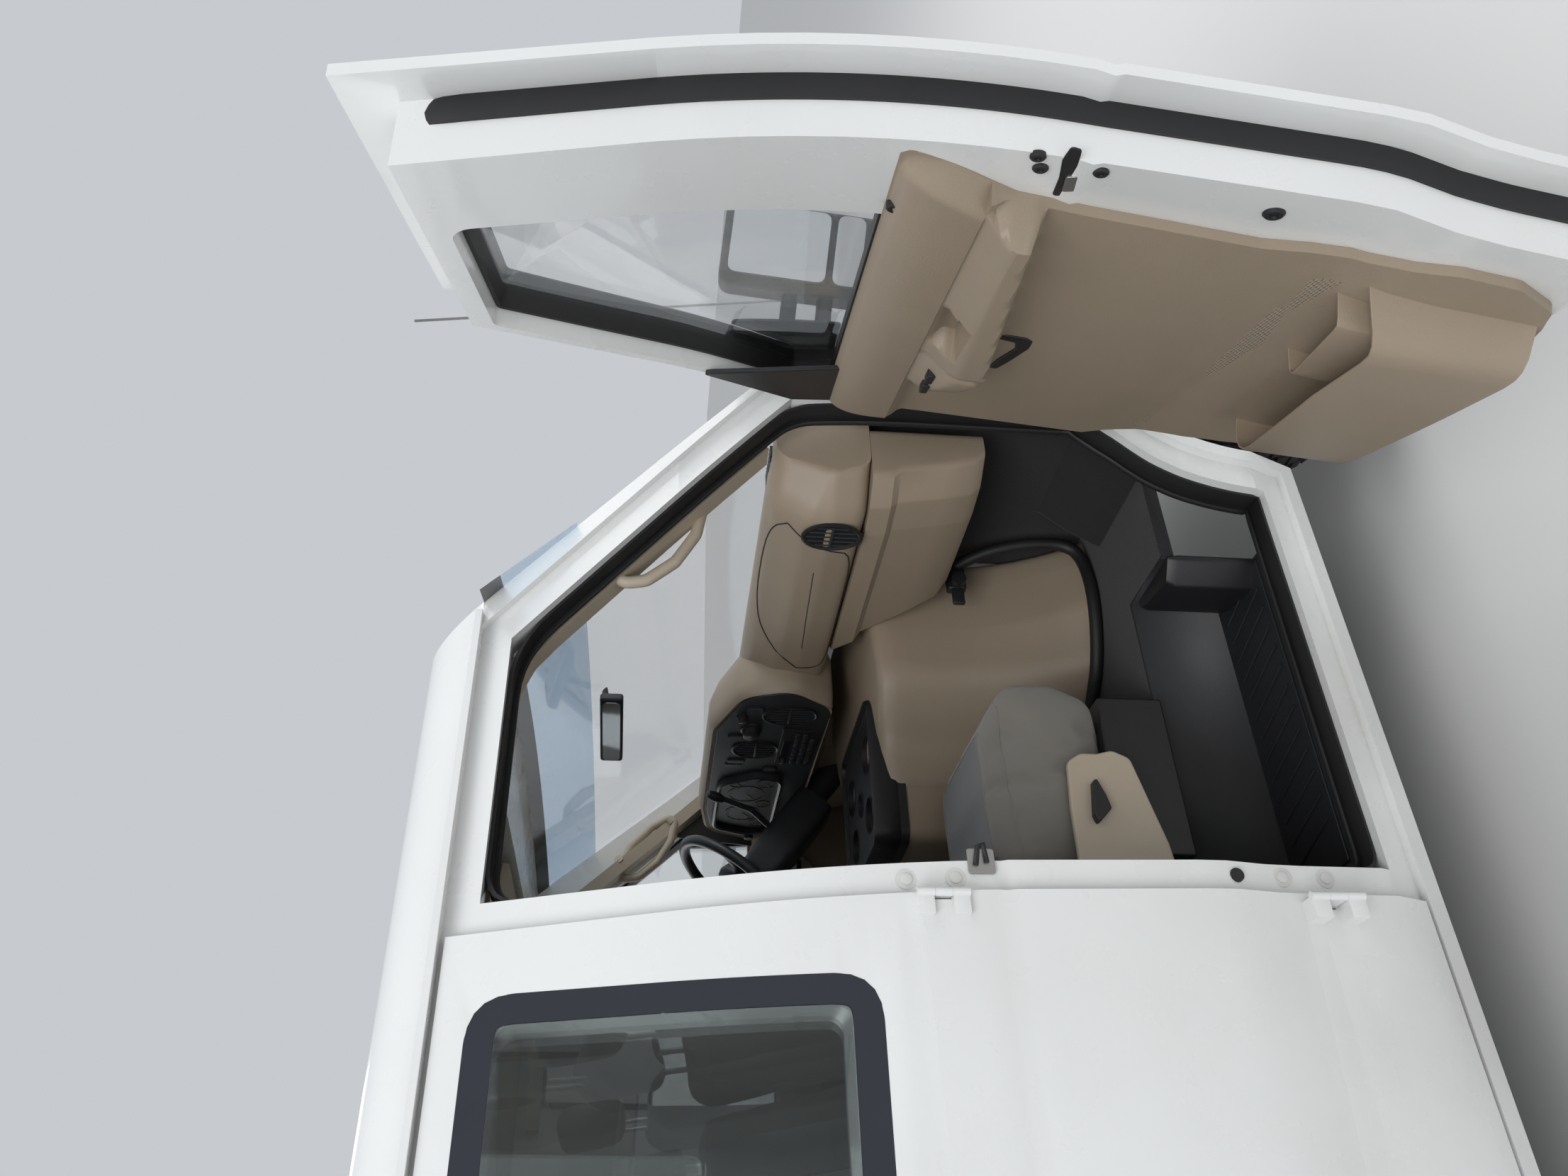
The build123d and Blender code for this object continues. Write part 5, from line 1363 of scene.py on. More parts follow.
@dataclass
class Facia:
    """Builds small parts on an upright face across the van, drawn in (y, z)."""

    shop: Workshop
    name: str
    x: float
    body: str = "body"
    way: float = -1.0

    def at(self, y: float, z: float, out: float) -> Vector:
        """A point some distance out of the face."""
        return Vector((self.x + self.way * out, y, z))

    def plate(self, name: str, finish: Finish, outline: Sequence[Point], low: float, high: float,
              bevel: float = 0.0015, replaces: Iterable[str] = ()) -> Piece:
        """A plate between two distances out of the face."""
        loop = [self.at(p[0], p[1], low) for p in outline]
        piece = self.shop.slab(f"{self.name}_{name}", loop, (self.way * (high - low), 0.0, 0.0))
        if bevel:
            self.shop.soften(piece, bevel)
        return self.shop.finish(piece, self.body, finish, replaces)

    def hoop(self, name: str, finish: Finish, outline: Sequence[Point],
             section: Sequence[Pair]) -> Piece:
        """A rim round an outline.

        Args:
            name: The piece's name.
            finish: Its finish.
            outline: The (y, z) points it follows.
            section: Rows of (offset outward, distance out of the face).

        Returns:
            The finished rim.
        """
        rings = [[self.at(y, z, out) for y, z in grown(outline, off)] for off, out in section]
        piece = self.shop.band_of(f"{self.name}_{name}", rings)
        return self.shop.finish(piece, self.body, finish)

    def vent(self, name: str, y: float, z: float, half_y: float, half_z: float, slats: int = 6) -> None:
        """An oval air vent: rim, dark bowl and upright slats."""
        edge = oval(y, z, half_y, half_z)
        section = ((0.006, 0.0), (0.006, 0.004), (0.001, 0.006), (-0.004, 0.003), (-0.004, 0.0))
        self.hoop(f"{name}_rim", BLACK_TRIM, edge, section)
        self.plate(f"{name}_bowl", BLACK_TRIM, grown(edge, -0.003), 0.0002, 0.0012, 0.0)
        blades = []
        for index in range(slats):
            t = (index + 0.5) / slats * 2.0 - 1.0
            reach = (half_z - 0.004) * math.sqrt(max(0.05, 1.0 - t * t))
            spot = y + t * (half_y - 0.004)
            blades.append(self.shop.brick(f"{name}_slat", self.at(spot - 0.0012, z - reach, 0.001),
                                          self.at(spot + 0.0012, z + reach, 0.0045), 0.0004, 1))
        blades.append(self.shop.brick(f"{name}_bar", self.at(y - half_y + 0.006, z - 0.003, 0.001),
                                      self.at(y + half_y - 0.006, z + 0.003, 0.0055), 0.001, 2))
        piece = self.shop.join(f"{self.name}_{name}_slats", blades)
        self.shop.finish(piece, self.body, GREY_TRIM)

    def knob(self, name: str, finish: Finish, y: float, z: float, radius: float, high: float) -> None:
        """A round knob with a fluted skirt and a pointer."""
        rows = ((radius * 1.25, 0.0), (radius * 1.2, high * 0.2), (radius, high * 0.3),
                (radius * 0.92, high * 0.92), (radius * 0.8, high), (0.0, high))
        body = self.shop.turned(f"{name}_body", rows, self.at(y, z, 0.0), (self.way, 0.0, 0.0), 24)
        tip = self.at(y + 0.001, z + radius * 0.75, high + 0.0008)
        mark = self.shop.brick(f"{name}_mark", self.at(y - 0.001, z, high), tip)
        self.shop.finish(body, self.body, finish)
        self.shop.finish(mark, self.body, PALE_BEIGE)


@dataclass
class SideTrim:
    """What lies on the body sides: seals, frit, bolts, strikers, a handle, lamps and the fuel flap."""

    shop: Workshop
    bolt_radius: float = 0.0095
    frit_out: float = 0.0004
    glass_depth: float = 0.0052

    def build(self) -> None:
        """Builds both sides."""
        for side, word in ((-1, "right"), (1, "left")):
            panel = SidePanel(self.shop, side, "body")
            self.opening(panel, word)
            self.striker(panel, word)
            self.marker(panel, word)
        self.glass()
        self.hinge_bolts()
        self.cargo_handle()
        self.fuel_door()

    def opening(self, panel: SidePanel, word: str) -> None:
        """The rubber round the front door's opening, and the bulb inside it."""
        ring = DoorLines.stepped(DOOR.outline(-0.0460))
        panel.band(f"{word}_opening_seal", RUBBER, ring, 0.040, 0.090, 0.0065, True, 0.0030)
        bulb = DoorLines.stepped(DOOR.outline(-0.0500))
        panel.band(f"{word}_opening_bulb", RUBBER, bulb, 0.0775, 0.0905, 0.012, True, 0.0030)

    def striker(self, panel: SidePanel, word: str) -> None:
        """The latch's striker and the rubber bumper on the pillar behind the door."""
        seat = oblong(0.360, 1.088, 0.402, 1.132)
        panel.plate(f"{word}_striker_seat", STEEL, seat, 0.0165, 0.0195, 0.006, 0.001)
        lift = Vector((0.0, -panel.side * 0.014, 0.0))
        loop = [panel.at(0.374, 1.120, 0.0) + Vector((x, 0.0, z)) + lift
                for x, z in ((0.0, 0.0), (0.030, -0.006), (0.034, -0.016), (0.004, -0.018))]
        bar = self.shop.tube(f"body_{word}_striker", loop, 0.0045)
        self.shop.finish(bar, "body", BLACK_TRIM)
        panel.button(f"{word}_door_bumper", RUBBER, 0.3665, 0.687, 0.0225, 0.0155, 0.0115, 0.0)

    def marker(self, panel: SidePanel, word: str) -> None:
        """Side marker lamps at the front and the rear."""
        for name, finish, x, z in (("front", AMBER, 2.225, 0.800), ("rear", RED_LENS, -2.700, 0.860)):
            box = oblong(x - 0.050, z - 0.018, x + 0.050, z + 0.018)
            panel.plate(f"{word}_{name}_marker", finish, box, -0.004, 0.002, 0.010, 0.003)

    def frit(self, panel: SidePanel, name: str, outline: Sequence[Pair], width: float) -> None:
        """The black printed border of a bonded pane, outside and in.

        Args:
            panel: The side it lies on.
            name: The piece's name.
            outline: The pane's outline.
            width: The border's width.
        """
        inner = grown(outline, -width)
        out = self.frit_out
        section = ((outline, 0.0), (outline, -out), (inner, -out), (inner, 0.0))
        for word, base, way in (("", 0.0, 1.0), ("_inner", self.glass_depth, -1.0)):
            rings = [[panel.at(x, z, base + way * d) for x, z in loop] for loop, d in section]
            piece = self.shop.band_of(panel.name(name + word), rings)
            self.shop.finish(piece, panel.body, FRIT)

    def glass(self) -> None:
        """Frit on every bonded side pane."""
        low, high = 1.285, 1.893
        rows = (
            # side, body, name, x from, x to
            (-1, "side_door_front", "window", -0.300, 0.205),
            (-1, "side_door_rear", "window", -0.820, -0.490), (-1, "body", "right_quarter", -2.620, -1.690),
            (1, "body", "left_rear", -2.620, -1.690), (1, "body", "left_middle", -1.600, -0.690),
            (1, "body", "left_front", -0.600, 0.205),
        )
        for side, body, name, x0, x1 in rows:
            panel = SidePanel(self.shop, side, body)
            self.frit(panel, f"{name}_frit", pane(x0, x1, low, high, 0.070), 0.044)

    def hinge_bolts(self) -> None:
        """The bolts of the cargo door's hinges on the pillar, with their washers."""
        panel = SidePanel(self.shop, -1, "body")
        for index, (x, z) in enumerate(((0.352, 1.232), (0.354, 1.154), (0.370, 0.601), (0.372, 0.521))):
            spot = panel.at(x, z, 0.0195)
            radius = self.bolt_radius
            rows = ((radius * 1.7, -0.001), (radius * 1.7, 0.0010), (radius, 0.0012), (radius, 0.0036),
                    (radius * 0.8, 0.0042), (0.0, 0.0042))
            bolt = self.shop.turned(f"body_hinge_bolt_{index}", rows, spot, (0.0, -1.0, 0.0), 20)
            self.shop.finish(bolt, "body", JAMB)

    def cargo_handle(self) -> None:
        """The cargo door's handle at the split, with its frame and lock."""
        panel = SidePanel(self.shop, -1, "side_door_front")
        frame, grip = oblong(-0.372, 0.985, -0.205, 1.058), oblong(-0.358, 1.006, -0.222, 1.048)
        panel.plate("handle_frame", BLACK_TRIM, frame, -0.004, 0.0005, 0.012, 0.002)
        panel.plate("handle", BLACK_TRIM, grip, -0.011, -0.004, 0.012, 0.003)
        panel.button("lock_cylinder", CHROME, -0.290, 0.965, -0.003, 0.0005, 0.011, 0.0002)

    def fuel_door(self) -> None:
        """The round-cornered filler flap on the left side, ringed by a thin black band of painted shade in
        its gap.
        """
        panel = SidePanel(self.shop, 1, "body")
        box = oblong(0.060, 0.870, 0.225, 1.035)
        # The black ring round the flap is painted shade: the shadow in the gap, not a rubber part.
        panel.plate("fuel_flap_gap", RUBBER, grown(box, 0.003), -0.0004, 0.001, 0.022, 0.0)
        panel.plate("fuel_flap", PAINT, box, -0.0022, 0.001, 0.020, 0.0015)


@dataclass
class Dashboard:
    """The moulded dashboard with its cluster hood, glove panel, vents and instruments."""

    shop: Workshop
    face_x: float = 1.204
    foot_z: float = 1.197
    brow_z: float = 1.412
    half: float = 0.868
    panel_x: float = 1.150
    panel: tuple = (
        (-0.060, 1.172), (0.745, 1.195), (0.785, 1.300), (0.722, 1.440), (0.560, 1.462), (0.060, 1.462),
        (-0.110, 1.400), (-0.146, 1.290),
    )
    wall_depth: float = 0.1355

    def build(self) -> None:
        """Builds the whole dashboard."""
        self.body()
        self.knee_panels()
        self.hood()
        self.glove_panel()
        self.instruments()
        self.end_vents()

    def recede(self, y: float) -> float:
        """How far the face bends forward near its ends."""
        return 0.070 * ease(abs(y), 0.765, 0.872)

    def section(self, y: float) -> list[Vector]:
        """The dashboard's rounded (x, z) section at one y."""
        face, back = self.face_x + self.recede(y), 0.045 * ease(abs(y), 0.74, 0.87)
        corners = [(face + 0.014, self.foot_z), (face - 0.001, self.foot_z + 0.075),
                   (face + 0.006, 1.330 - back), (face + 0.062, self.brow_z + 0.002 - back / 2),
                   (1.410, 1.397), (1.578, 1.241), (1.578, 1.224), (1.464, 1.254), (1.464, self.foot_z)]
        return rounded(corners, 0.060, 8)

    def body(self) -> None:
        """The long moulding under the windshield."""
        ends = [side * (self.half - d) for side in (-1, 1) for d in (0.004, 0.010, 0.018)]
        stations = spaced(-self.half, self.half, 0.03, ends)
        sections = []
        for y in stations:
            closing = 0.010 * (1.0 - ease(self.half - abs(y), 0.0, 0.018))
            ring = []
            for p in self.section(y):
                limit = SIDE.y(p.y, self.wall_depth)
                z = p.y - closing if p.y > 1.25 else p.y
                ring.append(Vector((p.x + (closing if p.x < 1.3 else 0.0), max(-limit, min(limit, y)), z)))
            sections.append(ring)
        piece = self.shop.loft("dashboard_body", sections, smooth=50.0)
        self.shop.finish(piece, "body", BEIGE, ["dashboard"])

    def knee_panels(self) -> None:
        """The lower panels each side of the engine cover, creased and raked forward to their foot."""
        for side, word in ((-1, "right"), (1, "left")):
            rows = (
                # height, inner y, outer y, face x
                (1.196, 0.180, 0.866, 1.216), (1.150, 0.210, 0.866, 1.222), (1.135, 0.235, 0.866, 1.236),
                (1.040, 0.300, 0.866, 1.252), (0.972, 0.352, 0.866, 1.268), (0.948, 0.390, 0.866, 1.290),
            )
            sections = []
            for z, inner, outer, face in rows:
                limit = min(outer, SIDE.y(z, self.wall_depth))
                bend = [(face + 0.060, inner), (face, inner + 0.07), (face, 0.720), (face + 0.012, 0.800),
                        (face + 0.052, limit), (1.400, limit), (1.400, inner)]
                plan = rounded(bend, 0.022, 4)
                sections.append([Vector((p.x, side * p.y, z)) for p in plan])
            piece = self.shop.loft(f"{word}_knee_panel", sections, smooth=30.0)
            self.shop.soften(piece, 0.004, 2, 35.0)
            self.shop.finish(piece, "body", BEIGE)

    def hood(self) -> None:
        """The rounded surround that carries the instrument panel and runs back to the windshield."""
        outline = soft(self.panel, 0.075, 7)
        rows = (
            # x, offset outward, drop
            (self.panel_x + 0.004, 0.003, 0.0), (self.panel_x - 0.002, 0.010, 0.0),
            (self.panel_x + 0.006, 0.018, 0.0), (self.face_x - 0.020, 0.023, 0.0),
            (self.face_x + 0.030, 0.024, 0.004), (1.290, 0.020, 0.022), (1.370, -0.004, 0.058),
            (1.420, -0.040, 0.085),
        )
        sections = []
        for x, off, drop in rows:
            ring = []
            for y, z in grown(outline, off):
                low = max(z - drop * ease(z, 1.30, 1.45), 1.172)
                limit = SIDE.y(low, self.wall_depth)
                ring.append(Vector((x, max(-limit, min(limit, y)), low)))
            sections.append(ring)
        piece = self.shop.loft("instrument_hood", sections, smooth=60.0)
        self.shop.finish(piece, "body", BEIGE)
        face = Facia(self.shop, "panel", self.panel_x)
        face.plate("face", GREY_TRIM, outline, -0.030, 0.0005, 0.003, ["instrument_panel"])

    def glove_panel(self) -> None:
        """The seam of the passenger panel's lid and the crease across it, both drawn as dark lines of painted
        shade.
        """
        seam = [(-0.183, 1.281), (-0.172, 1.222), (-0.211, 1.206), (-0.425, 1.204), (-0.655, 1.208),
                (-0.676, 1.265), (-0.715, 1.335), (-0.735, 1.362)]
        path = [self.on_face(y, z) for y, z in smoothed(seam)]
        over = [(-0.735, 1.362), (-0.700, 1.392), (-0.600, 1.402), (-0.393, 1.400), (-0.280, 1.372),
                (-0.183, 1.281)]
        path += [self.on_face(y, z) for y, z in smoothed(over)][1:-1]
        # A black bead along the lid's gap: painted shade standing for the shadow in the seam.
        seam_shade = self.shop.tube("glove_seam_shade", path, 0.0017, True)
        self.shop.finish(seam_shade, "body", RUBBER)
        # A dark grey line along the crease: painted shade where the moulding folds.
        crease = [self.on_face(y, z) for y, z in ((-0.275, 1.276), (-0.430, 1.283), (-0.592, 1.289))]
        self.shop.finish(self.shop.tube("glove_crease_shade", crease, 0.0012), "body", GREY_TRIM)

    def on_face(self, y: float, z: float) -> Vector:
        """The point of the dashboard's face at one (y, z)."""
        loop = self.section(y)
        best = None
        for a, b in zip(loop, loop[1:]):
            if min(a.y, b.y) <= z <= max(a.y, b.y) and abs(a.y - b.y) > 1e-6:
                x = a.x + (b.x - a.x) * (z - a.y) / (b.y - a.y)
                best = x if best is None else min(best, x)
        top = min((p for p in loop if p.y >= z - 0.012), key=lambda p: p.x, default=loop[0])
        return Vector((best if best is not None else top.x, y, z))

    def end_vents(self) -> None:
        """The oval vents at both ends and the slotted grille on top."""
        for side, word in ((-1, "right"), (1, "left")):
            face = Facia(self.shop, f"{word}_end", self.face_x + 0.0015)
            face.vent("vent", side * 0.729, 1.268, 0.040, 0.060, 5)
            slots = []
            for index in range(9):
                y = side * (0.700 + 0.012 * index)
                low, high = (1.330 + 0.004 * index, y - 0.003, 1.3975), (1.392, y + 0.003, 1.4035)
                slots.append(self.shop.brick("slot", low, high, 0.001, 1))
            piece = self.shop.join(f"{word}_defog_slots", slots)
            self.shop.finish(piece, "body", BLACK_TRIM)

    def instruments(self) -> None:
        """Cluster, switches, radio, climate controls and middle vents on the dark panel."""
        face = Facia(self.shop, "panel", self.panel_x)
        corners = [(0.330, 1.262), (0.700, 1.262), (0.716, 1.330), (0.668, 1.432), (0.372, 1.432),
                   (0.318, 1.340)]
        cave = soft(corners, 0.045)
        section = ((0.010, 0.0), (0.008, 0.016), (0.002, 0.020), (-0.004, 0.016), (-0.003, 0.0))
        face.hoop("cluster_rim", GREY_TRIM, cave, section)
        face.plate("cluster_face", BLACK_TRIM, cave, 0.0006, 0.0016, 0.0)
        dials = (
            # y, z, radius
            (0.590, 1.352, 0.052), (0.455, 1.352, 0.052), (0.660, 1.300, 0.026), (0.385, 1.300, 0.026),
            (0.385, 1.382, 0.026), (0.522, 1.296, 0.022),
        )
        section = ((0.001, 0.0016), (0.001, 0.0034), (-0.002, 0.0034), (-0.002, 0.0016))
        for index, (y, z, radius) in enumerate(dials):
            face.hoop(f"dial_{index}", GREY_TRIM, oval(y, z, radius, radius, 32), section)
            ticks = []
            for step in range(11):
                turn = math.radians(-120.0 + 24.0 * step)
                a = Vector((math.sin(turn), math.cos(turn)))
                path = [face.at(y - a.x * radius * r, z + a.y * radius * r, 0.0022) for r in (0.78, 0.92)]
                ticks.append(self.shop.tube("tick", path, 0.0007))
            needle = [face.at(y, z, 0.003), face.at(y + radius * 0.6, z - radius * 0.45, 0.003)]
            ticks.append(self.shop.tube("needle", needle, 0.0011))
            self.shop.finish(self.shop.join(f"panel_ticks_{index}", ticks), "body", PALE_BEIGE)
        face.vent("middle_vent", 0.168, 1.350, 0.045, 0.060, 6)
        face.vent("right_vent", -0.030, 1.278, 0.048, 0.068, 7)
        radio = [(0.244, 1.195), (0.238, 1.292), (0.040, 1.287), (0.052, 1.184)]
        face.plate("radio", BLACK_TRIM, radio, 0.0, 0.0060, 0.0015)
        display = [(0.190, 1.262), (0.190, 1.281), (0.100, 1.279), (0.100, 1.260)]
        face.plate("radio_display", FRIT, display, 0.0058, 0.0072, 0.0004)
        buttons = []
        for z, count in ((1.245, 7), (1.224, 7), (1.203, 6)):
            for y in (0.226 - 0.0255 * index for index in range(count)):
                buttons.append(self.shop.brick("key", face.at(y - 0.0095, z - 0.006, 0.005),
                                               face.at(y + 0.0095, z + 0.006, 0.0095), 0.0015, 2))
        self.shop.finish(self.shop.join("panel_radio_keys", buttons), "body", GREY_TRIM)
        self.knobs(face)

    def knobs(self, face: Facia) -> None:
        """The knobs and rockers above the radio."""
        face.knob("radio_knob_left", BLACK_TRIM, 0.216, 1.272, 0.010, 0.018)
        face.knob("fan_knob", BLACK_TRIM, 0.052, 1.372, 0.024, 0.024)
        face.knob("heat_knob", BLACK_TRIM, -0.012, 1.400, 0.013, 0.018)
        face.knob("lamp_knob", BLACK_TRIM, 0.742, 1.320, 0.015, 0.022)
        rockers = (
            # y, z, half width, half height
            (0.262, 1.402, 0.009, 0.024), (0.238, 1.398, 0.009, 0.024), (0.100, 1.396, 0.014, 0.034),
            (-0.052, 1.370, 0.015, 0.022), (0.285, 1.300, 0.011, 0.018),
        )
        for index, (y, z, half_y, half_z) in enumerate(rockers):
            box = soft(oblong(y - half_y, z - half_z, y + half_y, z + half_z), half_y * 0.7)
            face.plate(f"rocker_seat_{index}", BLACK_TRIM, grown(box, 0.003), 0.0, 0.0022, 0.0008)
            face.plate(f"rocker_{index}", GREY_TRIM, box, 0.0, 0.0065, 0.002)


@dataclass
class EngineCover:
    """The moulded engine cover with its flared foot and hose seal, and the cup holder console on it."""

    shop: Workshop
    foot: tuple = (
        (0.835, 0.205), (0.960, 0.275), (1.042, 0.373), (1.100, 0.440), (1.236, 0.492), (1.360, 0.478),
        (1.436, 0.462),
    )
    crown: tuple = (
        (0.852, 0.200), (0.975, 0.214), (1.040, 0.268), (1.110, 0.326), (1.236, 0.328), (1.360, 0.328),
        (1.436, 0.328),
    )
    floor_z: float = 0.5905
    flare_z: float = 1.020
    flare_power: float = 2.6
    top: tuple = (0.900, 1.080, 1.436, 1.130)

    def build(self) -> None:
        """Builds the cover, its seal and the console."""
        self.cover()
        self.seal()
        self.console()

    def top_z(self, x: float) -> float:
        """Height of the cover's top at one x."""
        x0, z0, x1, z1 = self.top
        return z0 + (z1 - z0) * (max(x, x0) - x0) / (x1 - x0)

    def wall_z(self, x: float, rise: float) -> float:
        """Height at one x, a share of the way from the flare up to the top."""
        return self.flare_z + (self.top_z(x) - self.flare_z) * rise

    def cover(self) -> None:
        """One skin from the foot's ring up to the top."""
        steps = (0.0, 0.012, 0.03, 0.07, 0.13, 0.22, 0.35, 0.5, 0.7, 0.88, 1.0)
        sections = []
        for t in steps:
            blend = (1.0 - t) ** self.flare_power
            plan = [(a[0] * blend + b[0] * (1 - blend), a[1] * blend + b[1] * (1 - blend))
                    for a, b in zip(self.foot, self.crown)]
            z = self.floor_z + (self.flare_z - self.floor_z) * t
            sections.append(self.ring(plan, lambda x, z=z: z))
        for rise, inset in ((0.4, 0.0), (0.75, 0.003), (0.93, 0.012), (1.0, 0.030)):
            plan = [(x + (inset if x < 1.0 else 0.0), y - inset) for x, y in self.crown]
            sections.append(self.ring(plan, lambda x, rise=rise: self.wall_z(x, rise)))
        piece = self.shop.loft("engine_cover_skin", sections, smooth=60.0)
        self.shop.finish(piece, "body", BEIGE, ["engine_cover"])

    def ring(self, plan: Sequence[Pair], height: Callable[[float], float]) -> list[Vector]:
        """A closed ring through a half plan and its mirror image."""
        loop = list(plan) + [(x, -y) for x, y in reversed(plan)]
        return [Vector((p.x, p.y, height(p.x))) for p in rounded(loop, 0.12, 6)]

    def seal(self) -> None:
        """The thick rubber hose round the foot, up to the latches."""
        for side, word in ((-1, "right"), (1, "left")):
            path = [(x - 0.012, side * (y + 0.014), self.floor_z + 0.016) for x, y in self.foot[1:6]]
            path += [(1.398, side * 0.486, 0.640), (1.400, side * 0.478, 0.740), (1.392, side * 0.452, 0.830),
                     (1.375, side * 0.415, 0.900), (1.360, side * 0.375, 0.925)]
            hose = self.shop.tube(f"{word}_cover_seal", smoothed(path), 0.0155, steps=4)
            self.shop.finish(hose, "body", RUBBER)
            y = side * 0.405
            latch = [self.shop.brick("base", (1.300, y - 0.014, 0.884), (1.372, y + 0.014, 0.930), 0.006)]
            rows = ((0.0, 0.0), (0.019, 0.002), (0.019, 0.016), (0.0, 0.018))
            spot = (1.318, side * 0.425, 0.908)
            latch.append(self.shop.turned("wheel", rows, spot, (0.0, side, 0.0), 20))
            y = side * 0.412
            latch.append(self.shop.brick("arm", (1.258, y - 0.006, 0.892), (1.310, y + 0.006, 0.922), 0.004))
            self.shop.finish(self.shop.join(f"{word}_cover_latch", latch), "body", BLACK_TRIM)

    def console(self) -> None:
        """Beige base, black tray and the cup holders in it."""
        sections = []
        for z, inset in ((0.842, 0.012), (0.846, 0.006), (0.870, 0.002), (1.046, 0.0)):
            loop = oblong(0.745 + inset, 0.195 - inset, 1.118, -0.195 + inset)
            sections.append([Vector((p.x, p.y, z)) for p in rounded(loop, 0.035)])
        base = self.shop.loft("console_base", sections, smooth=50.0)
        self.shop.finish(base, "body", BEIGE)
        outline = soft(oblong(0.738, 0.200, 1.122, -0.200), 0.045)
        cups = ((0.845, 0.100, 0.043), (0.845, -0.100, 0.043), (0.985, 0.112, 0.048), (1.000, -0.112, 0.048),
                (0.915, 0.0, 0.030))
        section = ((1.047, -0.004), (1.052, 0.0), (1.104, 0.0), (1.112, -0.003), (1.112, -0.010),
                   (1.100, -0.013), (1.060, -0.013))
        walls = [[Vector((x, y, z)) for x, y in grown(outline, off)] for z, off in section]
        rim = self.shop.band_of("console_tray_wall", walls)
        self.shop.finish(rim, "body", BLACK_TRIM)
        deck = self.shop.pierced("console_deck", grown(outline, -0.012),
                                 [oval(x, y, r, r, 28) for x, y, r in cups], 1.098, 0.004)
        self.shop.finish(deck, "body", BLACK_TRIM)
        holders = []
        for x, y, r in cups:
            rows = ((r + 0.003, 0.105), (r + 0.003, 0.108), (r, 0.108), (r - 0.004, 0.045), (0.0, 0.045),
                    (0.0, 0.042), (r - 0.001, 0.042), (r + 0.003, 0.105))
            holders.append(self.shop.turned("cup", rows, (x, y, 0.996), (0.0, 0.0, 1.0), 28))
        self.shop.finish(self.shop.join("console_cups", holders), "body", BLACK_TRIM)
        side_walls = [[Vector((x, y, z)) for x, y in grown(outline, -0.001)] for z in (1.030, 1.050)]
        self.shop.finish(self.shop.loft("console_tray_floor", side_walls), "body", BLACK_TRIM)


@dataclass
class Steering:
    """The steering wheel's grip, spokes and hub pad, and the knob of the shift lever."""

    shop: Workshop
    hub: tuple = (0.870, 0.480, 1.375)
    tilt: float = 38.0
    radius: float = 0.192

    def build(self) -> None:
        """Builds the wheel about its column."""
        way = Vector((math.cos(math.radians(self.tilt)), 0.0, -math.sin(math.radians(self.tilt))))
        across = Vector((0.0, 1.0, 0.0))
        up = way.cross(across)
        centre = Vector(self.hub)
        rim = [centre + across * self.radius * math.cos(t) + up * self.radius * math.sin(t)
               for t in (math.tau * i / 64 for i in range(64))]
        grip = self.shop.tube("grip", rim, 0.0155, True, steps=4)
        parts = [grip]
        for turn in (18.0, 162.0, 235.0, 305.0):
            t = math.radians(turn)
            out = across * math.cos(t) + up * math.sin(t)
            path = [centre + way * 0.026 + out * 0.045, centre + way * 0.022 + out * 0.095,
                    centre + way * 0.008 + out * 0.155, centre + out * (self.radius - 0.006)]
            parts.append(self.shop.tube("spoke", path, 0.0135, steps=4))
        wheel = self.shop.join("steering_wheel_grip", parts)
        self.shop.finish(wheel, "steering_wheel", GREY_TRIM, ["steering_wheel"])
        rows = ((0.0, 0.052), (0.052, 0.050), (0.066, 0.040), (0.074, 0.014), (0.070, 0.002), (0.058, -0.010),
                (0.030, -0.016), (0.0, -0.017))
        pad = self.shop.turned("hub_pad", rows, centre, way, 36)
        self.shop.finish(pad, "steering_wheel", GREY_TRIM)
        rows = ((0.0, -0.028), (0.010, -0.024), (0.014, -0.008), (0.014, 0.012), (0.010, 0.026), (0.0, 0.030))
        knob = self.shop.turned("shift_knob", rows, (1.062, 0.290, 1.450), (0.09, -0.50, 0.85), 20)
        self.shop.finish(knob, "body", BLACK_TRIM)
        shroud = []
        for t, half, high in ((0.045, 0.046, 0.040), (0.080, 0.066, 0.060), (0.180, 0.074, 0.066),
                              (0.300, 0.072, 0.066), (0.345, 0.070, 0.062)):
            middle = centre + way * t - up * 0.012
            corners = oblong(-half, -high, half, high * 0.8)
            shroud.append([middle + across * p.x + up * p.y for p in rounded(corners, 0.030, 4)])
        piece = self.shop.loft("column_shroud", shroud, smooth=45.0)
        self.shop.finish(piece, "body", GREY_TRIM)


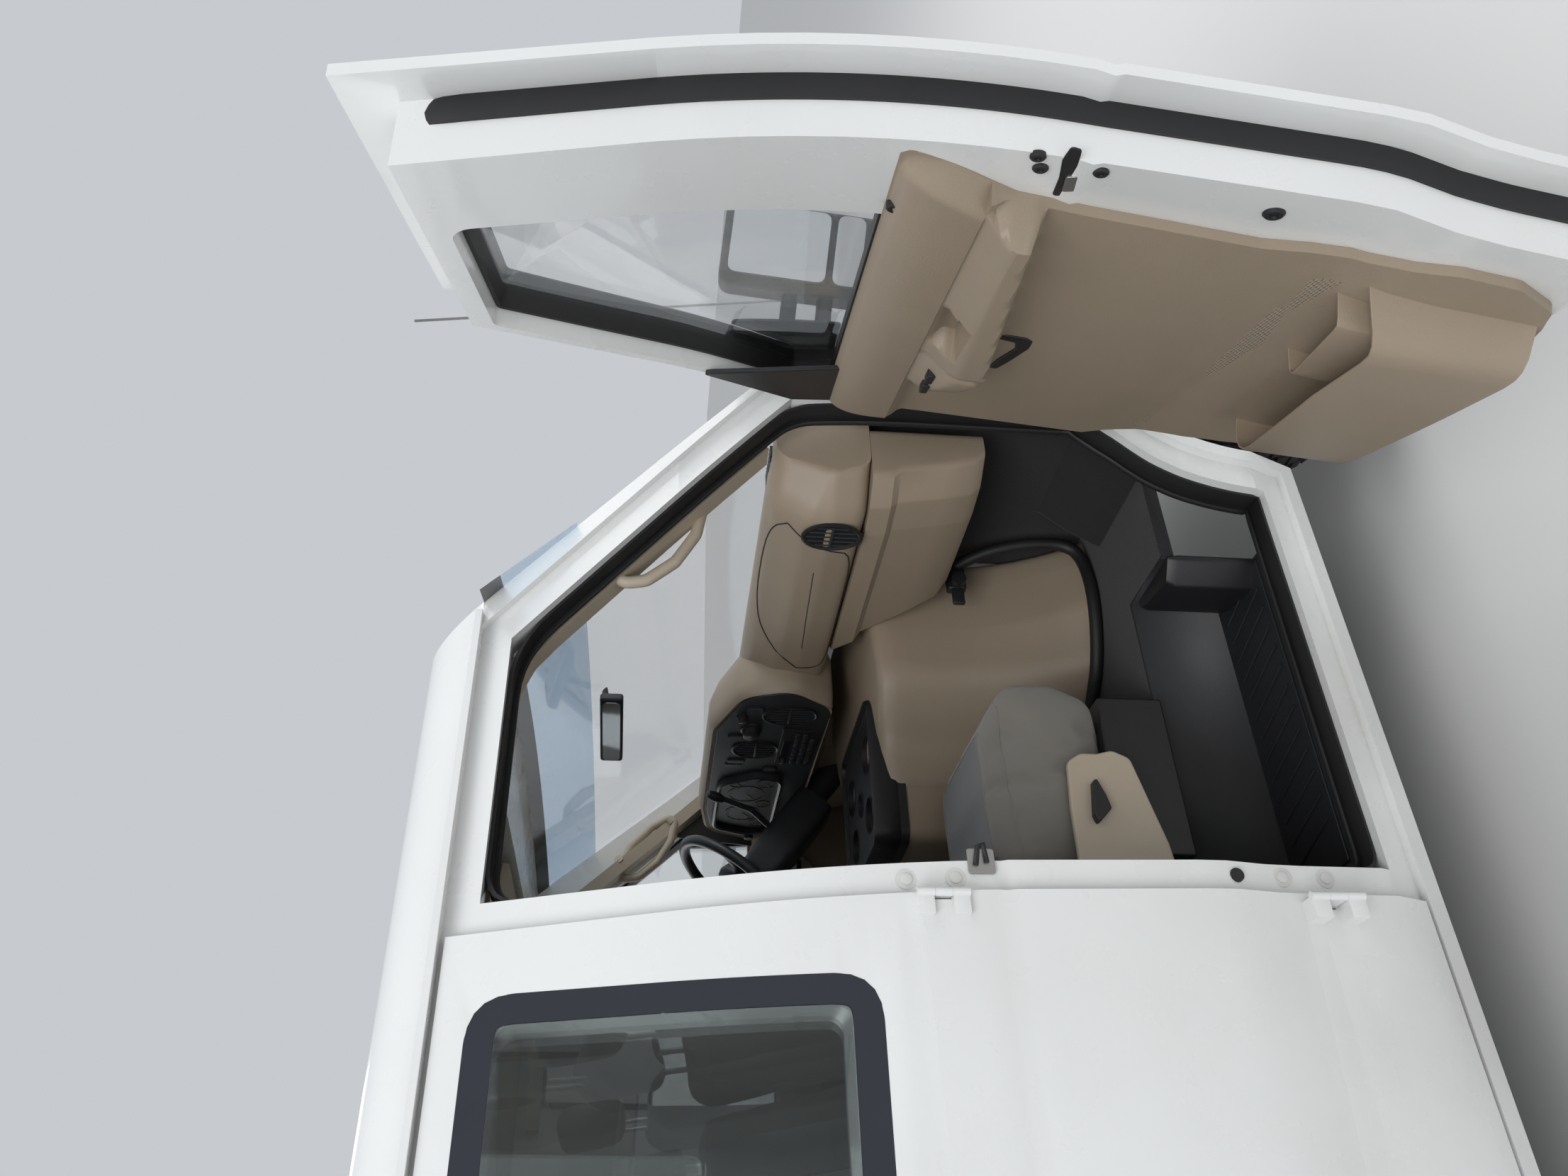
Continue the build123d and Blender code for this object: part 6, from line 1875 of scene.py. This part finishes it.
@dataclass
class Seats:
    """Padded front seats and rear bench, with shields, levers, belts and headrest posts."""

    shop: Workshop
    middle_y: float = 0.465
    half: float = 0.245
    cushion: tuple = ((0.484, 0.756), (0.850, 0.744), (0.892, 0.830), (0.892, 0.925), (0.842, 0.952),
                      (0.484, 0.948))
    back: tuple = ((0.352, 0.892), (0.468, 0.892), (0.470, 0.985), (0.330, 1.628), (0.222, 1.628))
    head: tuple = ((0.232, 1.660), (0.306, 1.660), (0.280, 1.822), (0.204, 1.822))
    bench: tuple = ((-0.610, 0.706), (-0.142, 0.706), (-0.124, 0.950), (-0.158, 0.984), (-0.610, 0.966))
    bench_back: tuple = ((-0.748, 0.736), (-0.634, 0.736), (-0.636, 0.990), (-0.748, 1.626), (-0.838, 1.626))
    pressure: float = 4.0
    frames: int = 20
    quality: int = 4
    relaxing: int = 4
    welt_radius: float = 0.0024

    def build(self) -> None:
        """Builds the seats of both rows."""
        half = self.half
        rows = (
            # name, outline, half width, edge radius, voxel, cap, fill, insert half
            ("cushion", self.cushion, half - 0.010, 0.045, 0.010, 0.024, 0.75, 0.150),
            ("back", self.back, half - 0.016, 0.040, 0.011, 0.022, 0.75, 0.150),
            ("head", self.head, 0.122, 0.030, 0.007, 0.010, 0.85, 0.0),
        )
        for name, outline, wide, radius, voxel, cap, fill, insert in rows:
            y0, y1 = -self.middle_y - wide, -self.middle_y + wide
            pad = self.puffed(f"right_seat_{name}", outline, y0, y1, radius, voxel, cap)
            twin = self.shop.linked(f"left_seat_{name}", pad.data.copy())
            twin.data.transform(Matrix.Scale(-1.0, 4, (0.0, 1.0, 0.0)))
            twin.data.flip_normals()
            for piece, side in ((pad, -1), (twin, 1)):
                self.dress(piece, side * self.middle_y, insert, name, ["front_seats"])
        for name, outline, cap in (("bench_seat", self.bench, 0.026), ("bench_back", self.bench_back, 0.024)):
            pad = self.puffed(f"rear_{name}", outline, -0.548, 0.548, 0.045, 0.016, cap)
            self.dress(pad, 0.0, 0.0, name, ["rear_bench"])
        for side in (-1, 1):
            self.hardware(side)

    def puffed(self, name: str, outline: Sequence[Point], y0: float, y1: float, radius: float, voxel: float,
               cap: float) -> Piece:
        """A pad swollen by cloth simulation from a slightly smaller block.

        Args:
            name: The pad's name.
            outline: Its (x, z) outline.
            y0: Its first side.
            y1: Its second side.
            radius: Softness of its edges.
            voxel: Size of the remesh.
            cap: Farthest that a point may move.

        Returns:
            The pad.
        """
        scene = bpy.context.scene
        block = self.shop.slab(name, [(x, y0, z) for x, z in outline], (0.0, y1 - y0, 0.0))
        self.shop.soften(block, radius, 4, 20.0)
        remesh = block.modifiers.new("even", "REMESH")
        remesh.mode = "VOXEL"
        remesh.voxel_size = voxel
        relax = block.modifiers.new("relax", "SMOOTH")
        relax.iterations = self.relaxing
        start = self.baked(block)
        bpy.data.objects.remove(block)
        pad = self.shop.linked(name, start)
        before = [v.co.copy() for v in start.vertices]
        cloth = pad.modifiers.new("cloth", "CLOTH")
        cloth.settings.use_pressure = True
        cloth.settings.uniform_pressure_force = self.pressure
        cloth.settings.effector_weights.gravity = 0.0
        cloth.settings.quality = self.quality
        cloth.point_cache.frame_start = 1
        cloth.point_cache.frame_end = self.frames
        for frame in range(1, self.frames + 1):
            scene.frame_set(frame)
        swollen = self.baked(pad)
        pad.modifiers.remove(cloth)
        for vertex, home in zip(swollen.vertices, before):
            move = vertex.co - home
            if move.length > cap:
                vertex.co = home + move * (cap / move.length)
        pad.data = swollen
        scene.frame_set(1)
        self.shop.shade(pad.data)
        return pad

    @staticmethod
    def baked(piece: Piece) -> bpy.types.Mesh:
        """A new mesh with the piece's modifiers applied."""
        return bpy.data.meshes.new_from_object(piece.evaluated_get(bpy.context.evaluated_depsgraph_get()))

    def dress(self, pad: Piece, middle: float, insert: float, name: str,
              replaces: Sequence[str]) -> None:
        """Adds the darker insert, a level of subdivision and welts, and gives the pad its finish and body.

        Args:
            pad: The pad.
            middle: Its middle's y.
            insert: Half width of the woven insert, or 0.
            name: Which pad it is.
            replaces: CAD nodes that it stands for.
        """
        smooth = pad.modifiers.new("smooth", "SUBSURF")
        smooth.levels = 1
        smooth.render_levels = 1
        pad.data.materials.clear()
        self.shop.finish(pad, "body", CLOTH, replaces)
        tree = BVHTree.FromObject(pad, bpy.context.evaluated_depsgraph_get())
        if insert:
            pad.data.materials.append(INSERT_CLOTH.material(self.shop.effects))
            for polygon in pad.data.polygons:
                if abs(polygon.center.y - middle) < insert and self.on_show(polygon.center, name):
                    polygon.material_index = 1
        for index, path in enumerate(self.seams(name, middle, insert)):
            spots = [self.onto(tree, Vector(start), Vector(way)) for start, way in path]
            spots = [p for p in spots if p is not None]
            if len(spots) > 2:
                welt = self.shop.tube(f"{pad.name}_welt_{index}", spots, self.welt_radius, steps=2)
                self.shop.finish(welt, "body", CLOTH)

    @staticmethod
    def on_show(spot: Vector, name: str) -> bool:
        """Whether a point of a pad lies on its woven face."""
        if name == "cushion":
            return spot.z > 0.90 and spot.x < 0.800
        return spot.x > 0.36 - (spot.z - 1.0) * 0.16 and 1.02 < spot.z < 1.52

    @staticmethod
    def onto(tree: BVHTree, start: Vector, way: Vector) -> Vector | None:
        """The point where a ray meets the pad."""
        spot, _, _, _ = tree.ray_cast(start, way.normalized())
        return spot

    def seams(self, name: str, middle: float, insert: float) -> list[list[tuple[Point, Point]]]:
        """Seam paths as rays towards the pad: along the bolsters and round its sides."""
        down, rear = (0.0, 0.0, -1.0), (-1.0, 0.0, -0.15)
        paths = []
        if name == "cushion":
            for side in (-1, 1):
                paths.append([((0.50 + 0.02 * i, middle + side * insert, 1.2), down) for i in range(16)])
                wide = self.half - 0.008
                out = middle + side * (wide + 0.2)
                paths.append([((0.50 + 0.0205 * i, out, 0.935 + 0.0006 * i), (0.0, -side, 0.0))
                              for i in range(18)])
            paths.append([((0.800, middle - insert + 2 * insert * i / 14, 1.2), down) for i in range(15)])
        if name == "back":
            for side in (-1, 1):
                paths.append([((0.9, middle + side * insert, 1.04 + 0.03 * i), rear) for i in range(17)])
            for z in (1.09, 1.52):
                paths.append([((0.9, middle - insert + 2 * insert * i / 14, z), rear) for i in range(15)])
        for y in (-0.19, 0.19):
            if name == "bench_seat":
                paths.append([((-0.60 + 0.03 * i, y, 1.2), down) for i in range(15)])
            if name == "bench_back":
                paths.append([((-0.30, y, 1.02 + 0.04 * i), rear) for i in range(15)])
        return paths

    def hardware(self, side: int) -> None:
        """Side shield with its lever, belt buckle, belt webbing and headrest posts."""
        word = "left" if side > 0 else "right"
        outer = side * (self.middle_y + self.half)
        edge = [(0.440, 0.845), (0.598, 0.842), (0.690, 0.834), (0.708, 0.806), (0.708, 0.772),
                (0.716, 0.740), (0.700, 0.706), (0.524, 0.664), (0.440, 0.655)]
        loop = [(p.x, outer, p.y) for p in rounded(edge, 0.022)]
        shield = self.shop.slab(f"{word}_seat_shield", loop, (0.0, side * 0.016, 0.0))
        self.shop.soften(shield, 0.005, 3)
        self.shop.finish(shield, "body", PALE_BEIGE)
        edge = [(0.556, 0.800), (0.575, 0.806), (0.642, 0.797), (0.646, 0.789), (0.612, 0.776),
                (0.586, 0.770)]
        loop = [(p.x, outer + side * 0.014, p.y) for p in rounded(edge, 0.006)]
        lever = self.shop.slab(f"{word}_seat_lever", loop, (0.0, side * 0.020, 0.0))
        self.shop.soften(lever, 0.004, 3)
        self.shop.finish(lever, "body", BLACK_TRIM)
        inner = side * (self.middle_y - self.half - 0.010)
        stalk = [(0.470, inner, 0.780), (0.480, inner, 0.860), (0.500, inner - side * 0.004, 0.960)]
        strap = self.shop.tube("stalk", stalk, 0.010)
        low, high = (0.484, inner - 0.014, 0.950), (0.524, inner + 0.014, 1.030)
        buckle = self.shop.brick("buckle", low, high, 0.006)
        self.shop.finish(self.shop.join(f"{word}_belt_buckle", [strap, buckle]), "body", BLACK_TRIM)
        for y in (-0.055, 0.055):
            spot = side * self.middle_y + y
            post = self.shop.tube(f"{word}_head_post_{'inner' if y * side < 0 else 'outer'}",
                                  [(0.262, spot, 1.600), (0.252, spot, 1.690)], 0.006)
            self.shop.finish(post, "body", STEEL)
        belt = [(0.275, side * 0.905, 1.700), (0.300, side * 0.890, 1.500), (0.345, side * 0.862, 1.200),
                (0.385, side * 0.850, 0.900), (0.400, side * 0.848, 0.640)]
        rings = []
        for x, y, z in belt:
            rings.append([Vector((x + dx, y + dy, z)) for dx, dy in oblong(-0.023, -0.0008, 0.023, 0.0008)])
        webbing = self.shop.loft(f"{word}_belt", rings)
        self.shop.finish(webbing, "body", BLACK_TRIM)


@dataclass
class CabTrim:
    """Pillar trim, grab handles, step mats, kick boxes, inside mirror glass and the windshield's bands."""

    shop: Workshop
    screen_line: float = 2.863
    screen_bow: float = 0.130
    screen_half: float = 0.960
    band_half: float = 0.905

    def build(self) -> None:
        """Builds both sides and the middle."""
        for side, word in ((-1, "right"), (1, "left")):
            panel = SidePanel(self.shop, side, "body")
            self.pillar(panel, word)
            self.grab(side, word)
            self.step_mat(side, word)
            self.kick_box(side, word)
        self.mirror()
        self.tint()

    def screen(self, y: float, z: float, off: float) -> Vector:
        """A point off the windshield's outer face, inward for a negative distance."""
        bow = self.screen_bow * (1.0 - (y / self.screen_half) ** 2)
        half = off * math.sqrt(0.5)
        return Vector((self.screen_line + bow - z + half, y, z + half))

    def pillar(self, panel: SidePanel, word: str) -> None:
        """Beige moulding up the windshield pillar and back along the roof's edge."""
        path = [(1.322, 1.425), (1.225, 1.522), (1.120, 1.627), (1.010, 1.737), (0.915, 1.832),
                (0.872, 1.870), (0.820, 1.893), (0.740, 1.900), (0.600, 1.902), (0.450, 1.902),
                (0.300, 1.900)]
        strip = [(x - 0.010, z - 0.010) for x, z in path]
        panel.band(f"{word}_pillar_trim", PALE_BEIGE, strip, 0.0985, 0.150, -0.036, False, 0.006)

    def grab(self, side: int, word: str) -> None:
        """The long D handle on the pillar."""
        centre = ((1.013, 1.708), (1.022, 1.656), (1.070, 1.600), (1.140, 1.560), (1.205, 1.548),
                  (1.218, 1.566), (1.185, 1.620), (1.120, 1.682), (1.060, 1.712))
        loop = [(p.x, side * 0.800, p.y) for p in rounded(centre, 0.030, 4)]
        handle = self.shop.tube(f"{word}_grab_loop", loop, 0.0125, True, steps=4)
        feet = []
        for x, z in ((1.200, 1.556), (1.050, 1.704)):
            path = [(x, side * 0.800, z), (x + 0.014, side * SIDE.y(z, 0.150), z + 0.014)]
            feet.append(self.shop.tube("foot", path, 0.014, steps=4))
        self.shop.finish(self.shop.join(f"{word}_grab_handle", [handle, *feet]), "body", PALE_BEIGE,
                         ["grab_handles"])

    def step_mat(self, side: int, word: str) -> None:
        """The moulded step mat with its slanting ribs."""
        base = self.shop.brick("base", (0.450, side * 0.652, 0.3912), (1.108, side * 0.842, 0.3955), 0.001, 1)
        ribs = [base]
        for index in range(13):
            x = 0.495 + 0.046 * index
            path = [(x, side * 0.680, 0.397), (x + 0.046, side * 0.826, 0.397)]
            ribs.append(self.shop.tube("rib", path, 0.0030, steps=1))
        mat = self.shop.join(f"{word}_step_mat", ribs)
        self.shop.finish(mat, "body", MAT)

    def kick_box(self, side: int, word: str) -> None:
        """The moulded box ahead of the step, over the wheelhouse."""
        rings = []
        for z in (0.3925, 0.560, 0.580):
            shrink = 0.0 if z < 0.57 else 0.010
            plan = [(1.060 + shrink, 0.800), (1.100 + shrink, 0.840 - shrink), (1.115, 0.840 - shrink),
                    (1.115, 0.655 + shrink), (1.095, 0.655 + shrink), (1.075 + shrink, 0.700)]
            rings.append([Vector((p.x, side * p.y, z)) for p in rounded(plan, 0.012, 3)])
        box = self.shop.loft(f"{word}_kick_box", rings, smooth=45.0)
        self.shop.finish(box, "body", BLACK_TRIM)

    def mirror(self) -> None:
        """The inside mirror's glass."""
        turn = Matrix.Translation((1.115, 0.0, 1.735)) @ Matrix.Rotation(math.radians(12.0), 4, "Z")
        edge = [turn @ Vector((-0.0132, y, z)) for y, z in soft(oblong(-0.113, -0.022, 0.113, 0.022), 0.012)]
        glass = self.shop.slab("inside_mirror_glass", edge, (-0.0012, 0.0, 0.0))
        self.shop.finish(glass, "body", MIRROR)

    def tint(self) -> None:
        """The blue shade band along the top of the windshield, and the black borders above and below."""
        rows = 24
        for name, finish, z0, z1, off in (("tint_band", TINT_BAND, 1.795, 1.945, -0.0057),
                                          ("screen_frit_top", FRIT, 1.925, 1.958, -0.0062),
                                          ("screen_frit_foot", FRIT, 1.186, 1.232, -0.0062)):
            sections = []
            for index in range(rows + 1):
                y = -self.band_half + 2 * self.band_half * index / rows
                corners = oblong(z0, 0.0, z1, 0.0005)
                sections.append([self.screen(y, z, off - d) for z, d in corners])
            piece = self.shop.loft(name, sections)
            self.shop.finish(piece, "body", finish)


@dataclass
class Wheels:
    """Treaded tyres, wheel nuts, centre caps and valves at the four corners."""

    shop: Workshop
    axle_x: float = 1.7525
    front_y: float = 0.8815
    rear_y: float = 0.851
    centre_z: float = 0.3865
    radius: float = 0.3865
    pitches: int = 54
    block_height: float = 0.0125
    block_sink: float = 0.00655
    nut_count: int = 8
    nut_circle: float = 0.100
    profile: tuple = (
        # radius, distance outboard from the wheel's middle plane
        (0.203, -0.0942), (0.221, -0.0942), (0.229, -0.1080), (0.236, -0.1125), (0.262, -0.1190),
        (0.288, -0.1225), (0.318, -0.1205), (0.3465, -0.1145), (0.362, -0.1060), (0.3700, -0.0985),
        (0.3770, -0.0880), (0.3772, -0.0560), (0.3772, 0.0560), (0.3770, 0.0880), (0.3700, 0.0985),
        (0.362, 0.1060), (0.3465, 0.1145), (0.318, 0.1205), (0.288, 0.1225), (0.262, 0.1190), (0.236, 0.1125),
        (0.229, 0.1080), (0.221, 0.0942), (0.203, 0.0942),
    )
    rows: tuple = (
        # distance outboard, half width, half length, turn in pitches
        (-0.0845, 0.0120, 0.0150, 0.0), (-0.0480, 0.0185, 0.0165, 0.5), (0.0, 0.0215, 0.0175, 0.0),
        (0.0480, 0.0185, 0.0165, 0.5), (0.0845, 0.0120, 0.0150, 0.0),
    )

    def build(self) -> None:
        """Builds all four corners."""
        for end, x, y in (("front", self.axle_x, self.front_y), ("rear", -self.axle_x, self.rear_y)):
            for side, word in ((1, "left"), (-1, "right")):
                self.corner(f"{end}_{word}", Vector((x, side * y, self.centre_z)), side)

    def corner(self, where: str, centre: Vector, side: int) -> None:
        """One tyre, its wheel's nuts, cap and valve."""
        body = f"wheel_{where}"
        bm = bmesh.new()
        self.shop.spin(bm, [(0.0, d, r) for r, d in self.profile], (0, 1, 0), 72, True)
        for offset, wide, long, turn in self.rows:
            made = bmesh.ops.create_cube(bm, size=1.0)["verts"]
            bmesh.ops.scale(bm, vec=(2 * long, 2 * wide, self.block_height), verts=made)
            bmesh.ops.translate(bm, vec=(0.0, offset, self.radius - self.block_sink), verts=made)
            angle = math.tau / self.pitches
            bmesh.ops.rotate(bm, cent=(0, 0, 0), matrix=Matrix.Rotation(angle * turn, 3, "Y"), verts=made)
            faces = list({f for v in made for f in v.link_faces})
            first = list(made) + list({e for v in made for e in v.link_edges}) + faces
            bmesh.ops.spin(bm, geom=first, cent=(0, 0, 0), axis=(0, 1, 0), angle=math.tau, steps=self.pitches,
                           use_duplicate=True)
            bmesh.ops.delete(bm, geom=made, context="VERTS")
        tyre = self.shop.from_bmesh(f"{where}_tyre", bm, Matrix.Translation(centre), 30.0)
        self.shop.finish(tyre, body, TYRE, [f"tyre_{where}"])
        nuts = []
        rows = ((0.0125, 0.0), (0.0125, 0.016), (0.008, 0.021), (0.0, 0.021))
        for index in range(self.nut_count):
            turn = math.tau * (index + 0.5) / self.nut_count
            spot = Vector((self.nut_circle * math.cos(turn), side * 0.0295, self.nut_circle * math.sin(turn)))
            nuts.append(self.shop.turned("nut", rows, centre + spot, (0.0, side, 0.0), 6))
        self.shop.finish(self.shop.join(f"{where}_nuts", nuts), body, STEEL)
        rows = ((0.069, 0.0595), (0.066, 0.068), (0.050, 0.074), (0.030, 0.076), (0.0, 0.0765))
        cap = self.shop.turned(f"{where}_cap", rows, centre, (0.0, side, 0.0), 36)
        self.shop.finish(cap, body, CHROME)
        stem = [centre + Vector((0.0, side * 0.076, 0.176)), centre + Vector((0.0, side * 0.108, 0.168))]
        self.shop.finish(self.shop.tube(f"{where}_valve", stem, 0.004), body, BLACK_TRIM)


@dataclass
class Ends:
    """Front lamps' bowls and bezels, rear doors' frit, pulls and handle, stop lamp and rear bumper pad."""

    shop: Workshop
    rear_x: float = -2.830
    lamp_x: float = -2.8262
    nose_x: float = 2.418

    def build(self) -> None:
        """Builds the nose and the tail."""
        self.lamps()
        self.rear_doors()
        self.bumpers()

    def lamps(self) -> None:
        """Bezels round the front lamps, with bowls behind the lenses."""
        for side, word in ((-1, "right"), (1, "left")):
            face = Facia(self.shop, f"{word}_lamp", self.nose_x, way=1.0)
            frame = soft(oblong(side * 0.540, 0.744, side * 0.862, 0.948), 0.02)
            bowl = ((0.072, 0.010), (0.060, -0.018), (0.034, -0.040), (0.012, -0.046), (0.0, -0.046))
            spot = (2.372, side * 0.700, 0.846)
            dish = self.shop.turned(f"{word}_reflector", bowl, spot, (1.0, 0.0, 0.0), 32)
            self.shop.finish(dish, "body", CHROME)
            section = ((0.006, -0.010), (0.006, 0.002), (-0.004, 0.003), (-0.004, -0.010))
            face.hoop("bezel", CHROME, frame, section)

    def rear_doors(self) -> None:
        """Frit, edge pulls and handle of the rear doors, and the high stop lamp."""
        for side, word in ((-1, "right"), (1, "left")):
            face = Facia(self.shop, "tail", self.rear_x, f"{word}_rear_door")
            corners = [(side * y, z) for y,
                       z in ((0.081, 1.251), (0.804, 1.251), (0.714, 1.859), (0.081, 1.859))]
            loop = soft(corners, 0.05)
            section = ((-0.001, -0.0005), (-0.001, 0.0008), (-0.028, 0.0008), (-0.028, -0.0005))
            face.hoop(f"{word}_frit", FRIT, loop, section)
            pull = oblong(side * 0.055, 1.0, side * 0.082, 1.12)
            face.plate(f"{word}_edge_pull", BLACK_TRIM, pull, 0.0, 0.0022, 0.0008)
        face = Facia(self.shop, "tail", self.rear_x, "right_rear_door")
        frame = soft(oblong(-0.250, 0.985, -0.080, 1.058), 0.012)
        face.plate("handle_frame", BLACK_TRIM, frame, -0.0005, 0.004, 0.002)
        grip = soft(oblong(-0.236, 1.006, -0.094, 1.048), 0.012)
        face.plate("handle", BLACK_TRIM, grip, 0.004, 0.012, 0.003)
        roof = Facia(self.shop, "roof", self.lamp_x)
        stop = soft(oblong(-0.130, 1.985, 0.130, 2.015), 0.008)
        roof.plate("stop_lamp", RED_LENS, stop, -0.002, 0.006, 0.002)

    def bumpers(self) -> None:
        """The ribbed black step pad on the rear bumper."""
        low, high = (-2.870, -0.720, 0.5702), (-2.780, 0.720, 0.5745)
        self.shop.finish(self.shop.brick("rear_bumper_pad", low, high, 0.0015, 1), "body", BLACK_TRIM)
        ribs = [self.shop.brick("rib", (x, -0.700, 0.5740), (x + 0.005, 0.700, 0.5775), 0.001, 1)
                for x in (-2.864 + 0.010 * index for index in range(9))]
        self.shop.finish(self.shop.join("rear_bumper_ribs", ribs), "body", BLACK_TRIM)


# Dressed CAD nodes


@dataclass
class PlainNodes:
    """CAD nodes that keep their own shape, with soft edges and a finish."""

    table: tuple = (
        # node, finish, bevel width
        ("body_side_left", PAINT, 0.003), ("body_side_right", PAINT, 0.003), ("roof", PAINT, 0.003),
        ("nose", PAINT, 0.006), ("hood", PAINT, 0.006), ("bumpers", CHROME, 0.008),
        ("left_front_door_shell", PAINT, 0.003), ("right_front_door_shell", PAINT, 0.003),
        ("side_door_front_shell", PAINT, 0.003), ("side_door_rear_shell", PAINT, 0.003),
        ("left_rear_door_shell", PAINT, 0.003), ("right_rear_door_shell", PAINT, 0.003),
        ("left_front_door_mirror", BLACK_TRIM, 0.004), ("right_front_door_mirror", BLACK_TRIM, 0.004),
        ("left_front_door_glass", CLEAR_GLASS, 0.0), ("right_front_door_glass", CLEAR_GLASS, 0.0),
        ("side_door_front_glass", TINTED, 0.0), ("side_door_rear_glass", TINTED, 0.0),
        ("side_glass", TINTED, 0.0), ("left_rear_door_glass", TINTED, 0.0),
        ("right_rear_door_glass", TINTED, 0.0), ("windshield", CLEAR_GLASS, 0.0),
        ("floor_pan", CARPET, 0.003), ("floor_wells", MAT, 0.0), ("firewall", CARPET, 0.003),
        ("frame_rails", CHASSIS, 0.002), ("grille", CHROME, 0.003), ("front_lamps", LENS, 0.004),
        ("tail_lamps", RED_LENS, 0.004), ("steering_column", GREY_TRIM, 0.004),
        ("engine_block", STEEL, 0.008), ("seat_frames", BLACK_TRIM, 0.006), ("headliner", LINER, 0.003),
        ("inside_mirror", BLACK_TRIM, 0.004), ("wipers", BLACK_TRIM, 0.001), ("antenna", STEEL, 0.0),
        ("exhaust", STEEL, 0.0), ("driveshaft", STEEL, 0.0), ("fuel_tank", CHASSIS, 0.02),
        ("rear_axle", CHASSIS, 0.002), ("front_beams", CHASSIS, 0.003), ("knuckle_left", STEEL, 0.002),
        ("knuckle_right", STEEL, 0.002),
    )

    def build(self, shop: Workshop) -> None:
        """Dresses every node of the table, and the wheels' rims."""
        for node, finish, bevel in self.table:
            shop.dressed_node(node, finish, bevel)
        for corner in ("front_left", "front_right", "rear_left", "rear_right"):
            shop.dressed_node(f"rim_{corner}", WHEEL_PAINT, 0.0015)


# Camera, floor and light


@dataclass(frozen=True)
class Studio:
    """The photo's camera over a pale floor, under soft light."""

    image_width: float = 2212.0
    focal_pixels: float = 1662.0
    yaw: float = 34.646
    pitch: float = 6.19
    roll: float = 2.262
    place: tuple[float, float, float] = (-0.305, -2.714, 1.636)
    sensor: float = 36.0
    floor_size: float = 60.0

    def camera(self, shop: Workshop) -> None:
        """Sets the camera where the photo was taken; the picture lies on its side."""
        yaw, pitch, roll = (math.radians(a) for a in (self.yaw, self.pitch, self.roll))
        ahead = Vector((math.sin(yaw) * math.cos(pitch), math.cos(yaw) * math.cos(pitch), -math.sin(pitch)))
        level = Vector((math.cos(yaw), -math.sin(yaw), 0.0))
        upright = level.cross(ahead)
        right = level * math.cos(roll) + upright * math.sin(roll)
        up = upright * math.cos(roll) - level * math.sin(roll)
        data = bpy.data.cameras.new("photo_camera")
        data.sensor_width = self.sensor
        data.lens = self.sensor * self.focal_pixels / self.image_width
        data.clip_end = 200.0
        camera = shop.linked("photo_camera", data)
        columns = Matrix((-up, right, -ahead)).transposed()
        camera.matrix_world = Matrix.Translation(self.place) @ columns.to_4x4()
        bpy.context.scene.camera = camera

    def floor(self, shop: Workshop) -> None:
        """Adds the pale floor."""
        bm = bmesh.new()
        bmesh.ops.create_grid(bm, x_segments=2, y_segments=2, size=self.floor_size / 2)
        floor = shop.from_bmesh("floor", bm)
        made = bpy.data.materials.new("floor_pale")
        made.use_nodes = True
        shader = made.node_tree.nodes["Principled BSDF"]
        shader.inputs["Base Color"].default_value = (0.70, 0.70, 0.69, 1.0)
        shader.inputs["Roughness"].default_value = 0.9
        floor.data.materials.append(made)

    def light(self, shop: Workshop) -> None:
        """Adds two large soft lamps and a pale sky."""
        lamps = (
            # name, place, aim, size, power
            ("key", (-5.0, -6.5, 6.5), (0.3, 0.0, 1.0), 5.0, 430.0),
            ("fill", (6.5, -3.5, 4.0), (0.9, -0.9, 1.0), 5.0, 190.0),
            ("back", (-1.0, 7.5, 5.0), (0.0, 0.0, 1.0), 6.0, 150.0),
        )
        for name, place, aim, size, power in lamps:
            data = bpy.data.lights.new(name, "AREA")
            data.shape = "SQUARE"
            data.size = size
            data.energy = power
            lamp = shop.linked(name, data)
            lamp.location = place
            lamp.rotation_euler = (Vector(aim) - Vector(place)).to_track_quat("-Z", "Y").to_euler()
        world = bpy.data.worlds.new("pale_sky")
        world.use_nodes = True
        back = world.node_tree.nodes["Background"]
        back.inputs["Color"].default_value = (0.92, 0.95, 1.0, 1.0)
        back.inputs["Strength"].default_value = 0.62
        bpy.context.scene.world = world
        bpy.context.scene.view_settings.view_transform = "Standard"


def main() -> None:
    """Builds the dressed van, piece by piece."""
    logging.basicConfig(level=logging.INFO, format="%(message)s")
    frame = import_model()
    shop = Workshop(frame)
    studio = Studio()
    studio.camera(shop)
    studio.floor(shop)
    studio.light(shop)
    FrontDoor(shop, -1, rest_angle=64.4).build()
    FrontDoor(shop, 1).build()
    for kind in (SideTrim, Dashboard, EngineCover, Steering, Seats, CabTrim, Wheels, Ends):
        kind(shop).build()
    PlainNodes().build(shop)
    LOG.info("%d pieces", shop.count)


if __name__ == "__main__":
    main()
